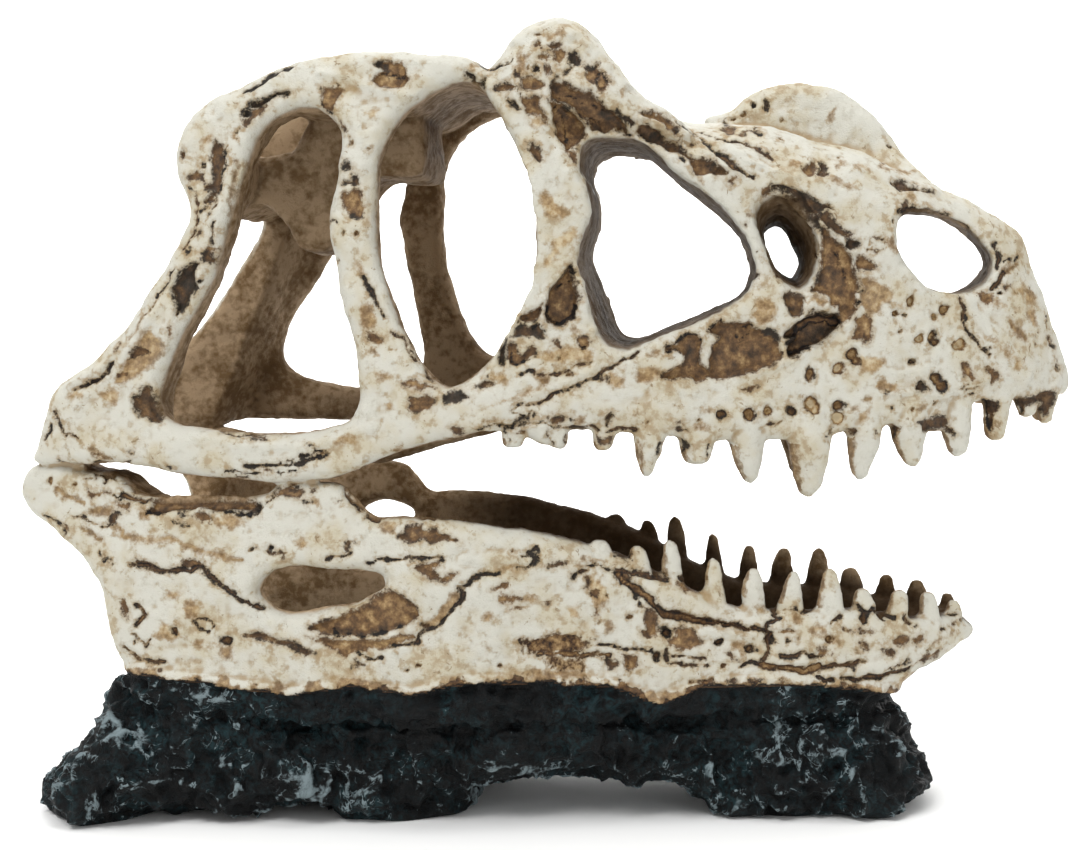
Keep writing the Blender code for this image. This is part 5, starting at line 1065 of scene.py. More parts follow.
relief["maxilla"] = {
    "patches": [
        (0.4, 0.1, [56, 74.6, 56.6, 75.6, 57.6, 75.7, 59.4, 75, 60.2, 74.2, 59, 73.8, 57.4, 74]),
        (0.95, 0.5, [57.4, 74, 58.2, 73.7, 59, 73.6, 58.6, 73.2, 57.8, 73.3]),
        (0.98, 0.7, [63, 74, 63.2, 75.2, 63.9, 75.5, 65, 74.6, 65.4, 74.2, 64.6, 74, 63.9, 73.6]),
        (0.5, 0.2, [70.9, 78.5, 71.9, 78.7, 72.8, 77.6, 72.8, 76.5, 73.7, 75.6, 72.6, 75.4, 71.4, 76.5]),
        (0.55, 0.2, [75.1, 78, 75.8, 78.2, 76.5, 77.5, 77.2, 76.6, 77.6, 75.8, 76.7, 75.1, 76.2, 74.5, 76,
            75.8]),
        (0.78, 0.4, [63.1, 68.6, 64.3, 68.9, 66, 69.5, 68, 69.6, 69.3, 69, 68.8, 68, 69.8, 66.4, 69.2, 65.6,
            68.2, 67.2, 67, 67.2, 65.6, 67.1, 64.1, 67, 64, 68, 63.2, 68]),
        (0.65, 0.3, [51.2, 67.2, 53, 67.1, 53.4, 66.6, 52.4, 66, 51.8, 66.2]),
        (0.7, 0.3, [58.6, 67.8, 60.6, 67.8, 60.3, 66.8, 59.6, 65.6, 59.2, 66.6]),
        (0.95, 0.3, [47.4, 66, 48.2, 67.4, 48.8, 67.2, 48.4, 66.2]),
        (0.8, 0.4, [74.8, 72, 77.3, 72, 77.4, 70.1, 76.8, 68.8, 76.6, 66, 76, 67, 75.5, 69.2, 75, 70.6]),
        (0.77, 0.4, [80.5, 71.9, 81.5, 72.8, 83.4, 72.8, 84.9, 73.4, 86.6, 73.8, 88.1, 73.6, 88.2, 72.3,
            87.5, 70.7, 87, 69.6, 86, 69.4, 85.5, 70.3, 85.7, 71.6, 84, 71.6, 82.5, 70.7, 82.5, 69.6, 81.5,
            70.3]),
        (0.45, 0.15, [78.9, 86.6, 79.8, 86.2, 81, 84.6, 81.8, 83.8, 82.6, 82, 81.8, 82.1, 80, 83.7, 79.1,
            85.4]),
        (0.4, 0.1, [82.6, 87.8, 83.6, 88, 84.2, 86.6, 84.2, 85, 83.4, 84.9, 82.8, 86.4]),
        (0.35, 0.05, [82.4, 91.2, 83.6, 91, 84.2, 89.4, 83.6, 88.4, 82.4, 89]),
        (0.25, 0.0, [80.6, 91, 81.6, 91.8, 82.2, 91, 81.4, 90.4]),
        (0.78, 0.3, [86.6, 83.6, 87.3, 83.2, 88, 81, 87.1, 81.6, 86.6, 82.6]),
        (0.7, 0.2, [87.9, 79.2, 88.4, 79.2, 88.8, 77, 88.2, 77.2]),
        (0.5, 0.2, [73.5, 90.5, 75, 90.9, 77, 90.9, 76.2, 89.6, 76.4, 89, 75.3, 88.7, 73.9, 89.6]),
        (0.35, 0.0, [76.6, 89, 78.8, 88.2, 78.6, 87.8, 76.8, 88.4]),
        (0.65, 0.2, [78.2, 91.6, 78.8, 92.4, 79.6, 92.2, 79.4, 91.2, 78.6, 91]),
        (0.3, 0.0, [80, 78.8, 80.8, 79.6, 81.6, 78.8, 81, 77.6, 80.2, 77.7]),
        (0.25, 0.0, [53, 79.6, 55, 79.4, 57.4, 79, 57, 77.8, 55, 77, 53.6, 77.6]),
        (0.3, 0.0, [53.6, 70, 54.6, 70.2, 55.2, 69.2, 54.4, 68.6, 53.8, 69]),
    ],
    "cracks": [
        (0.65, 0.7, [70.4, 89.4, 70.8, 88.5, 71.5, 87.4, 71.2, 85.9, 71.9, 84.5]),
        (0.6, 0.75, [71.9, 84.5, 72.8, 83.2, 73.7, 82.3, 74.6, 81.2, 75.3, 80.4, 75.8, 79.9]),
        (0.25, 1.0, [71.8, 86.8, 71.5, 85.4, 72.4, 84, 74, 82.2, 75.4, 80.7]),
        (0.25, 0.9, [71.7, 73.8, 72.8, 74, 74.1, 74.2]),
        (0.3, 0.75, [71.5, 73, 73.1, 73.2]),
        (0.2, 0.6, [70.8, 74.4, 72, 74.9]),
        (0.25, 0.9, [65.9, 72.3, 66.8, 72.1]),
        (0.25, 0.9, [65.9, 71.6, 66.5, 71.4]),
        (0.2, 0.8, [58, 70.8, 58.9, 70.8]),
        (0.4, 0.5, [54.1, 72.6, 55.2, 72.5]),
        (0.3, 0.4, [52.4, 70.8, 53.6, 70.4]),
        (0.4, 0.4, [63.4, 71, 64.6, 71]),
        (0.35, 0.9, [56.2, 67.4, 56.5, 66.4]),
        (0.35, 0.95, [74.9, 71.8, 75.2, 70.2, 75.7, 68.4, 76.2, 66.4]),
        (0.8, 0.9, [76.4, 98.8, 77, 97.4, 77.5, 96, 77.2, 94.6]),
        (0.3, 0.9, [77.7, 95.3, 79, 96, 80.9, 96.8]),
        (0.9, 0.5, [78.2, 94.2, 79.4, 95, 80.8, 95.8]),
        (0.8, 0.75, [76.2, 91.4, 77.4, 92.6, 78.2, 93.8]),
        (0.25, 0.8, [86.1, 86.6, 86.7, 84.8]),
        (0.25, 0.25, [75.2, 83, 77.6, 81.6, 79.4, 79.8, 80.4, 78.4]),
    ],
    "pits": [(59.4, 86.9, 0.8, 0.95, 0.6), (61, 86.4, 0.25, 0.2, 0.8), (62, 89, 0.75, 0.9, 0.45),
        (67.9, 87.7, 0.85, 0.8, 0.55), (60.3, 84, 0.35, 0.3, 0.5), (63.3, 82.8, 0.75, 0.85, 0.32),
        (65.6, 83, 0.85, 1.2, 0.75), (66.3, 82, 0.7, 0.7, 0.7), (70.4, 81.8, 1.3, 1.0, 0.4),
        (62.5, 78.9, 0.75, 0.65, 1.0), (52, 80, 0.85, 1.1, 0.7), (52.6, 78.9, 0.75, 0.9, 0.65),
        (49.7, 77.7, 1.2, 1.2, 0.55), (44.9, 76.7, 0.95, 1.5, 0.72), (49.8, 71.3, 0.95, 1.15, 0.78),
        (45.1, 71.9, 1.0, 1.2, 0.45), (45.8, 70.8, 0.9, 1.1, 0.45), (42, 70.4, 1.2, 1.1, 1.0),
        (37.7, 70.5, 0.85, 1.1, 0.5), (34.8, 69.8, 0.95, 1.1, 0.68), (30.3, 69.9, 0.9, 0.9, 0.85),
        (66.5, 75.9, 1.0, 1.2, 0.85), (67.2, 74.8, 1.1, 1.1, 0.85), (58.6, 102.5, 0.3, 0.3, 0.4),
        (77.6, 90.6, 0.4, 0.35, 0.85), (83.2, 91.6, 0.2, 0.2, 0.9), (84.8, 84, 0.2, 0.15, 0.8),
        (84.2, 83.1, 0.25, 0.2, 0.7), (84.2, 81.8, 0.2, 0.15, 0.5), (76, 81, 0.2, 0.15, 0.9),
        (62.4, 70.8, 0.4, 0.4, 0.3), (49.6, 69, 1.0, 1.2, 0.22), (54.6, 97.6, 0.25, 0.25, 0.5),
        (66, 86.4, 0.5, 0.6, 0.2)],
    "ridges": [
        (0.35, 0.45, [57, 73.5, 58.4, 73, 60, 73.2, 63, 73.7, 66, 73.2, 68.4, 73.3, 71, 73.6]),
        (0.5, 0.35, [70.8, 75.1, 73, 75, 75, 75.2]),
        (0.4, 0.35, [77.8, 75.6, 79.6, 75.4, 81.6, 75.7, 83, 76.4]),
        (0.35, 0.5, [64, 74.5, 64.2, 74.4]),
        (0.4, 0.5, [67, 75.5, 67.1, 75.3]),
        (0.35, 0.5, [30.4, 69.8, 30.4, 69.9]),
        (1.6, 0.3, [55, 77.4, 60, 76.8, 66, 77.6]),
        (2.0, 0.4, [70, 92, 74, 86, 80, 80]),
        (1.6, 0.4, [61, 94, 64, 90.6, 70, 89.6]),
    ],
}
relief["surangular"] = {
    "patches": [
        (0.7, 0.9, [-76, 59.4, -74.6, 60.3, -73, 60.4, -72, 60.8, -70.3, 61.5, -68.7, 61.5, -68, 60.9,
            -67.6, 59.8, -66.5, 57.9, -65.1, 56.2, -66.2, 55.9, -67.6, 56.3, -69.2, 56.3, -70.3, 57.6,
            -72.4, 57.8, -73.5, 58.7, -75.3, 59.3]),
        (1.0, 0.3, [-68.9, 57.1, -67.2, 57.4, -66, 57, -65.8, 56.6, -68.4, 56.4]),
        (0.5, 0.2, [-77.9, 55.8, -77.5, 56.6, -76.8, 56.2, -74.9, 56.7, -74, 56.5, -72.8, 56.3, -73.5, 55.9,
            -74.9, 55.9, -76.4, 55.6]),
        (0.5, 0.2, [-73, 54.6, -71.5, 54.7, -70, 54.5, -69.8, 53.7, -71.4, 53.5, -72.6, 54]),
        (0.65, 0.9, [-67.1, 55.3, -65.3, 56, -63.1, 56.3, -60, 56.5, -57.6, 56.3, -55.2, 56.2, -52, 56.2,
            -49.8, 56.2, -48, 55.8, -46.6, 55, -46.6, 53.9, -48.7, 53.9, -52, 54.1, -55.2, 53.8, -57.7,
            54.1, -58, 53.8, -60.9, 53.8, -63.1, 53.3, -64.9, 52.9, -66.9, 53, -67.1, 53.3, -66.2, 54,
            -66.2, 54.8]),
        (0.95, 0.3, [-61, 53.2, -60, 53.4, -59.4, 52.8, -60.5, 52.6]),
        (1.0, 0.3, [-61.9, 52.2, -61, 51.8, -60, 51.4, -58.9, 51, -59.4, 50.9, -61, 51.3, -61.8, 51.7]),
        (0.6, 0.2, [-58.9, 52.6, -58.2, 53.4, -56.8, 53.4, -55.4, 52.6, -55.2, 51.8, -57.2, 51.6, -57.6,
            52]),
        (0.35, 0.0, [-55, 52.4, -53, 52.8, -51, 52.8, -49.4, 52, -50.4, 51, -52, 50.8, -54, 51.4]),
        (0.35, 0.0, [-68, 53.6, -66, 53, -66.2, 52, -67.6, 52.2]),
        (0.75, 0.3, [-74.1, 51.1, -73.8, 52.6, -73, 53.4, -72.3, 53.3, -71.6, 52.9, -72.5, 52.4, -72.7,
            51.4, -73.6, 51]),
        (0.6, 0.2, [-82.6, 51, -81.4, 51, -81, 50, -81.9, 49, -82.3, 50]),
        (0.65, 0.3, [-69.2, 44.6, -68.6, 45.6, -67.6, 45.2, -66, 44.8, -65, 44, -66.4, 43.8]),
        (0.6, 0.3, [-61, 44, -60, 45.4, -58.6, 45.6, -57.2, 44.8, -56, 44.2, -58.4, 44]),
        (0.35, 0.0, [-63.5, 39.2, -62, 39.8, -60.5, 39.2, -61.4, 38.6, -63, 38.6]),
        (0.6, 0.3, [-71.8, 38.5, -70.6, 38.4, -70, 37, -70, 35, -70.6, 35.6, -71.4, 37.4]),
        (0.25, 0.0, [-65, 32.6, -63.6, 34.4, -61.6, 34.4, -60.8, 32.8, -62.6, 31.6]),
        (0.35, 0.0, [-60, 37.4, -58.4, 38.6, -57, 37.4, -57.6, 35.6, -59.4, 35.4]),
        (0.4, 0.1, [-58.6, 31.2, -57.2, 31.7, -56.2, 31.2, -57.4, 30.8]),
        (0.45, 0.1, [-54, 31, -52, 31, -51.8, 29, -53.8, 28.8]),
        (0.68, 0.4, [-50.2, 33, -47.8, 33.3, -46.3, 33.3, -44.5, 32.9, -42.9, 32.7, -41.3, 32.1, -40, 31.3,
            -38.7, 30.6, -36.9, 30.4, -38, 30, -39.1, 29.5, -39.8, 30, -40.9, 30.6, -41.8, 31.5, -43.6,
            31.5, -44.7, 31.7, -46.7, 32.1, -48.5, 32.3, -49.8, 32.5]),
        (0.6, 0.3, [-46, 55.8, -44.9, 56.3, -43.6, 57.8, -42.2, 58.3, -40.9, 58.3, -39.6, 57.4, -39.1, 56.8,
            -40, 55.9, -41.8, 56.3, -43.1, 56.3]),
        (0.95, 0.3, [-42, 57.6, -40.8, 58.2, -40.2, 57.6, -41.2, 57.2]),
        (0.9, 0.4, [-48.1, 55.8, -46.7, 55.4, -46.7, 54, -47.4, 53, -47.8, 53.3, -49.4, 53.1, -52.6, 53.7,
            -50.1, 53.7, -48.3, 54.2]),
        (0.6, 0.2, [-38.4, 57.6, -37.4, 57.2, -37, 56.6, -38, 56.8]),
        (0.9, 0.3, [-39.7, 55.3, -39, 55.8, -38, 55.6, -38.2, 55.2, -39.2, 54.9]),
        (0.3, 0.0, [-38, 55.6, -37, 55.4, -36.8, 54.8, -38, 54.9]),
        (0.95, 0.3, [-30, 54.8, -29.2, 54.4, -28.8, 53.9, -29.8, 53.9]),
        (0.45, 0.1, [-26.2, 52.2, -24.4, 52.4, -23.4, 51.6, -24.2, 50.6, -26, 50.4]),
        (0.62, 0.4, [-23.4, 49.6, -22.7, 50.3, -22.1, 50.1, -21.8, 51.2, -20.7, 51.9, -19.1, 52.1, -18.9,
            51, -17.1, 51, -15.6, 50.4, -14, 49.9, -12.9, 49.7, -13.1, 48.8, -15.3, 49.1, -16.7, 48.6,
            -17.6, 48.6, -18.5, 49.5, -20.5, 48.8, -22.1, 48.9, -23.2, 49.2]),
        (0.8, 0.3, [-32.8, 48.1, -31.9, 49.2, -30.8, 48.9, -30.6, 48.6, -31.6, 47.9, -31.7, 47.2, -32.4,
            47.5]),
        (0.25, 0.0, [-40.4, 48.8, -39.4, 49.4, -38.4, 48.8, -39.4, 48]),
        (0.55, 0.25, [-20.5, 45, -19.1, 45.4, -17.6, 45.4, -16.2, 45.9, -16.2, 45, -17.1, 44.1, -16.2, 43.2,
            -14.4, 43.7, -13.1, 44.1, -13.3, 43.2, -14.7, 42.3, -16.7, 42.8, -18, 42.4, -18.9, 43.5, -19.8,
            44.1]),
        (0.55, 0.5, [-38.9, 34.7, -37.8, 35, -34.2, 36.5, -31, 37.5, -28.3, 38.5, -28.3, 39.8, -27, 40,
            -25.2, 40.5, -24.8, 41.2, -22.5, 40.3, -20.9, 39, -20, 37.7, -19.5, 36.2, -20.7, 35.5, -22.1,
            34.6, -24.3, 33.9, -26.6, 33.5, -29.9, 33, -33.3, 32.9, -36, 33.4, -38, 33.9]),
        (0.75, 0.2, [-34.1, 34.2, -30, 34.2, -26, 34.6, -22.6, 35.2, -22.2, 34.6, -26.6, 33.5, -30, 33,
            -34.1, 33]),
        (0.48, 0.2, [-39, 32.8, -35.5, 32.6, -33.3, 32.4, -30.1, 32.3, -26.6, 32.8, -24.3, 33.1, -22, 33.4,
            -20.8, 33.9, -20.4, 32.8, -22, 32.3, -24.4, 31.8, -25.4, 31, -28, 31, -30.1, 30.8, -31.9, 29.5,
            -32.8, 29.7, -33.3, 30.8, -34.2, 31, -35.5, 31.4, -37.8, 32.3]),
        (0.8, 0.2, [-31, 29.4, -30.6, 28.6, -31, 27.8, -30, 28.2, -29.1, 28.2, -28.9, 28.9, -30, 29]),
    ],
    "cracks": [
        (0.7, 0.9, [-72.2, 61.2, -73.6, 59.8, -74.4, 58.9, -74.5, 58]),
        (0.4, 0.6, [-76.6, 59.8, -76.5, 58.5]),
        (0.8, 0.45, [-83.4, 57, -82.3, 56.6, -81.6, 55.6, -80.1, 55.2, -78.5, 54.8]),
        (0.5, 0.85, [-72.7, 55.9, -71.6, 55.2]),
        (0.9, 0.7, [-71, 56, -69.8, 55.5, -68.5, 55.2, -67.4, 55.1]),
        (0.6, 0.95, [-66.6, 53.2, -65.4, 53.1, -64.6, 53]),
        (0.5, 1.0, [-52.9, 53.6, -50.9, 53.2, -48.7, 53.2, -48.3, 53.6]),
        (1.0, 0.45, [-77, 53.6, -74, 53.2]),
        (0.35, 0.75, [-80.8, 52.4, -79.2, 52.2, -77.6, 51.6, -76.2, 51.1, -74.6, 50.7, -73.4, 50.9]),
        (0.5, 0.9, [-86.3, 51.8, -85, 51.7, -83.4, 51.2, -82.4, 50.3, -81.9, 49]),
        (0.7, 0.5, [-78.4, 50, -77.3, 49.6, -76.3, 49.3, -75.7, 48.4, -75.2, 48.6]),
        (0.8, 0.4, [-72.4, 51, -71.5, 50.4, -71.5, 49.5, -69.9, 49.1, -68.5, 48.5, -67, 48.5, -65, 48.5,
            -63, 48.8, -61, 48.2, -58.8, 47.4, -56.6, 47, -54.4, 46.4, -52.2, 45.8, -50, 45.2]),
        (0.35, 0.95, [-75.7, 46.3, -75, 45.7, -74.3, 44.9, -74, 45.5, -73.4, 45.2, -72.5, 44.4, -72.4,
            43.8]),
        (0.9, 0.88, [-69.9, 44.3, -68.7, 44.4, -67.8, 44.2, -66.6, 44, -65.3, 43.6, -64.4, 43.3, -62.6,
            43.3, -61.3, 43.8, -60.2, 43.6, -58.8, 43.6, -58.1, 44, -57, 43.9, -55.9, 43.3, -54.3, 42,
            -52.5, 40.8, -51.2, 39.8, -49.9, 38.9, -48.3, 38.3, -46.7, 37.4]),
        (0.8, 0.75, [-68.6, 37.6, -67.8, 36.6, -67.2, 35.9, -68.2, 35.2, -68.6, 34.3]),
        (0.5, 0.7, [-69.3, 32.4, -68.4, 32.2, -67.8, 31.4, -67, 30.7, -66.2, 31, -65.8, 31.8]),
        (0.4, 0.75, [-58.4, 34.8, -57, 33.4, -55.6, 33, -55.2, 34.4, -56, 35.6, -57.6, 35.4]),
        (0.7, 0.7, [-71.3, 30.2, -69.9, 29.1, -67.9, 28.3, -65.9, 27.9, -63.9, 27.8]),
        (0.4, 0.8, [-44.9, 56, -46.3, 54.7, -47, 53.2]),
        (0.4, 0.9, [-33.5, 55.3, -32.9, 55.6]),
        (0.6, 0.7, [-32.6, 58.4, -32.1, 57.1, -31, 55.6, -29.9, 54.5, -28.9, 54]),
        (0.7, 0.8, [-28.4, 53, -26.6, 52.4]),
        (0.4, 0.8, [-22.7, 53, -20, 53, -17.4, 52.8]),
        (0.5, 0.6, [-45.6, 47.3, -44.9, 46.6, -44, 47]),
        (0.3, 0.6, [-43.9, 46.8, -43, 47.2, -42.1, 46.7, -43, 46.2, -43.9, 46.8]),
        (0.5, 0.85, [-35.5, 45.9, -34, 46, -32.6, 46.4, -31.3, 47.2]),
        (0.6, 1.0, [-28.6, 45.2, -27.4, 45.5, -26.1, 45.8, -23.4, 45.9]),
        (0.5, 0.85, [-23.4, 45.9, -21.2, 46.3, -18.9, 46.1, -17.6, 46.3, -16.2, 46.5, -15.6, 45.7]),
        (0.4, 1.0, [-34.1, 34, -34.1, 33.1, -30, 33, -26.6, 33.4, -22.4, 34.5]),
        (0.5, 0.9, [-30.1, 30.3, -28.8, 29.8, -27.4, 29, -25.6, 29.3]),
        (0.7, 0.95, [-24.1, 31.7, -22.5, 31.7, -21.2, 31.9, -20, 32.2, -19.8, 33.3, -18.9, 33.7, -17.6,
            34.4, -16.2, 34.9, -15.3, 36, -14.4, 36.9, -14, 38, -13.3, 38.9, -12.4, 39.6, -12.2, 40.7,
            -12.9, 41.7, -11.4, 41.8, -10.6, 42.5, -10, 43.4, -8.4, 43.7, -6.7, 43.6]),
        (1.6, 0.4, [-17.6, 35.2, -16, 36.4, -14.8, 38.4, -13.6, 40.2]),
    ],
    "pits": [(-48, 47.2, 0.5, 0.3, 1.0), (-45.2, 47.9, 0.6, 0.5, 1.0), (-56.6, 45.4, 0.25, 0.25, 0.6),
        (-69.3, 31.3, 0.3, 0.35, 0.9), (-61.9, 33.4, 0.75, 0.75, 0.85), (-52.9, 31.9, 1.4, 0.9, 1.0),
        (-80, 58, 0.4, 0.3, 0.3), (-84.4, 58.2, 0.3, 0.4, 0.3), (-77.5, 58.8, 0.5, 0.3, 0.4),
        (-18.4, 35, 0.65, 0.5, 0.6), (-21.5, 27.5, 0.4, 0.25, 0.8), (-19.8, 28.3, 0.4, 0.3, 0.5)],
    "ridges": [
        (0.4, 0.4, [-61.4, 52.4, -60, 52]),
        (0.5, 0.4, [-58, 54.2, -56, 53.9]),
        (0.35, 0.5, [-68.2, 44, -68.1, 43.9]),
        (0.3, 0.5, [-67.7, 44.4, -67.6, 44.4]),
        (0.35, 0.5, [-53.2, 32, -53.1, 32]),
        (0.3, 0.5, [-52.4, 31.8, -52.3, 31.8]),
        (0.35, 0.5, [-37.8, 35, -34.2, 36.5, -31, 37.3, -28.6, 38.2]),
        (0.5, 0.5, [-28, 38.7, -27.7, 39.6, -25.9, 40.5, -25.2, 41.1]),
        (0.5, 0.4, [-25, 38.6, -24, 37.6]),
        (0.7, 0.4, [-22.4, 38.4, -20.6, 37.4]),
        (0.5, 0.35, [-38, 32.8, -30, 32.3, -24, 33]),
    ],
}
relief["dentary"] = {
    "patches": [
        (0.7, 0.3, [0.9, 44.8, 1.6, 45.2, 3, 45.6, 4.4, 45.3, 4.6, 44.9, 3, 44.9, 1.4, 44.5]),
        (1.0, 0.5, [5.2, 43.5, 6, 44, 6.6, 43.7, 6.1, 43.1, 5.8, 42.3, 5.3, 42.4]),
        (0.65, 0.3, [8, 43.4, 8.8, 43.2, 8.4, 42, 8.2, 41.2, 7.4, 41, 7.8, 42.2]),
        (0.6, 0.2, [8, 40.4, 9.4, 40.8, 10, 40.2, 9.6, 39.4, 8.4, 39.6]),
        (0.25, 0.0, [8, 43, 10, 42.4, 11.4, 40.4, 11, 38.4, 9.4, 38, 8.2, 40]),
        (0.45, 0.1, [10, 38.4, 10.8, 38.6, 11.2, 38, 10.6, 37.5]),
        (0.5, 0.1, [8.6, 36.8, 9.2, 37.6, 9.8, 37.4, 9.6, 36.3, 8.9, 36.2]),
        (0.45, 0.1, [10.8, 35.6, 11.8, 35.4, 12.2, 34.4, 11.4, 33.6, 10.8, 34.4]),
        (0.65, 0.3, [12.9, 44.1, 14.6, 43.8, 15.4, 43, 15, 42, 14, 42.6, 13.2, 43.2]),
        (0.6, 0.3, [17.4, 37.6, 18.6, 37.2, 19.8, 36.6, 19.8, 35.2, 19.8, 33.1, 19.4, 32.3, 17.8, 32.3,
            16.6, 33.3, 17.4, 34, 17.4, 35.6, 17.5, 36.6]),
        (1.0, 0.5, [20.1, 34.4, 21.2, 34.6, 21.8, 33.4, 21.2, 32.6, 20.2, 32.8]),
        (0.5, 0.2, [-7.9, 41, -6.6, 41.2, -5.8, 42, -4.7, 42, -4.7, 40.9, -6.2, 40.7, -7.2, 40.6]),
        (0.5, 0.2, [-6.4, 40.4, -5.6, 40.2, -4.8, 39.9, -3.4, 39.8, -2.6, 39.4, -3.6, 39, -5, 38.9, -6.8,
            38.9, -6.6, 39.4]),
        (0.3, 0.0, [-2.4, 39.2, -1, 39.5, -0.2, 39, -1, 38.4]),
        (0.5, 0.15, [-4.8, 37.8, -3.6, 38.3, -1.8, 38.2, -1.6, 37.8, -3, 37.4, -4.4, 37.5]),
        (0.55, 0.15, [0.4, 38.4, 1.4, 38.9, 2.2, 39, 2.4, 38.6, 1.4, 38.2]),
        (0.35, 0.1, [-9.4, 36.8, -8.4, 37.2, -7.8, 36.6, -8.4, 35.8, -9.4, 35.8]),
        (0.25, 0.0, [4.4, 37.8, 6, 38, 6.4, 36.6, 5, 36.2]),
        (0.55, 0.3, [-3.5, 32.1, -1.9, 32.5, -0.3, 32.4, 1.7, 33, 3.5, 33.5, 5.7, 33.2, 6.7, 32.4, 8.1,
            32.2, 8, 31.5, 7, 30.8, 6.8, 30.2, 3.7, 30.1, 0.1, 30.2, -1.9, 30.4, -1.9, 31.6]),
        (0.4, 0.1, [0.8, 29.4, 4, 29.2, 7, 28.8, 7.4, 27.4, 5, 26.8, 2.4, 27.6]),
        (0.65, 0.3, [10, 29, 12, 28.9, 13.4, 28, 12.4, 27.2, 11.6, 27.2, 11.2, 28.2]),
        (0.35, 0.0, [0, 27.2, 4, 27, 8, 26.8, 7, 26, 1, 26.1]),
        (0.55, 0.3, [13.4, 29.8, 15, 29.6, 16.4, 29.4, 16.2, 27.4, 15, 26.6, 14, 27.4]),
        (0.85, 0.2, [8.5, 32.4, 9.3, 32.5, 9.2, 32.1, 8.6, 32.1]),
        (0.75, 0.3, [12.4, 46.1, 13.6, 46.5, 15, 46.4, 15.3, 45.5, 14, 45.6]),
    ],
    "cracks": [
        (0.6, 0.4, [-6.1, 44.4, -4.4, 45]),
        (0.6, 0.95, [-3.7, 44.8, -2.3, 44.6, -1.3, 45, -0.5, 45.8, -0.7, 46.5, -1.9, 46.5, -1.9, 47.1, -1.1,
            47.3, -0.5, 47.7, -0.3, 47.1]),
        (0.5, 0.4, [4.8, 45.2, 8, 44.5]),
        (0.5, 0.45, [7.2, 46, 9, 45.8, 10.5, 45.2]),
        (0.5, 1.0, [7.7, 45, 8.9, 44.8, 10.1, 44.4, 11.3, 44, 12.5, 43.6]),
        (1.3, 0.8, [13, 43.2, 14.3, 42.1, 15.3, 41.3, 16.5, 40.3, 17.8, 39.1, 19, 38]),
        (1.0, 0.9, [19, 38, 19.8, 37.4, 21, 36.7, 22.4, 36.6]),
        (0.3, 1.0, [12.6, 43.4, 14, 41.9, 16.2, 39.9, 18.4, 37.9, 19.8, 36.9]),
        (0.7, 0.75, [12.7, 44, 14.5, 43.8, 16.5, 43.5, 18.9, 43, 20.8, 42.6]),
        (0.6, 0.7, [6.8, 43.7, 8, 43.8]),
        (0.5, 1.0, [15.8, 39.5, 16.3, 38.9, 16.7, 38.5, 16.4, 38, 17, 37.7]),
        (0.9, 0.6, [0, 29.9, 4, 30, 8, 29.7, 11.8, 29.5]),
        (0.5, 0.95, [0, 29.6, 1, 29.6]),
        (0.6, 0.9, [9.9, 31.3, 11.3, 31.2, 12.5, 31.2, 14.1, 30.8, 15.7, 30.6, 17.8, 30.3, 18.8, 30.2]),
        (0.5, 0.75, [21, 30, 21, 28.4]),
    ],
    "pits": [(-4.6, 47.3, 0.3, 0.3, 0.5), (-2.8, 46.5, 0.25, 0.25, 0.8), (14.5, 41.3, 0.35, 0.4, 0.85),
        (11.1, 39.6, 0.3, 0.3, 0.8), (9.8, 35, 0.35, 0.3, 0.45), (15.2, 36.1, 0.5, 0.35, 0.4),
        (14.8, 27.6, 0.3, 0.6, 0.95), (19.6, 29.2, 0.65, 0.9, 0.9), (-6.2, 28.3, 0.3, 0.25, 0.5),
        (-4.3, 28.3, 0.3, 0.2, 0.6), (-8.6, 31.6, 0.2, 0.2, 0.3)],
    "ridges": [
        (0.35, 0.5, [-9.6, 43, -9.5, 43]),
        (2.4, 0.4, [-12, 46, 0, 46.4, 8, 45.6]),
    ],
}
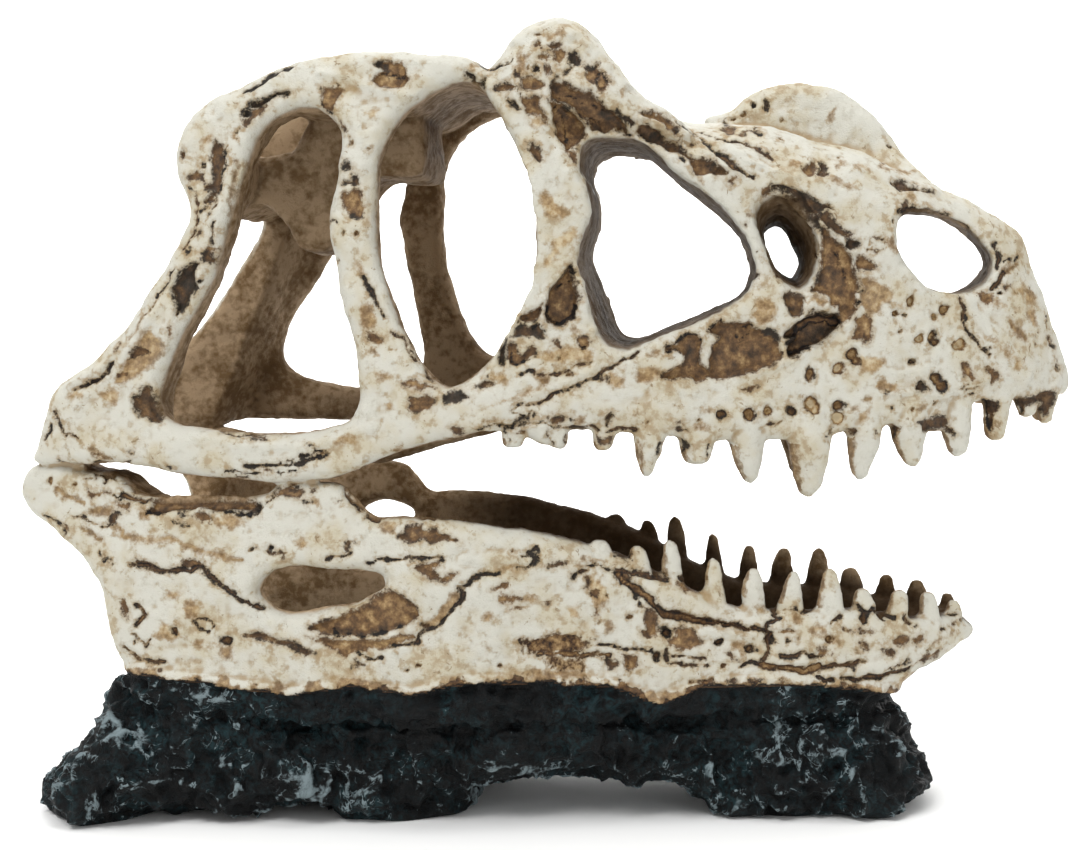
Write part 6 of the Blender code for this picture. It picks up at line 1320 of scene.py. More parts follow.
relief["jawFront"] = {
    "patches": [
        (0.62, 0.6, [21.1, 36.9, 22.2, 37.4, 23.8, 36.8, 26, 36.1, 28, 35.7, 29.8, 35.1, 31.6, 35, 32.7,
            34.8, 34, 34.1, 36, 34, 36.2, 33.4, 33.8, 33.5, 32, 33.9, 29.8, 34.3, 27.6, 34.4, 26.2, 34.6,
            25.3, 35.2, 23.1, 35.4, 21.1, 35.8]),
        (0.5, 0.15, [22.4, 34, 23.6, 34.2, 25.4, 34, 26, 33.2, 26.2, 32.4, 27, 31.8, 27.2, 31, 25, 30.4,
            23.2, 30.2, 21.4, 31, 21, 32, 22.4, 32.4, 22.8, 33]),
        (0.6, 0.2, [31.2, 29.6, 32, 29.6, 33, 28.8, 33.6, 28.3, 32.4, 28.4, 31.4, 28.8]),
        (0.35, 0.1, [32.6, 31.2, 34, 31.1, 34.8, 30.6, 34.2, 29.4, 33.2, 30, 32, 30.6]),
        (0.72, 0.3, [31.4, 25, 32, 25.6, 32.8, 25.4, 33, 24.6, 31.6, 24.4]),
        (0.75, 0.3, [34.2, 24.4, 35, 24.9, 36.4, 25, 37.4, 24.7, 36, 24.3]),
        (0.9, 0.6, [37, 33.6, 38.4, 33.8, 39.4, 32.2, 39.6, 31.2, 38.2, 30.6, 37.5, 31.6, 38, 32.4]),
        (0.55, 0.2, [46, 29.6, 46.8, 30.2, 48.2, 30, 49.8, 29.8, 49.4, 29.2, 48, 28.8, 46.8, 28.7]),
        (0.5, 0.2, [39.9, 32.7, 40.6, 33.1, 42, 33.2, 43, 32.9, 42.6, 32.5, 40.8, 32.3]),
        (0.4, 0.1, [42.2, 35.8, 43, 36.4, 43.9, 35.8, 43.8, 34.9, 43, 34.6, 42.2, 35]),
        (0.45, 0.1, [32.6, 37.9, 33.4, 38, 34.4, 36.8, 33.4, 36.6, 32.7, 37.2]),
        (0.4, 0.1, [35.8, 37, 36.6, 37.6, 37.6, 37.2, 37.4, 36.6, 36.4, 36.3]),
        (0.5, 0.1, [22.4, 41.7, 24, 41.6, 27, 41.4, 26.8, 40.6, 25.4, 40, 24.2, 39.8, 23.4, 40.4]),
        (0.6, 0.3, [50.8, 33.9, 51.6, 33.6, 52.8, 32.8, 52, 32.4, 51.2, 32.8]),
        (0.5, 0.2, [53.4, 33.3, 54.4, 33.1, 56, 32.6, 55.6, 32.1, 54.6, 32.5]),
        (0.4, 0.1, [45.6, 33.8, 47.8, 33.8, 48, 33, 46.4, 32.6, 45.2, 33.2]),
        (0.42, 0.15, [47, 31.9, 48.2, 32.5, 49.6, 32, 50.2, 31, 49, 30.8]),
        (0.6, 0.3, [53.7, 31, 54.4, 31, 55.4, 29.9, 55.2, 29.4, 54.4, 29.8]),
        (0.45, 0.1, [52.4, 29.6, 53.4, 29.4, 54, 29, 53.4, 28.9]),
        (0.58, 0.25, [59.2, 30.6, 60, 31.4, 61.4, 31.6, 62.4, 31.1, 62.2, 30.2, 61.6, 29.9, 60.2, 30]),
        (0.65, 0.3, [57.2, 29.6, 58.6, 29.7, 60, 29.2, 59.9, 28.6, 59.4, 28.2, 58.4, 28.6]),
        (0.55, 0.25, [62.8, 30.6, 63.6, 31, 64.4, 31.6, 65.2, 31.6, 65, 30.8, 64, 30.2, 63.4, 29.7]),
        (0.95, 0.5, [61.1, 26.7, 61.6, 27.4, 62, 28, 62.5, 27.4, 62.4, 26.8]),
        (0.6, 0.3, [63.8, 27, 64.8, 27.8, 66, 28.4, 67, 28.6, 69, 28.4, 68, 27.8, 66.4, 27.4, 65, 26.8]),
        (0.3, 0.0, [60.4, 23, 61.6, 23.4, 62.6, 24, 63.2, 24.8, 62.4, 24.6, 61, 24]),
        (0.6, 0.2, [50.6, 24.4, 51.4, 24.8, 51.4, 24, 53.4, 23, 50.8, 23]),
    ],
    "cracks": [
        (1.1, 0.75, [19.6, 37.7, 20.9, 36.3, 22.2, 35.9, 23.8, 35.7, 25.8, 35.3, 27.6, 34.8]),
        (0.8, 0.78, [27.6, 34.8, 29.8, 34.5, 32, 34.3, 33.8, 33.8, 36, 33.6, 37.4, 33.5]),
        (0.6, 0.75, [22, 29.3, 24, 29.1, 25.4, 28.8, 27.8, 28.5]),
        (0.6, 0.7, [22, 28, 24, 27.6, 26, 27.5, 27.8, 27.4]),
        (0.5, 0.8, [21.1, 30.4, 21.2, 28]),
        (0.7, 0.85, [16.6, 43, 18, 42.9, 20, 42.8, 21.4, 42.3]),
        (1.0, 1.0, [23.2, 42.3, 24.8, 42, 26.4, 42]),
        (0.9, 0.9, [39.1, 37.2, 39.4, 36.2, 40.1, 35.4, 38.3, 34.6, 38.4, 33.4, 39.2, 32.3]),
        (0.8, 0.75, [39.2, 32.3, 37.9, 31.2, 38, 29.9, 37.3, 28.3]),
        (0.6, 0.85, [33.3, 27.3, 34.9, 27.9, 37, 27.5]),
        (1.3, 0.68, [37, 27.5, 38.7, 27, 42, 26.7, 44.7, 26, 46.9, 27]),
        (0.7, 0.68, [46.9, 27, 48.5, 26.9, 50.1, 27.2, 52.1, 27.2, 54.4, 27.5]),
        (0.7, 0.8, [40.5, 28.8, 42.8, 29, 44.3, 29.3, 45.4, 28.8, 46.6, 28.6]),
        (0.3, 0.8, [40.7, 36.5, 42.8, 36.6]),
        (0.5, 0.85, [43, 36.9, 44, 36.5, 45.6, 36.5]),
        (0.6, 0.75, [49, 34.2, 49.8, 35, 50.8, 35.3]),
        (0.8, 0.85, [46.6, 25.2, 48, 24.6, 49, 24.2]),
        (0.9, 0.85, [51.2, 24.9, 53.6, 24.5, 56, 24.9, 58.4, 25.2, 60.6, 25.4, 62.6, 25.8]),
        (0.8, 0.95, [53.1, 36.9, 54, 36, 55.8, 36, 57, 36.4, 58.2, 35.8, 59.2, 35.2, 60, 34.7]),
        (0.7, 0.7, [62, 34.8, 63, 34.1]),
        (0.5, 0.75, [68.6, 32.3, 69.4, 32.4]),
        (0.4, 0.6, [70.4, 32.6, 71, 32.7]),
        (0.5, 0.9, [70.4, 34.4, 71.4, 34.2]),
        (0.3, 0.45, [66, 29.8, 68, 30.4, 70, 31, 71, 31.2]),
        (0.6, 0.6, [25, 24.8, 27, 24.6, 28.8, 24.9]),
    ],
    "pits": [(21, 33.1, 0.95, 0.85, 1), (30, 31.5, 1, 0.75, 0.95), (35.4, 30.1, 0.85, 0.8, 0.95),
        (19.7, 29, 0.6, 0.9, 0.95), (30.4, 27.6, 0.5, 0.4, 0.5), (45.6, 28.8, 0.7, 0.6, 1),
        (41.6, 31.1, 0.3, 0.3, 0.8), (43.2, 31.6, 0.3, 0.25, 0.7), (48.5, 31.5, 0.8, 0.8, 0.6),
        (54.4, 34.8, 0.75, 0.9, 0.85), (58, 35.6, 0.9, 0.8, 0.95), (52.9, 26.4, 0.2, 0.15, 0.7),
        (59, 26.4, 0.35, 0.2, 0.7), (60.5, 26.8, 0.35, 0.25, 0.9), (63.9, 33.3, 0.3, 0.25, 0.95),
        (66.3, 29.3, 0.35, 0.3, 0.85), (65.9, 28.8, 0.3, 0.3, 0.7), (72.4, 33.2, 0.4, 0.3, 0.7)],
    "ridges": [
        (2.0, 0.4, [38, 25.2, 46, 24.9, 52, 26.2]),
        (1.6, 0.35, [52, 26.3, 58, 26.8, 64, 28]),
        (1.6, 0.3, [24, 32.8, 30, 33, 36, 32.4]),
    ],
}
# ridges of the rock's right face as (width, height, line)
rockRidges = [
    (1.0, 0.7, [-22.6, 12, -22, 14, -20, 15.8, -18.4, 15.6, -16.6, 14.4, -15.4, 12.6, -14.4, 10.4, -13, 8]),
    (0.8, 0.5, [-16.4, 11.5, -16.4, 8]),
    (1.0, 0.7, [-44, 10.6, -42, 11, -40, 10.6, -38.8, 9, -39.4, 7, -41, 5.6, -42.4, 4.6]),
    (0.8, 0.5, [-46, 3.6, -44, 5.6, -42, 6.4]),
    (0.9, 0.6, [-60, 11.8, -57, 11.6, -55, 10.6, -53, 11.4, -53, 10, -53, 8, -52.4, 6]),
    (0.7, 0.5, [-60.6, 7.6, -60.2, 6, -60, 4]),
    (1.1, 0.7, [-73.8, 3.4, -74.4, 5, -73.6, 6.6, -71.8, 8, -70.6, 9]),
    (1.1, 0.6, [-72.8, 2.4, -71.2, 4.6, -69.8, 6.6]),
    (0.8, 0.6, [-84, 5, -82, 7, -80, 8.4, -78, 9.4, -76.6, 12]),
    (0.7, 0.5, [-83, 4, -80, 6.4, -77.6, 8.4]),
    (0.8, 0.6, [-74, 15.6, -73, 16.6, -72, 16.4]),
    (0.9, 0.7, [-72, 13, -71, 15, -70, 16.4, -69, 16.4, -68.6, 15]),
    (0.7, 0.5, [-52, 18, -51.4, 15, -51, 12]),
    (0.7, 0.5, [-50, 17, -49.4, 15.4, -48.8, 13.6]),
    (1.3, 0.8, [8.8, 17.6, 9.4, 15, 9.4, 13, 10, 11]),
    (0.7, 0.5, [12, 14, 13.6, 13.2, 14.4, 12.2]),
    (0.6, 0.5, [28.8, 14, 28.8, 12]),
    (1.0, 0.6, [31, 18.6, 33, 17, 34.4, 15, 36, 13.6, 37, 11, 37.6, 8.6]),
    (0.9, 0.6, [30, 8, 32, 7, 33, 5]),
    (0.8, 0.6, [38, 4, 39.4, 3, 41, 3.2, 41.4, 6]),
    (0.8, 0.5, [44, 14.6, 47, 13.4, 50, 12.4, 53, 12.8, 54, 12]),
    (0.8, 0.5, [50, 18, 54, 17, 57, 15.4, 60, 14.6, 60.8, 12]),
    (0.7, 0.5, [54.6, 14, 56, 10, 56.4, 7]),
    (1.0, 0.5, [62, 14, 64, 11, 65, 8.6, 65.6, 7.4]),
]


# relief and paint on the outer faces: how deep a point is carved and how far inside each stain it lies
surface = {
    "warpSize": 2.6,
    "warp": 0.5,
    "fineWarpSize": 1.2,
    "fineWarp": 0.3,
    "leftShift": 2.4,                      # the left face carries the same marks less exactly
    "crackDepth": 0.42,
    "pitDepth": 0.8,
    "rockSizes": (8.0, 3.8, 1.8),
    "rockHeights": (1.25, 0.75, 0.34),
    "gritSize": 1.3,
    "grit": 0.16,
    "swellSize": 6.0,
    "swell": 0.5,
}
plainPoints = points.copy()
marks = {name: np.full(len(points), -3.0) for name in ("wash", "stain", "line")}
tones = {name: np.zeros(len(points)) for name in marks}
carve = np.zeros(len(points))
raised = np.zeros(len(points))
jawNames = ("surangular", "dentary", "jawFront")


def knotLine(values):                      # x and z in turn, as rows
    return np.array(values, float).reshape(-1, 2)


def nearLine(x, z, line, reach):           # which points lie in the box around a line
    (x0, z0), (x1, z1) = np.min(line, axis=0) - reach, np.max(line, axis=0) + reach
    return np.flatnonzero((x > x0) & (x < x1) & (z > z0) & (z < z1))


def addMark(layer, chosen, inside, tone):
    mark, shade = marks[layer], tones[layer]
    closer = (inside > mark[chosen]) & ((inside < 0) | (mark[chosen] < 0))
    wins = closer | (inside > 0) & (tone > shade[chosen])
    shade[chosen[wins]] = tone
    mark[chosen] = np.maximum(mark[chosen], inside)


def applyRelief(entry, chosen, x, z, strength):
    for tone, depth, outline in entry["patches"]:
        line = knotLine(outline)
        near = nearLine(x, z, line, 1.2)
        if len(near):
            side = np.where(insideLoop(x[near], z[near], line), 1, -1)
            inside = side * lineDistance(x[near], z[near], line)
            addMark("wash" if tone < 0.48 else "stain", chosen[near], inside, tone)
            depths = 1.15 * depth * smoothStep(inside, -0.15, 0.5) * strength[near]
            carve[chosen[near]] = np.maximum(carve[chosen[near]], depths)
    for width, tone, knots in entry["cracks"]:
        line = knotLine(knots)
        near = nearLine(x, z, line, 1.2 + width / 2)
        if len(near):
            inside = width / 2 - lineDistance(x[near], z[near], line, closed=False)
            addMark("line" if tone > 0.5 else "wash", chosen[near], inside, tone)
            depth = surface["crackDepth"] * (0.55 + 0.6 * width) * smoothStep(tone, 0.2, 0.7)
            cut = depth * smoothStep(inside, -0.28, 0.3) * strength[near]
            carve[chosen[near]] = np.maximum(carve[chosen[near]], cut + 0.4 * carve[chosen[near]])
    for px, pz, halfWide, halfTall, tone in entry["pits"]:
        corners = [(px - halfWide, pz - halfTall), (px + halfWide, pz + halfTall)]
        near = nearLine(x, z, corners, 1.0)
        if len(near):
            reach = np.hypot((x[near] - px) / halfWide, (z[near] - pz) / halfTall)
            inside = (1 - reach) * min(halfWide, halfTall)
            addMark("line", chosen[near], inside, tone)
            depth = surface["pitDepth"] * min(1, 0.35 + min(halfWide, halfTall)) * strength[near]
            carve[chosen[near]] = np.maximum(carve[chosen[near]], depth * smoothStep(1.25 - reach, 0, 0.9))
    for width, height, knots in entry.get("ridges", ()):
        line = knotLine(knots)
        near = nearLine(x, z, line, 1.0 + width / 2)
        if len(near):
            inside = width / 2 - lineDistance(x[near], z[near], line, closed=False)
            lift = 0.8 * height * smoothStep(inside, -0.35, width / 2) * strength[near]
            raised[chosen[near]] = np.maximum(raised[chosen[near]], lift)


# the nasal blade and the roof stand free of the sides, so their faces count as outer ones
bladeFoot = [(-95, 200), (14, 200), (20, 100), (60, 104), (95, 100)]
roofFoot = [(-95, 100), (-60, 112), (-40, 121), (0, 124), (14, 122), (30, 111), (60, 104), (80, 96), (95, 86)]
roofTop = smoothStep(normals[:, 2], 0.25, 0.6) * smoothStep(sideZ - lookUp(roofFoot, sideX), 0, 3)
crest = ofSkull * np.maximum(smoothStep(sideZ - lookUp(bladeFoot, sideX), 0, 2), roofTop)
for k in range(13):                        # short scraper strokes side by side
    relief["dentary"]["cracks"].append((0.3, 0.6, [-3.4 + 0.82 * k, 32.9, -2.4 + 0.82 * k, 30.2]))
    if k < 8:
        relief["dentary"]["cracks"].append((0.25, 0.52, [0.8 + 0.8 * k, 29.2, 1.6 + 0.8 * k, 27.2]))
for sign, seed in ((-1.0, 40), (1.0, 70)):
    facing = smoothStep(outward, -0.1, 0.35) * np.maximum(smoothStep(-depthIn, -6.5, -3.5), crest)
    for skullPart in (True, False):
        names = [name for name in relief if (name in jawNames) != skullPart]
        chosen = np.flatnonzero((sideSign == sign) & (facing > 0) & (ofSkull == skullPart))
        where = plainPoints[chosen]
        drift = surface["leftShift"] if sign > 0 else 0.0
        x = sideX[chosen] + surface["warp"] * layeredNoise(where, surface["warpSize"], seed)
        z = sideZ[chosen] + surface["warp"] * layeredNoise(where, surface["warpSize"], seed + 5)
        x += surface["fineWarp"] * valueNoise(where, surface["fineWarpSize"], seed + 9)
        z += surface["fineWarp"] * valueNoise(where, surface["fineWarpSize"], seed + 12)
        if drift:
            x += drift * valueNoise(where, 15.0, seed + 15)
            z += drift * valueNoise(where, 15.0, seed + 18)
        for name in names:
            applyRelief(relief[name], chosen, x, z, facing[chosen])
print("carved", int((carve > 0.05).sum()), "points and raised", int((raised > 0.05).sum()))

gumLow = lookUp([(5, 45), (20, 42.5), (28, 41.5), (36, 38), (46, 36.8), (60, 35), (75, 34)], sideX)
gumHigh = lookUp([(-8, 66.2), (20, 64.6), (45, 65), (62, 67.5), (78, 71.5), (92, 73.5)], sideX)
ofTooth = np.where(ofSkull, (sideZ < gumHigh) & (sideX > -8), (sideZ > gumLow) & (sideX > 6) & ~ofSkull)

# the seam with the rock is a ragged, blotched edge: layer, rise, drip, drip size, seed, most and tone
seamLayers = [("wash", 0.5, 3.6, 2.6, 27, 1, 0.46), ("stain", 0.2, 2.8, 1.9, 25, 1, 0.64),
              ("line", 0.3, 0.0, 2.0, 23, 0.5, 0.97)]
seamHeight = plainPoints[:, 2] - lookUp(seamKnots, plainPoints[:, 0])
seamRag = seamHeight + cast["seamRag"] * layeredNoise(plainPoints, *cast["seamNoise"])
everywhere = np.arange(len(points))
for layer, rise, drip, dripSize, seed, most, tone in seamLayers:
    drips = drip * layeredNoise(plainPoints, dripSize, seed)
    addMark(layer, everywhere, np.clip(rise - seamRag + drips, -3, most), tone)

# the rock: curly ridges over blocks
rockWeight = ofRock * smoothStep(-seamHeight, 0.2, 1.6)
ofRockIndex = np.flatnonzero(ofRock)
rockSpots = plainPoints[ofRockIndex]
curl = np.stack([layeredNoise(rockSpots, 4.0, seed, 2) for seed in (81, 83, 85)], axis=1)
ridge = np.zeros(len(points))
rockLift = np.zeros(len(points))
for size, height, seed in zip(surface["rockSizes"], surface["rockHeights"], (90, 94, 98)):
    fold = (1.0 - np.abs(valueNoise(rockSpots + 0.7 * size * curl, size, seed)) * 2.2).clip(-0.8, 1)
    rockLift[ofRockIndex] += height * (fold - 0.2)
    ridge[ofRockIndex] += height * smoothStep(fold, 0.5, 1.0)
chosen = ofRockIndex[rockSpots[:, 1] < 4]
x = plainPoints[chosen, 0] + 0.5 * valueNoise(plainPoints[chosen], 2.0, 60)
z = plainPoints[chosen, 2] + 0.5 * valueNoise(plainPoints[chosen], 2.0, 63)
for width, height, knots in rockRidges:
    line = knotLine(knots)
    near = nearLine(x, z, line, 1.5)
    if len(near):
        inside = width / 2 - lineDistance(x[near], z[near], line, closed=False)
        lift = height * smoothStep(inside, -0.6, 0.3)
        rockLift[chosen[near]] += lift
        ridge[chosen[near]] += 0.9 * lift
baseFade = smoothStep(plainPoints[:, 2], 0.2, 1.4)
# painted shade: the top middle of the rock, under the overhanging jaw, gets less dry brush and stays dark
underJawShade = smoothStep(plainPoints[:, 0], -60, -35) * smoothStep(-plainPoints[:, 0], -45, -20)
ridge -= 1.2 * smoothStep(plainPoints[:, 2], 9, 18) * underJawShade    # less dry brush under the jaw: painted shade where the jaw overhangs the rock
grit = surface["grit"] * layeredNoise(plainPoints, surface["gritSize"], 30, 2)
grit += surface["swell"] * layeredNoise(plainPoints, surface["swellSize"], 33, 2)
lip = 0.55 * smoothStep(seamHeight, -0.9, 0.1) * smoothStep(-seamHeight, -1.9, -0.5)
lift = raised - 1.25 * carve + (grit + lip) * ~ofRock + (rockLift - 0.4) * rockWeight * baseFade
points = plainPoints + normals * lift[:, None]
points[:, 2] = np.maximum(points[:, 2], 0.0)    # stands flat
normals = faceNormals(points)

# hollows take tan wash and painted shade; the inner faces are painted flat brown, deepened to umber as
# painted shade
hollow = ((spread(points, 14) - points) * normals).sum(axis=1)
window = ofSkull & (sideX > -64) & (sideX < 79)
window &= (sideZ < lookUp(roofFoot, sideX) + 2) & (sideZ > gumHigh + 2)
inner = np.maximum(smoothStep(-outward, -0.5, 0.0) * smoothStep(depthIn, 0.2, 2.4),
                   smoothStep(depthIn, 3.2, 6.0)) * (1 - crest) * ~ofRock
toothBack = smoothStep(-normals[:, 0], 0.3, 0.8) * ofTooth * smoothStep(outward, -0.6, 0.2)
addMark("wash", everywhere, np.where(toothBack > 0.02, toothBack - 0.45, -3.0), 0.47)
inner = np.maximum(inner, window * smoothStep(depthIn, 1.3, 3.0) * smoothStep(0.85 - outward, 0, 0.3))
toothLight = smoothStep(sideZ - gumLow, 0.5, 4.0) * smoothStep(sideX, 12, 34)
# painted shade: the inner brown deepens to umber inside the snout's windows, towards the front of the jaw's
# inside and in hollows; far tooth tips above the gum get less of it
skullUmberShade = 0.3 + 0.4 * window * smoothStep(sideX, 0, 8)
jawUmberShade = smoothStep(sideX, -32, -8) * (0.9 - 0.6 * toothLight)
umberShade = np.where(ofSkull, skullUmberShade, jawUmberShade)
umberShade += 0.5 * smoothStep(hollow, 0.02, 0.3) * ofSkull
# painted shade: teeth faces turned into the mouth take the inner brown
farTooth = ofTooth * smoothStep(-outward, -0.2, 0.3)
inner = np.maximum(inner, farTooth)

# the back, the front, the top and the horns are outer faces, whatever their depth
backFace = smoothStep(-normals[:, 0], 0.4, 0.75) * smoothStep(-sideX, 54, 62)
frontFace = smoothStep(normals[:, 0], 0.3, 0.7) * smoothStep(sideX, 70, 78) * ~(farTooth > 0)
inner *= 1 - 0.9 * backFace
inner *= 1 - 0.9 * frontFace
topFace = smoothStep(normals[:, 2], 0.3, 0.6) * smoothStep(sideZ, 96, 100) * smoothStep(sideX, -12, -4)
hornFace = smoothStep(normals[:, 2], -0.25, 0.05) * smoothStep(sideZ, 119, 122) * smoothStep(sideX, 2, 8)
inner *= 1 - 0.95 * np.maximum(topFace, hornFace)
print("surface finished")


# one piece for each bone and one for the rock: a bone keeps the points that lie nearest to its solid
boneNames = [name for name in frame["nodes"] if name != "rock_base"]
soup, triangles, owners = [], [], []
for index, name in enumerate(boneNames):
    solid = frame["nodes"][name]
    start = len(soup)
    shift = Vector((cast["shiftX"], 0, 0))
    soup += [tuple((solid.matrix_world @ v.co) / mm - shift) for v in solid.data.vertices]
    for face in solid.data.polygons:
        corners = [start + v for v in face.vertices]
        triangles += [(corners[0], corners[k], corners[k + 1]) for k in range(1, len(corners) - 1)]
        owners += [index] * (len(corners) - 2)
solidTree = BVHTree.FromPolygons(soup, triangles)
owners = np.array(owners)
nearest = owners[[solidTree.find_nearest(p)[2] for p in plainPoints.tolist()]]
nearest[ofRock] = len(boneNames)
pieceOf = np.zeros(len(quads), int)
best = np.full(len(quads), -1.0)
for index in range(len(boneNames) + 1):
    score = spread((nearest == index).astype(float), 8)[quads].sum(axis=1)
    pieceOf[score > best] = index
    best = np.maximum(best, score)
print("sorted the casting into", len(boneNames) + 1, "pieces")


def rimLoops(faces):                       # the closed rings of edges that belong to one face alone
    sides = np.concatenate([faces[:, [k, (k + 1) % 4]] for k in range(4)])
    keys = np.sort(sides, axis=1)
    _, first, count = np.unique(keys[:, 0] * len(points) + keys[:, 1], return_index=True, return_counts=True)
    following = {}
    for a, b in sides[first[count == 1]].tolist():
        following.setdefault(b, []).append(a)      # against the face's direction, so that a cap faces out
    loops = []
    while following:
        start = at = next(iter(following))
        loop = []
        while at in following:
            loop.append(at)
            targets = following[at]
            at = targets.pop()
            if not targets:
                del following[loop[-1]]
            if at == start:
                break
        if len(loop) > 2 and at == start:
            loops.append(loop)
    return loops


capRule = {"reach": 13, "flatness": 0.9, "lean": 0.1}    # which cut ends can be closed without showing


def splitPiece(name, index, finish, fields):
    used = quads[pieceOf == index]
    keep, order = np.unique(used, return_inverse=True)
    order = order.reshape(-1, 4)
    co = points[keep]
    bend = normals[keep]
    caps = []
    for loop in rimLoops(order):           # a cut end is closed inside the casting, where nothing shows it
        rim = co[loop]
        middle = (rim - 0.8 * bend[loop]).mean(axis=0)
        flatness = np.linalg.svd(rim - rim.mean(axis=0), compute_uv=False)[2] / math.sqrt(len(loop))
        reach = np.linalg.norm(rim - middle, axis=1)
        outwards = ((middle - rim) * bend[loop]).sum(axis=1) / reach    # above zero, the cap would stick out
        small = reach.max() < capRule["reach"] or flatness < capRule["flatness"]
        if small and outwards.max() < capRule["lean"]:
            co = np.vstack([co, middle])
            bend = np.vstack([bend, np.cross(rim[1] - rim[0], middle - rim[0])])
            caps += [(loop[k], loop[(k + 1) % len(loop)], len(co) - 1) for k in range(len(loop))]
    corners = np.concatenate([order.ravel(), np.array(caps, np.int64).ravel()])
    starts = np.concatenate([np.arange(0, order.size, 4), order.size + 3 * np.arange(len(caps))])
    world = co * mm
    world[:, 0] += cast["shiftX"] * mm
    mesh = bpy.data.meshes.new(name)
    mesh.vertices.add(len(co))
    mesh.vertices.foreach_set("co", world.ravel())
    mesh.loops.add(len(corners))
    mesh.loops.foreach_set("vertex_index", corners)
    mesh.polygons.add(len(starts))
    mesh.polygons.foreach_set("loop_start", starts)
    mesh.update(calc_edges=True)
    mesh.polygons.foreach_set("use_smooth", np.ones(len(mesh.polygons), bool))
    for field, values in fields.items():
        mesh.attributes.new(field, "FLOAT", "POINT").data.foreach_set("value", np.append(
            values[keep], np.zeros(len(co) - len(keep))))
    mesh.normals_split_custom_set_from_vertices(bend / np.linalg.norm(bend, axis=1)[:, None])
    mesh.update()
    piece = linkObject(name, mesh)
    mesh.materials.append(finish)
    return piece


# materials

def paint(text):                           # sRGB hex to linear
    channels = [int(text[k:k + 2], 16) / 255 for k in (1, 3, 5)]
    return [c / 12.92 if c <= 0.04045 else ((c + 0.055) / 1.055) ** 2.4 for c in channels] + [1.0]


def addNode(tree, kind, inputs=None, **settings):
    node = tree.nodes.new(kind)
    for key, value in settings.items():
        setattr(node, key, value)
    for socket, value in (inputs or {}).items():
        if isinstance(value, bpy.types.NodeSocket):
            tree.links.new(value, node.inputs[socket])
        else:
            node.inputs[socket].default_value = value
    return node


def startMaterial(name):
    material = bpy.data.materials.new(name)
    material.use_nodes = True
    tree = material.node_tree
    tree.nodes.clear()
    where = addNode(tree, "ShaderNodeTexCoord").outputs["Object"]
    return material, tree, where


def perMetre(size):                        # texture scale for a pattern of this size in millimetres
    return 1.0 / (size * mm)


def spanInputs(look):                      # each span is from low, from high, to low, to high
    return {name: dict(zip((1, 2, 3, 4), ends)) for name, ends in look["spans"].items()}


# painted_resin_bone: cast resin, cream coat with umber wash wiped into the relief, with painted shade in the
# hollows and on the inner faces; reads as old dry bone
boneLook = {
    "colours": {
        "cream": "#BFBDB2",
        "creamWarm": "#B3A98F",
        "creamGrey": "#A09A8A",
        # tan of the wash halos, also the tan of the painted shade in hollows
        "halo": "#937C58",
        "speck": "#77603F",
        "inner": "#B0987A",
        "innerDark": "#6E5639",
        # painted shade on the inner faces
        "umberShade": "#35271A",
    },
    "toneStops": [(0.0, "#BEAE8E"), (0.22, "#9C8157"), (0.38, "#7A5D38"), (0.52, "#5E4223"),
                  (0.68, "#432C16"), (0.84, "#27180C"), (1.0, "#0C0704")],
    "patterns": {                          # millimetres and detail; the grain is drawn coarser to show
        "cloud": (7.0, 3),
        "mottle": (1.5, 4),
        "edge": (0.55, 2),
        "grain": (0.3, 2),
    },
    "speckSize": 1.6,
    "spans": {
        "cloudy": (0.42, 0.66, 0.0, 0.75),
        "dusty": (0.5, 0.75, 0.0, 0.55),
        # painted shade and tan wash in hollows
        "hollowWashAndShade": (0.0, 0.16, 0.0, 0.8),
        "tanned": (0.98, 1.2, 0.0, 0.6),
        "speck": (0.69, 0.74, 0.0, 0.75),
        "inner": (0.82, 1.1, 0.0, 0.9),
        "roughness": (0.3, 0.7, 0.5, 0.68),
    },
    "halos": {"stain": 1.3, "wash": 0.9, "line": 0.9},          # how far a mark's tan halo reaches
    "layers": {                            # wobble of the edge, softness, cover, tone at the rim and inside
        "wash": (1.3, 0.5, 0.75, 0.0, -0.04),
        "stain": (1.2, 0.26, 0.94, 0.09, -0.04),
        "line": (0.5, 0.15, 0.97, 0.09, -0.38),
    },
    "specular": 0.32,
    "innerSpecular": -0.3,                 # the flat brown paint inside shines far less
    "bump": 0.2,
}
paintedResin, tree, where = startMaterial("painted_resin_bone")
colour = {name: paint(value) for name, value in boneLook["colours"].items()}
span = spanInputs(boneLook)
field = {}
for name in ("wash", "washTone", "stain", "stainTone", "line", "lineTone", "inner", "umberShade", "hollow"):
    field[name] = addNode(tree, "ShaderNodeAttribute", attribute_name=name).outputs["Fac"]
noise = {}
for name, (size, detail) in boneLook["patterns"].items():
    pattern = {"Vector": where, "Scale": perMetre(size), "Detail": detail, "Roughness": 0.6}
    noise[name] = addNode(tree, "ShaderNodeTexNoise", pattern).outputs["Fac"]

# the cream coat, clouded and dusty, with tan wash and painted shade in the hollows
cloudy = addNode(tree, "ShaderNodeMapRange", {0: noise["cloud"], **span["cloudy"]},
                 interpolation_type="SMOOTHSTEP").outputs[0]
base = addNode(tree, "ShaderNodeMix", {0: cloudy, 6: colour["cream"], 7: colour["creamWarm"]},
               data_type="RGBA").outputs[2]
dusty = addNode(tree, "ShaderNodeMapRange", {0: noise["mottle"], **span["dusty"]},
                interpolation_type="SMOOTHSTEP").outputs[0]
base = addNode(tree, "ShaderNodeMix", {0: dusty, 6: base, 7: colour["creamGrey"]},
               data_type="RGBA").outputs[2]
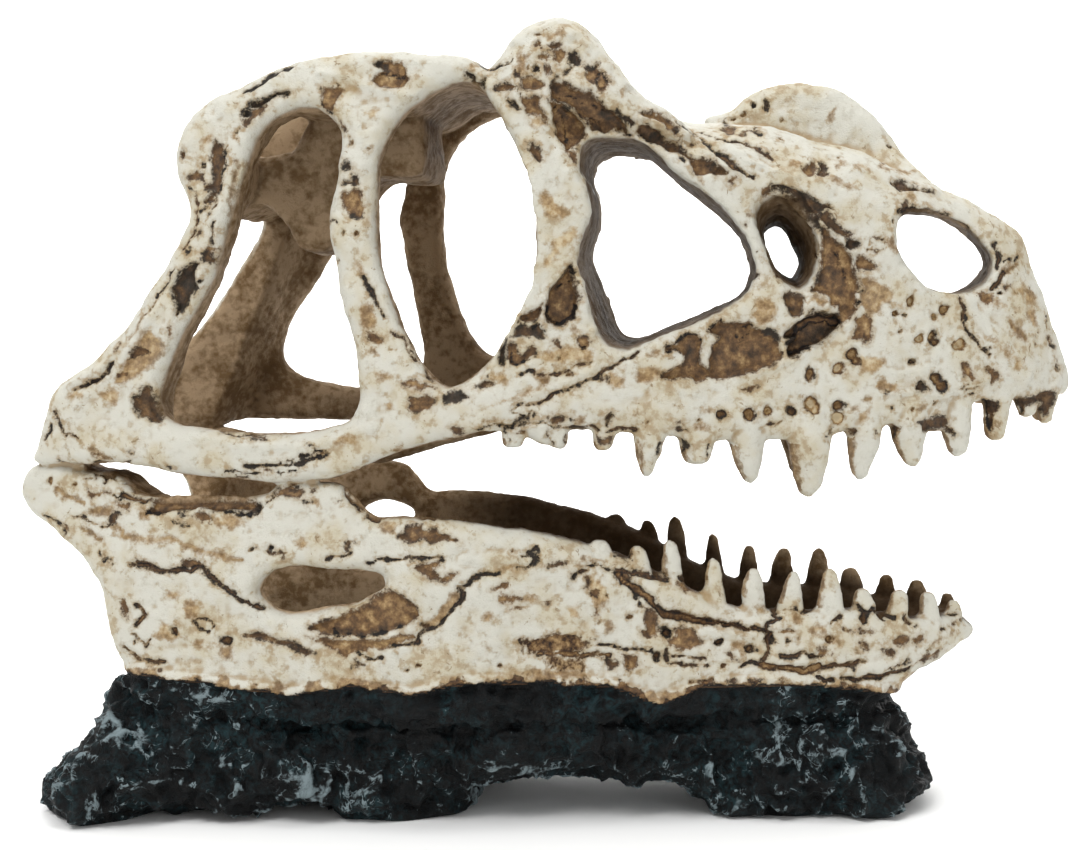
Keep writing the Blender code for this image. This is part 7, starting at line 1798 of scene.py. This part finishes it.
# painted shade: concave spots turn tan, standing in for the shade that falls in them as well as the wash
hollowWashAndShade = addNode(tree, "ShaderNodeMapRange", {0: field["hollow"], **span["hollowWashAndShade"]},
               interpolation_type="SMOOTHSTEP").outputs[0]
base = addNode(tree, "ShaderNodeMix", {0: hollowWashAndShade, 6: base, 7: colour["halo"]}, data_type="RGBA").outputs[2]
halo = addNode(tree, "ShaderNodeMath", {0: noise["mottle"], 1: 4.4, 2: -2.2},
               operation="MULTIPLY_ADD").outputs[0]
for name, reach in boneLook["halos"].items():
    near = addNode(tree, "ShaderNodeMath", {0: halo, 1: field[name]}, operation="ADD").outputs[0]
    near = addNode(tree, "ShaderNodeMapRange", {0: near, 1: -reach, 2: 0.5, 3: 0.0, 4: 0.62},
                   interpolation_type="SMOOTHSTEP").outputs[0]
    base = addNode(tree, "ShaderNodeMix", {0: near, 6: base, 7: colour["halo"]}, data_type="RGBA").outputs[2]
tanned = addNode(tree, "ShaderNodeMath", {0: noise["cloud"], 1: 0.9, 2: noise["mottle"]},
                 operation="MULTIPLY_ADD").outputs[0]
tanned = addNode(tree, "ShaderNodeMapRange", {0: tanned, **span["tanned"]},
                 interpolation_type="SMOOTHSTEP").outputs[0]
base = addNode(tree, "ShaderNodeMix", {0: tanned, 6: base, 7: colour["halo"]}, data_type="RGBA").outputs[2]
speck = addNode(tree, "ShaderNodeTexNoise", {"Vector": where, "Scale": perMetre(boneLook["speckSize"]),
                                             "Detail": 3, "Roughness": 0.7, "Distortion": 0.8}).outputs["Fac"]
speck = addNode(tree, "ShaderNodeMath", {0: cloudy, 1: 0.1, 2: speck}, operation="MULTIPLY_ADD").outputs[0]
speck = addNode(tree, "ShaderNodeMapRange", {0: speck, **span["speck"]}).outputs[0]
base = addNode(tree, "ShaderNodeMix", {0: speck, 6: base, 7: colour["speck"]}, data_type="RGBA").outputs[2]

# the painted marks, each with a ragged edge and uneven tone
covers = {}
for name, (wobble, soft, cover, rimTone, midTone) in boneLook["layers"].items():
    ragged = addNode(tree, "ShaderNodeMath", {0: noise["edge"], 1: wobble, 2: -wobble / 2},
                     operation="MULTIPLY_ADD").outputs[0]
    ragged = addNode(tree, "ShaderNodeMath", {0: ragged, 1: field[name]}, operation="ADD").outputs[0]
    uneven = addNode(tree, "ShaderNodeMath", {0: noise["mottle"], 1: 1.3, 2: -0.68},
                     operation="MULTIPLY_ADD").outputs[0]
    ragged = addNode(tree, "ShaderNodeMath", {0: ragged, 1: uneven}, operation="ADD").outputs[0]
    covers[name] = addNode(tree, "ShaderNodeMapRange", {0: ragged, 1: -soft, 2: soft, 3: 0.0, 4: cover},
                           interpolation_type="SMOOTHSTEP").outputs[0]
    rim = addNode(tree, "ShaderNodeMapRange", {0: ragged, 1: 0.12, 2: 0.5, 3: rimTone, 4: midTone},
                  interpolation_type="SMOOTHSTEP").outputs[0]
    shift = addNode(tree, "ShaderNodeMath", {0: noise["mottle"], 1: 1.5, 2: -0.78},
                    operation="MULTIPLY_ADD").outputs[0]
    toned = addNode(tree, "ShaderNodeMath", {0: field[name + "Tone"], 1: shift}, operation="ADD").outputs[0]
    toned = addNode(tree, "ShaderNodeMath", {0: toned, 1: rim}, operation="ADD").outputs[0]
    ramp = addNode(tree, "ShaderNodeValToRGB", {0: toned})
    stops = boneLook["toneStops"]
    while len(ramp.color_ramp.elements) < len(stops):
        ramp.color_ramp.elements.new(0.5)
    for element, (position, shade) in zip(ramp.color_ramp.elements, stops):
        element.position = position
        element.color = paint(shade)
    base = addNode(tree, "ShaderNodeMix", {0: covers[name], 6: base, 7: ramp.outputs[0]},
                   data_type="RGBA").outputs[2]

# the inner faces, flat brown going to umber as painted shade
innerMix = addNode(tree, "ShaderNodeMath", {0: noise["mottle"], 1: 0.9, 2: noise["cloud"]},
                   operation="MULTIPLY_ADD").outputs[0]
innerMix = addNode(tree, "ShaderNodeMapRange", {0: innerMix, **span["inner"]}).outputs[0]
innerTone = addNode(tree, "ShaderNodeMix", {0: innerMix, 6: colour["inner"], 7: colour["innerDark"]},
                    data_type="RGBA").outputs[2]
innerTone = addNode(tree, "ShaderNodeMix", {0: field["umberShade"], 6: innerTone, 7: colour["umberShade"]},
                    data_type="RGBA").outputs[2]
base = addNode(tree, "ShaderNodeMix", {0: field["inner"], 6: base, 7: innerTone}, data_type="RGBA").outputs[2]
rough = addNode(tree, "ShaderNodeMapRange", {0: noise["mottle"], **span["roughness"]}).outputs[0]
height = addNode(tree, "ShaderNodeMath", {0: covers["line"], 1: -1.1, 2: noise["grain"]},
                 operation="MULTIPLY_ADD").outputs[0]
height = addNode(tree, "ShaderNodeMath", {0: covers["stain"], 1: -0.7, 2: height},
                 operation="MULTIPLY_ADD").outputs[0]
bump = addNode(tree, "ShaderNodeBump", {"Strength": 0.85, "Distance": boneLook["bump"] * mm,
                                        "Height": height})
sheen = addNode(tree, "ShaderNodeMath", {0: field["inner"], 1: boneLook["innerSpecular"],
                                         2: boneLook["specular"]}, operation="MULTIPLY_ADD").outputs[0]
shader = addNode(tree, "ShaderNodeBsdfPrincipled", {"Base Color": base, "Roughness": rough,
                                                    "Specular IOR Level": sheen, "Normal": bump.outputs[0]})
addNode(tree, "ShaderNodeOutputMaterial", {0: shader.outputs[0]})

# painted_resin_rock: cast resin, near-black coat drybrushed grey and teal; reads as wet dark stone
rockLook = {
    "colours": {
        "black": "#010101",
        "slate": "#090E10",
        "teal": "#1A3135",
        "dry": "#829195",
    },
    "patterns": {"patch": 11.0, "fleck": 1.1, "grain": 0.45},   # millimetres
    "veinSize": 4.6,
    "veinWidth": (0.004, 0.022),
    "spans": {
        "slaty": (0.42, 0.62),
        "zone": (0.42, 0.66),
        "dry": (0.68, 1.45, 0.0, 0.85),
        "roughness": (0.3, 0.7, 0.42, 0.7),
    },
    "specular": 0.2,
    "bump": 0.35,
}
stoneResin, tree, where = startMaterial("painted_resin_rock")
colour = {name: paint(value) for name, value in rockLook["colours"].items()}
span = spanInputs(rockLook)
ridgeHeight = addNode(tree, "ShaderNodeAttribute", attribute_name="ridge").outputs["Fac"]
noise = {}
for name, size in rockLook["patterns"].items():
    pattern = {"Vector": where, "Scale": perMetre(size), "Detail": 4, "Roughness": 0.65, "Distortion": 0.6}
    noise[name] = addNode(tree, "ShaderNodeTexNoise", pattern).outputs["Fac"]
slaty = addNode(tree, "ShaderNodeMapRange", {0: noise["fleck"], **span["slaty"]}).outputs[0]
base = addNode(tree, "ShaderNodeMix", {0: slaty, 6: colour["black"], 7: colour["slate"]},
               data_type="RGBA").outputs[2]
zone = addNode(tree, "ShaderNodeMapRange", {0: noise["patch"], **span["zone"]},
               interpolation_type="SMOOTHSTEP").outputs[0]
tealish = addNode(tree, "ShaderNodeMath", {0: zone, 1: slaty}, operation="MULTIPLY").outputs[0]
base = addNode(tree, "ShaderNodeMix", {0: tealish, 6: base, 7: colour["teal"]}, data_type="RGBA").outputs[2]
pattern = {"Vector": where, "Scale": perMetre(rockLook["veinSize"]), "Detail": 3, "Roughness": 0.55,
           "Distortion": 1.0}
vein = addNode(tree, "ShaderNodeTexNoise", pattern).outputs["Fac"]
vein = addNode(tree, "ShaderNodeMath", {0: vein, 1: 0.5}, operation="SUBTRACT").outputs[0]
vein = addNode(tree, "ShaderNodeMath", {0: vein}, operation="ABSOLUTE").outputs[0]
veinEdge, veinEnd = rockLook["veinWidth"]
vein = addNode(tree, "ShaderNodeMapRange", {0: vein, 1: veinEdge, 2: veinEnd, 3: 1.0, 4: 0.0},
               interpolation_type="SMOOTHSTEP").outputs[0]

# the dry brush catches ridges, flecks and veins
brushed = addNode(tree, "ShaderNodeMath", {0: noise["fleck"], 1: 2.4, 2: -1.5},
                  operation="MULTIPLY_ADD").outputs[0]
for layer, strength in ((ridgeHeight, 0.8), (zone, 0.16)):
    brushed = addNode(tree, "ShaderNodeMath", {0: layer, 1: strength, 2: brushed},
                      operation="MULTIPLY_ADD").outputs[0]
veinWeight = addNode(tree, "ShaderNodeMath", {0: zone, 1: 0.5, 2: 0.5}, operation="MULTIPLY_ADD").outputs[0]
brushed = addNode(tree, "ShaderNodeMath", {0: vein, 1: veinWeight, 2: brushed},
                  operation="MULTIPLY_ADD").outputs[0]
dryMask = addNode(tree, "ShaderNodeMapRange", {0: brushed, **span["dry"]},
                  interpolation_type="SMOOTHSTEP").outputs[0]
base = addNode(tree, "ShaderNodeMix", {0: dryMask, 6: base, 7: colour["dry"]}, data_type="RGBA").outputs[2]
rough = addNode(tree, "ShaderNodeMapRange", {0: noise["fleck"], **span["roughness"]}).outputs[0]
height = addNode(tree, "ShaderNodeMath", {0: noise["fleck"], 1: 1.2, 2: noise["grain"]},
                 operation="MULTIPLY_ADD").outputs[0]
height = addNode(tree, "ShaderNodeMath", {0: vein, 1: 0.5, 2: height}, operation="MULTIPLY_ADD").outputs[0]
bump = addNode(tree, "ShaderNodeBump", {"Strength": 0.9, "Distance": rockLook["bump"] * mm, "Height": height})
shader = addNode(tree, "ShaderNodeBsdfPrincipled", {"Base Color": base, "Roughness": rough,
                                                    "Specular IOR Level": rockLook["specular"],
                                                    "Normal": bump.outputs[0]})
addNode(tree, "ShaderNodeOutputMaterial", {0: shader.outputs[0]})
print("materials ready")


fields = {"inner": inner, "umberShade": umberShade, "hollow": hollow}
for name in marks:
    fields[name] = marks[name]
    fields[name + "Tone"] = tones[name]
for index, name in enumerate(boneNames):
    piece = splitPiece("cast_" + name, index, paintedResin, fields)
    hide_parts(name)
    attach(piece, "root")
    print("piece", piece.name, len(piece.data.polygons))
middleX = plainPoints[quads, 0].mean(axis=1)
rockFaces = pieceOf == len(boneNames)
rockParts = {"rear": (-200, -42), "middle": (-42, 14), "front": (14, 200)}
for offset, (name, (start, end)) in enumerate(rockParts.items()):
    index = len(boneNames) + 1 + offset
    pieceOf[rockFaces & (middleX >= start) & (middleX < end)] = index
    stone = splitPiece("cast_rock_" + name, index, stoneResin, {"ridge": ridge})
    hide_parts("rock_base")
    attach(stone, "root")
    print("piece", stone.name, len(stone.data.polygons))

# a pale floor that curves up into a backdrop, soft light from above and from the camera's left
stage = {
    "floor": "#F4F4F3",
    "reach": 1.6,
    "wallAt": 0.75,
    "bend": 0.35,
    "lights": [
        ("key", (-0.3, -0.55, 0.85), 0.4, 5.6),
        ("fill", (0.7, -0.7, 0.3), 0.8, 1.0),
        ("top", (0.05, 0.0, 1.0), 0.6, 5.0),
    ],
    "backdrop": {"size": (2.6, 0.5), "power": 26, "place": (0, 0.32, 0.75), "tilt": 62},
    "world": 0.62,
}
profile = [(-stage["reach"], 0.0)]
for k in range(13):
    turn = math.pi / 2 * k / 12
    profile.append((stage["wallAt"] + stage["bend"] * math.sin(turn), stage["bend"] * (1 - math.cos(turn))))
profile.append((stage["wallAt"] + stage["bend"], stage["reach"]))
corners = [(side * stage["reach"], y, z) for y, z in profile for side in (-1, 1)]
strips = [(2 * k, 2 * k + 1, 2 * k + 3, 2 * k + 2) for k in range(len(profile) - 1)]
floorMesh = bpy.data.meshes.new("floor")
floorMesh.from_pydata(corners, [], strips)
floorMesh.polygons.foreach_set("use_smooth", [True] * len(strips))
floor = linkObject("floor", floorMesh)
paper, tree, where = startMaterial("white_paper")
shader = addNode(tree, "ShaderNodeBsdfPrincipled", {"Base Color": paint(stage["floor"]), "Roughness": 0.9})
addNode(tree, "ShaderNodeOutputMaterial", {0: shader.outputs[0]})
floorMesh.materials.append(paper)
for name, place, width, power in stage["lights"]:
    lamp = bpy.data.lights.new(name, "AREA")
    lamp.size = width
    lamp.energy = power
    item = bpy.data.objects.new(name, lamp)
    item.location = place
    item.rotation_euler = (Vector((0, 0, 0.07)) - Vector(place)).to_track_quat("-Z", "Y").to_euler()
    bpy.context.scene.collection.objects.link(item)
backdrop = stage["backdrop"]               # this light lifts the backdrop alone
lamp = bpy.data.lights.new("backdrop", "AREA")
lamp.shape = "RECTANGLE"
lamp.size, lamp.size_y = backdrop["size"]
lamp.energy = backdrop["power"]
item = bpy.data.objects.new("backdrop", lamp)
item.location = backdrop["place"]
item.rotation_euler = (math.radians(backdrop["tilt"]), 0, 0)
bpy.context.scene.collection.objects.link(item)
world = bpy.data.worlds.new("studio")
world.use_nodes = True
world.node_tree.nodes["Background"].inputs[0].default_value = (1, 1, 1, 1)
world.node_tree.nodes["Background"].inputs[1].default_value = stage["world"]
bpy.context.scene.world = world
bpy.context.scene.view_settings.view_transform = "Standard"

view = {
    "lens": 54,
    "place": (0.02837, -0.2945, 0.08053),
    "tilt": 87.4,
    "turn": 6,
}
lens = bpy.data.cameras.new("camera")
lens.lens = view["lens"]
lens.sensor_width = 36
lens.clip_start = 0.01
camera = bpy.data.objects.new("camera", lens)
camera.location = view["place"]
camera.rotation_euler = (math.radians(view["tilt"]), 0, math.radians(view["turn"]))
bpy.context.scene.collection.objects.link(camera)
bpy.context.scene.camera = camera
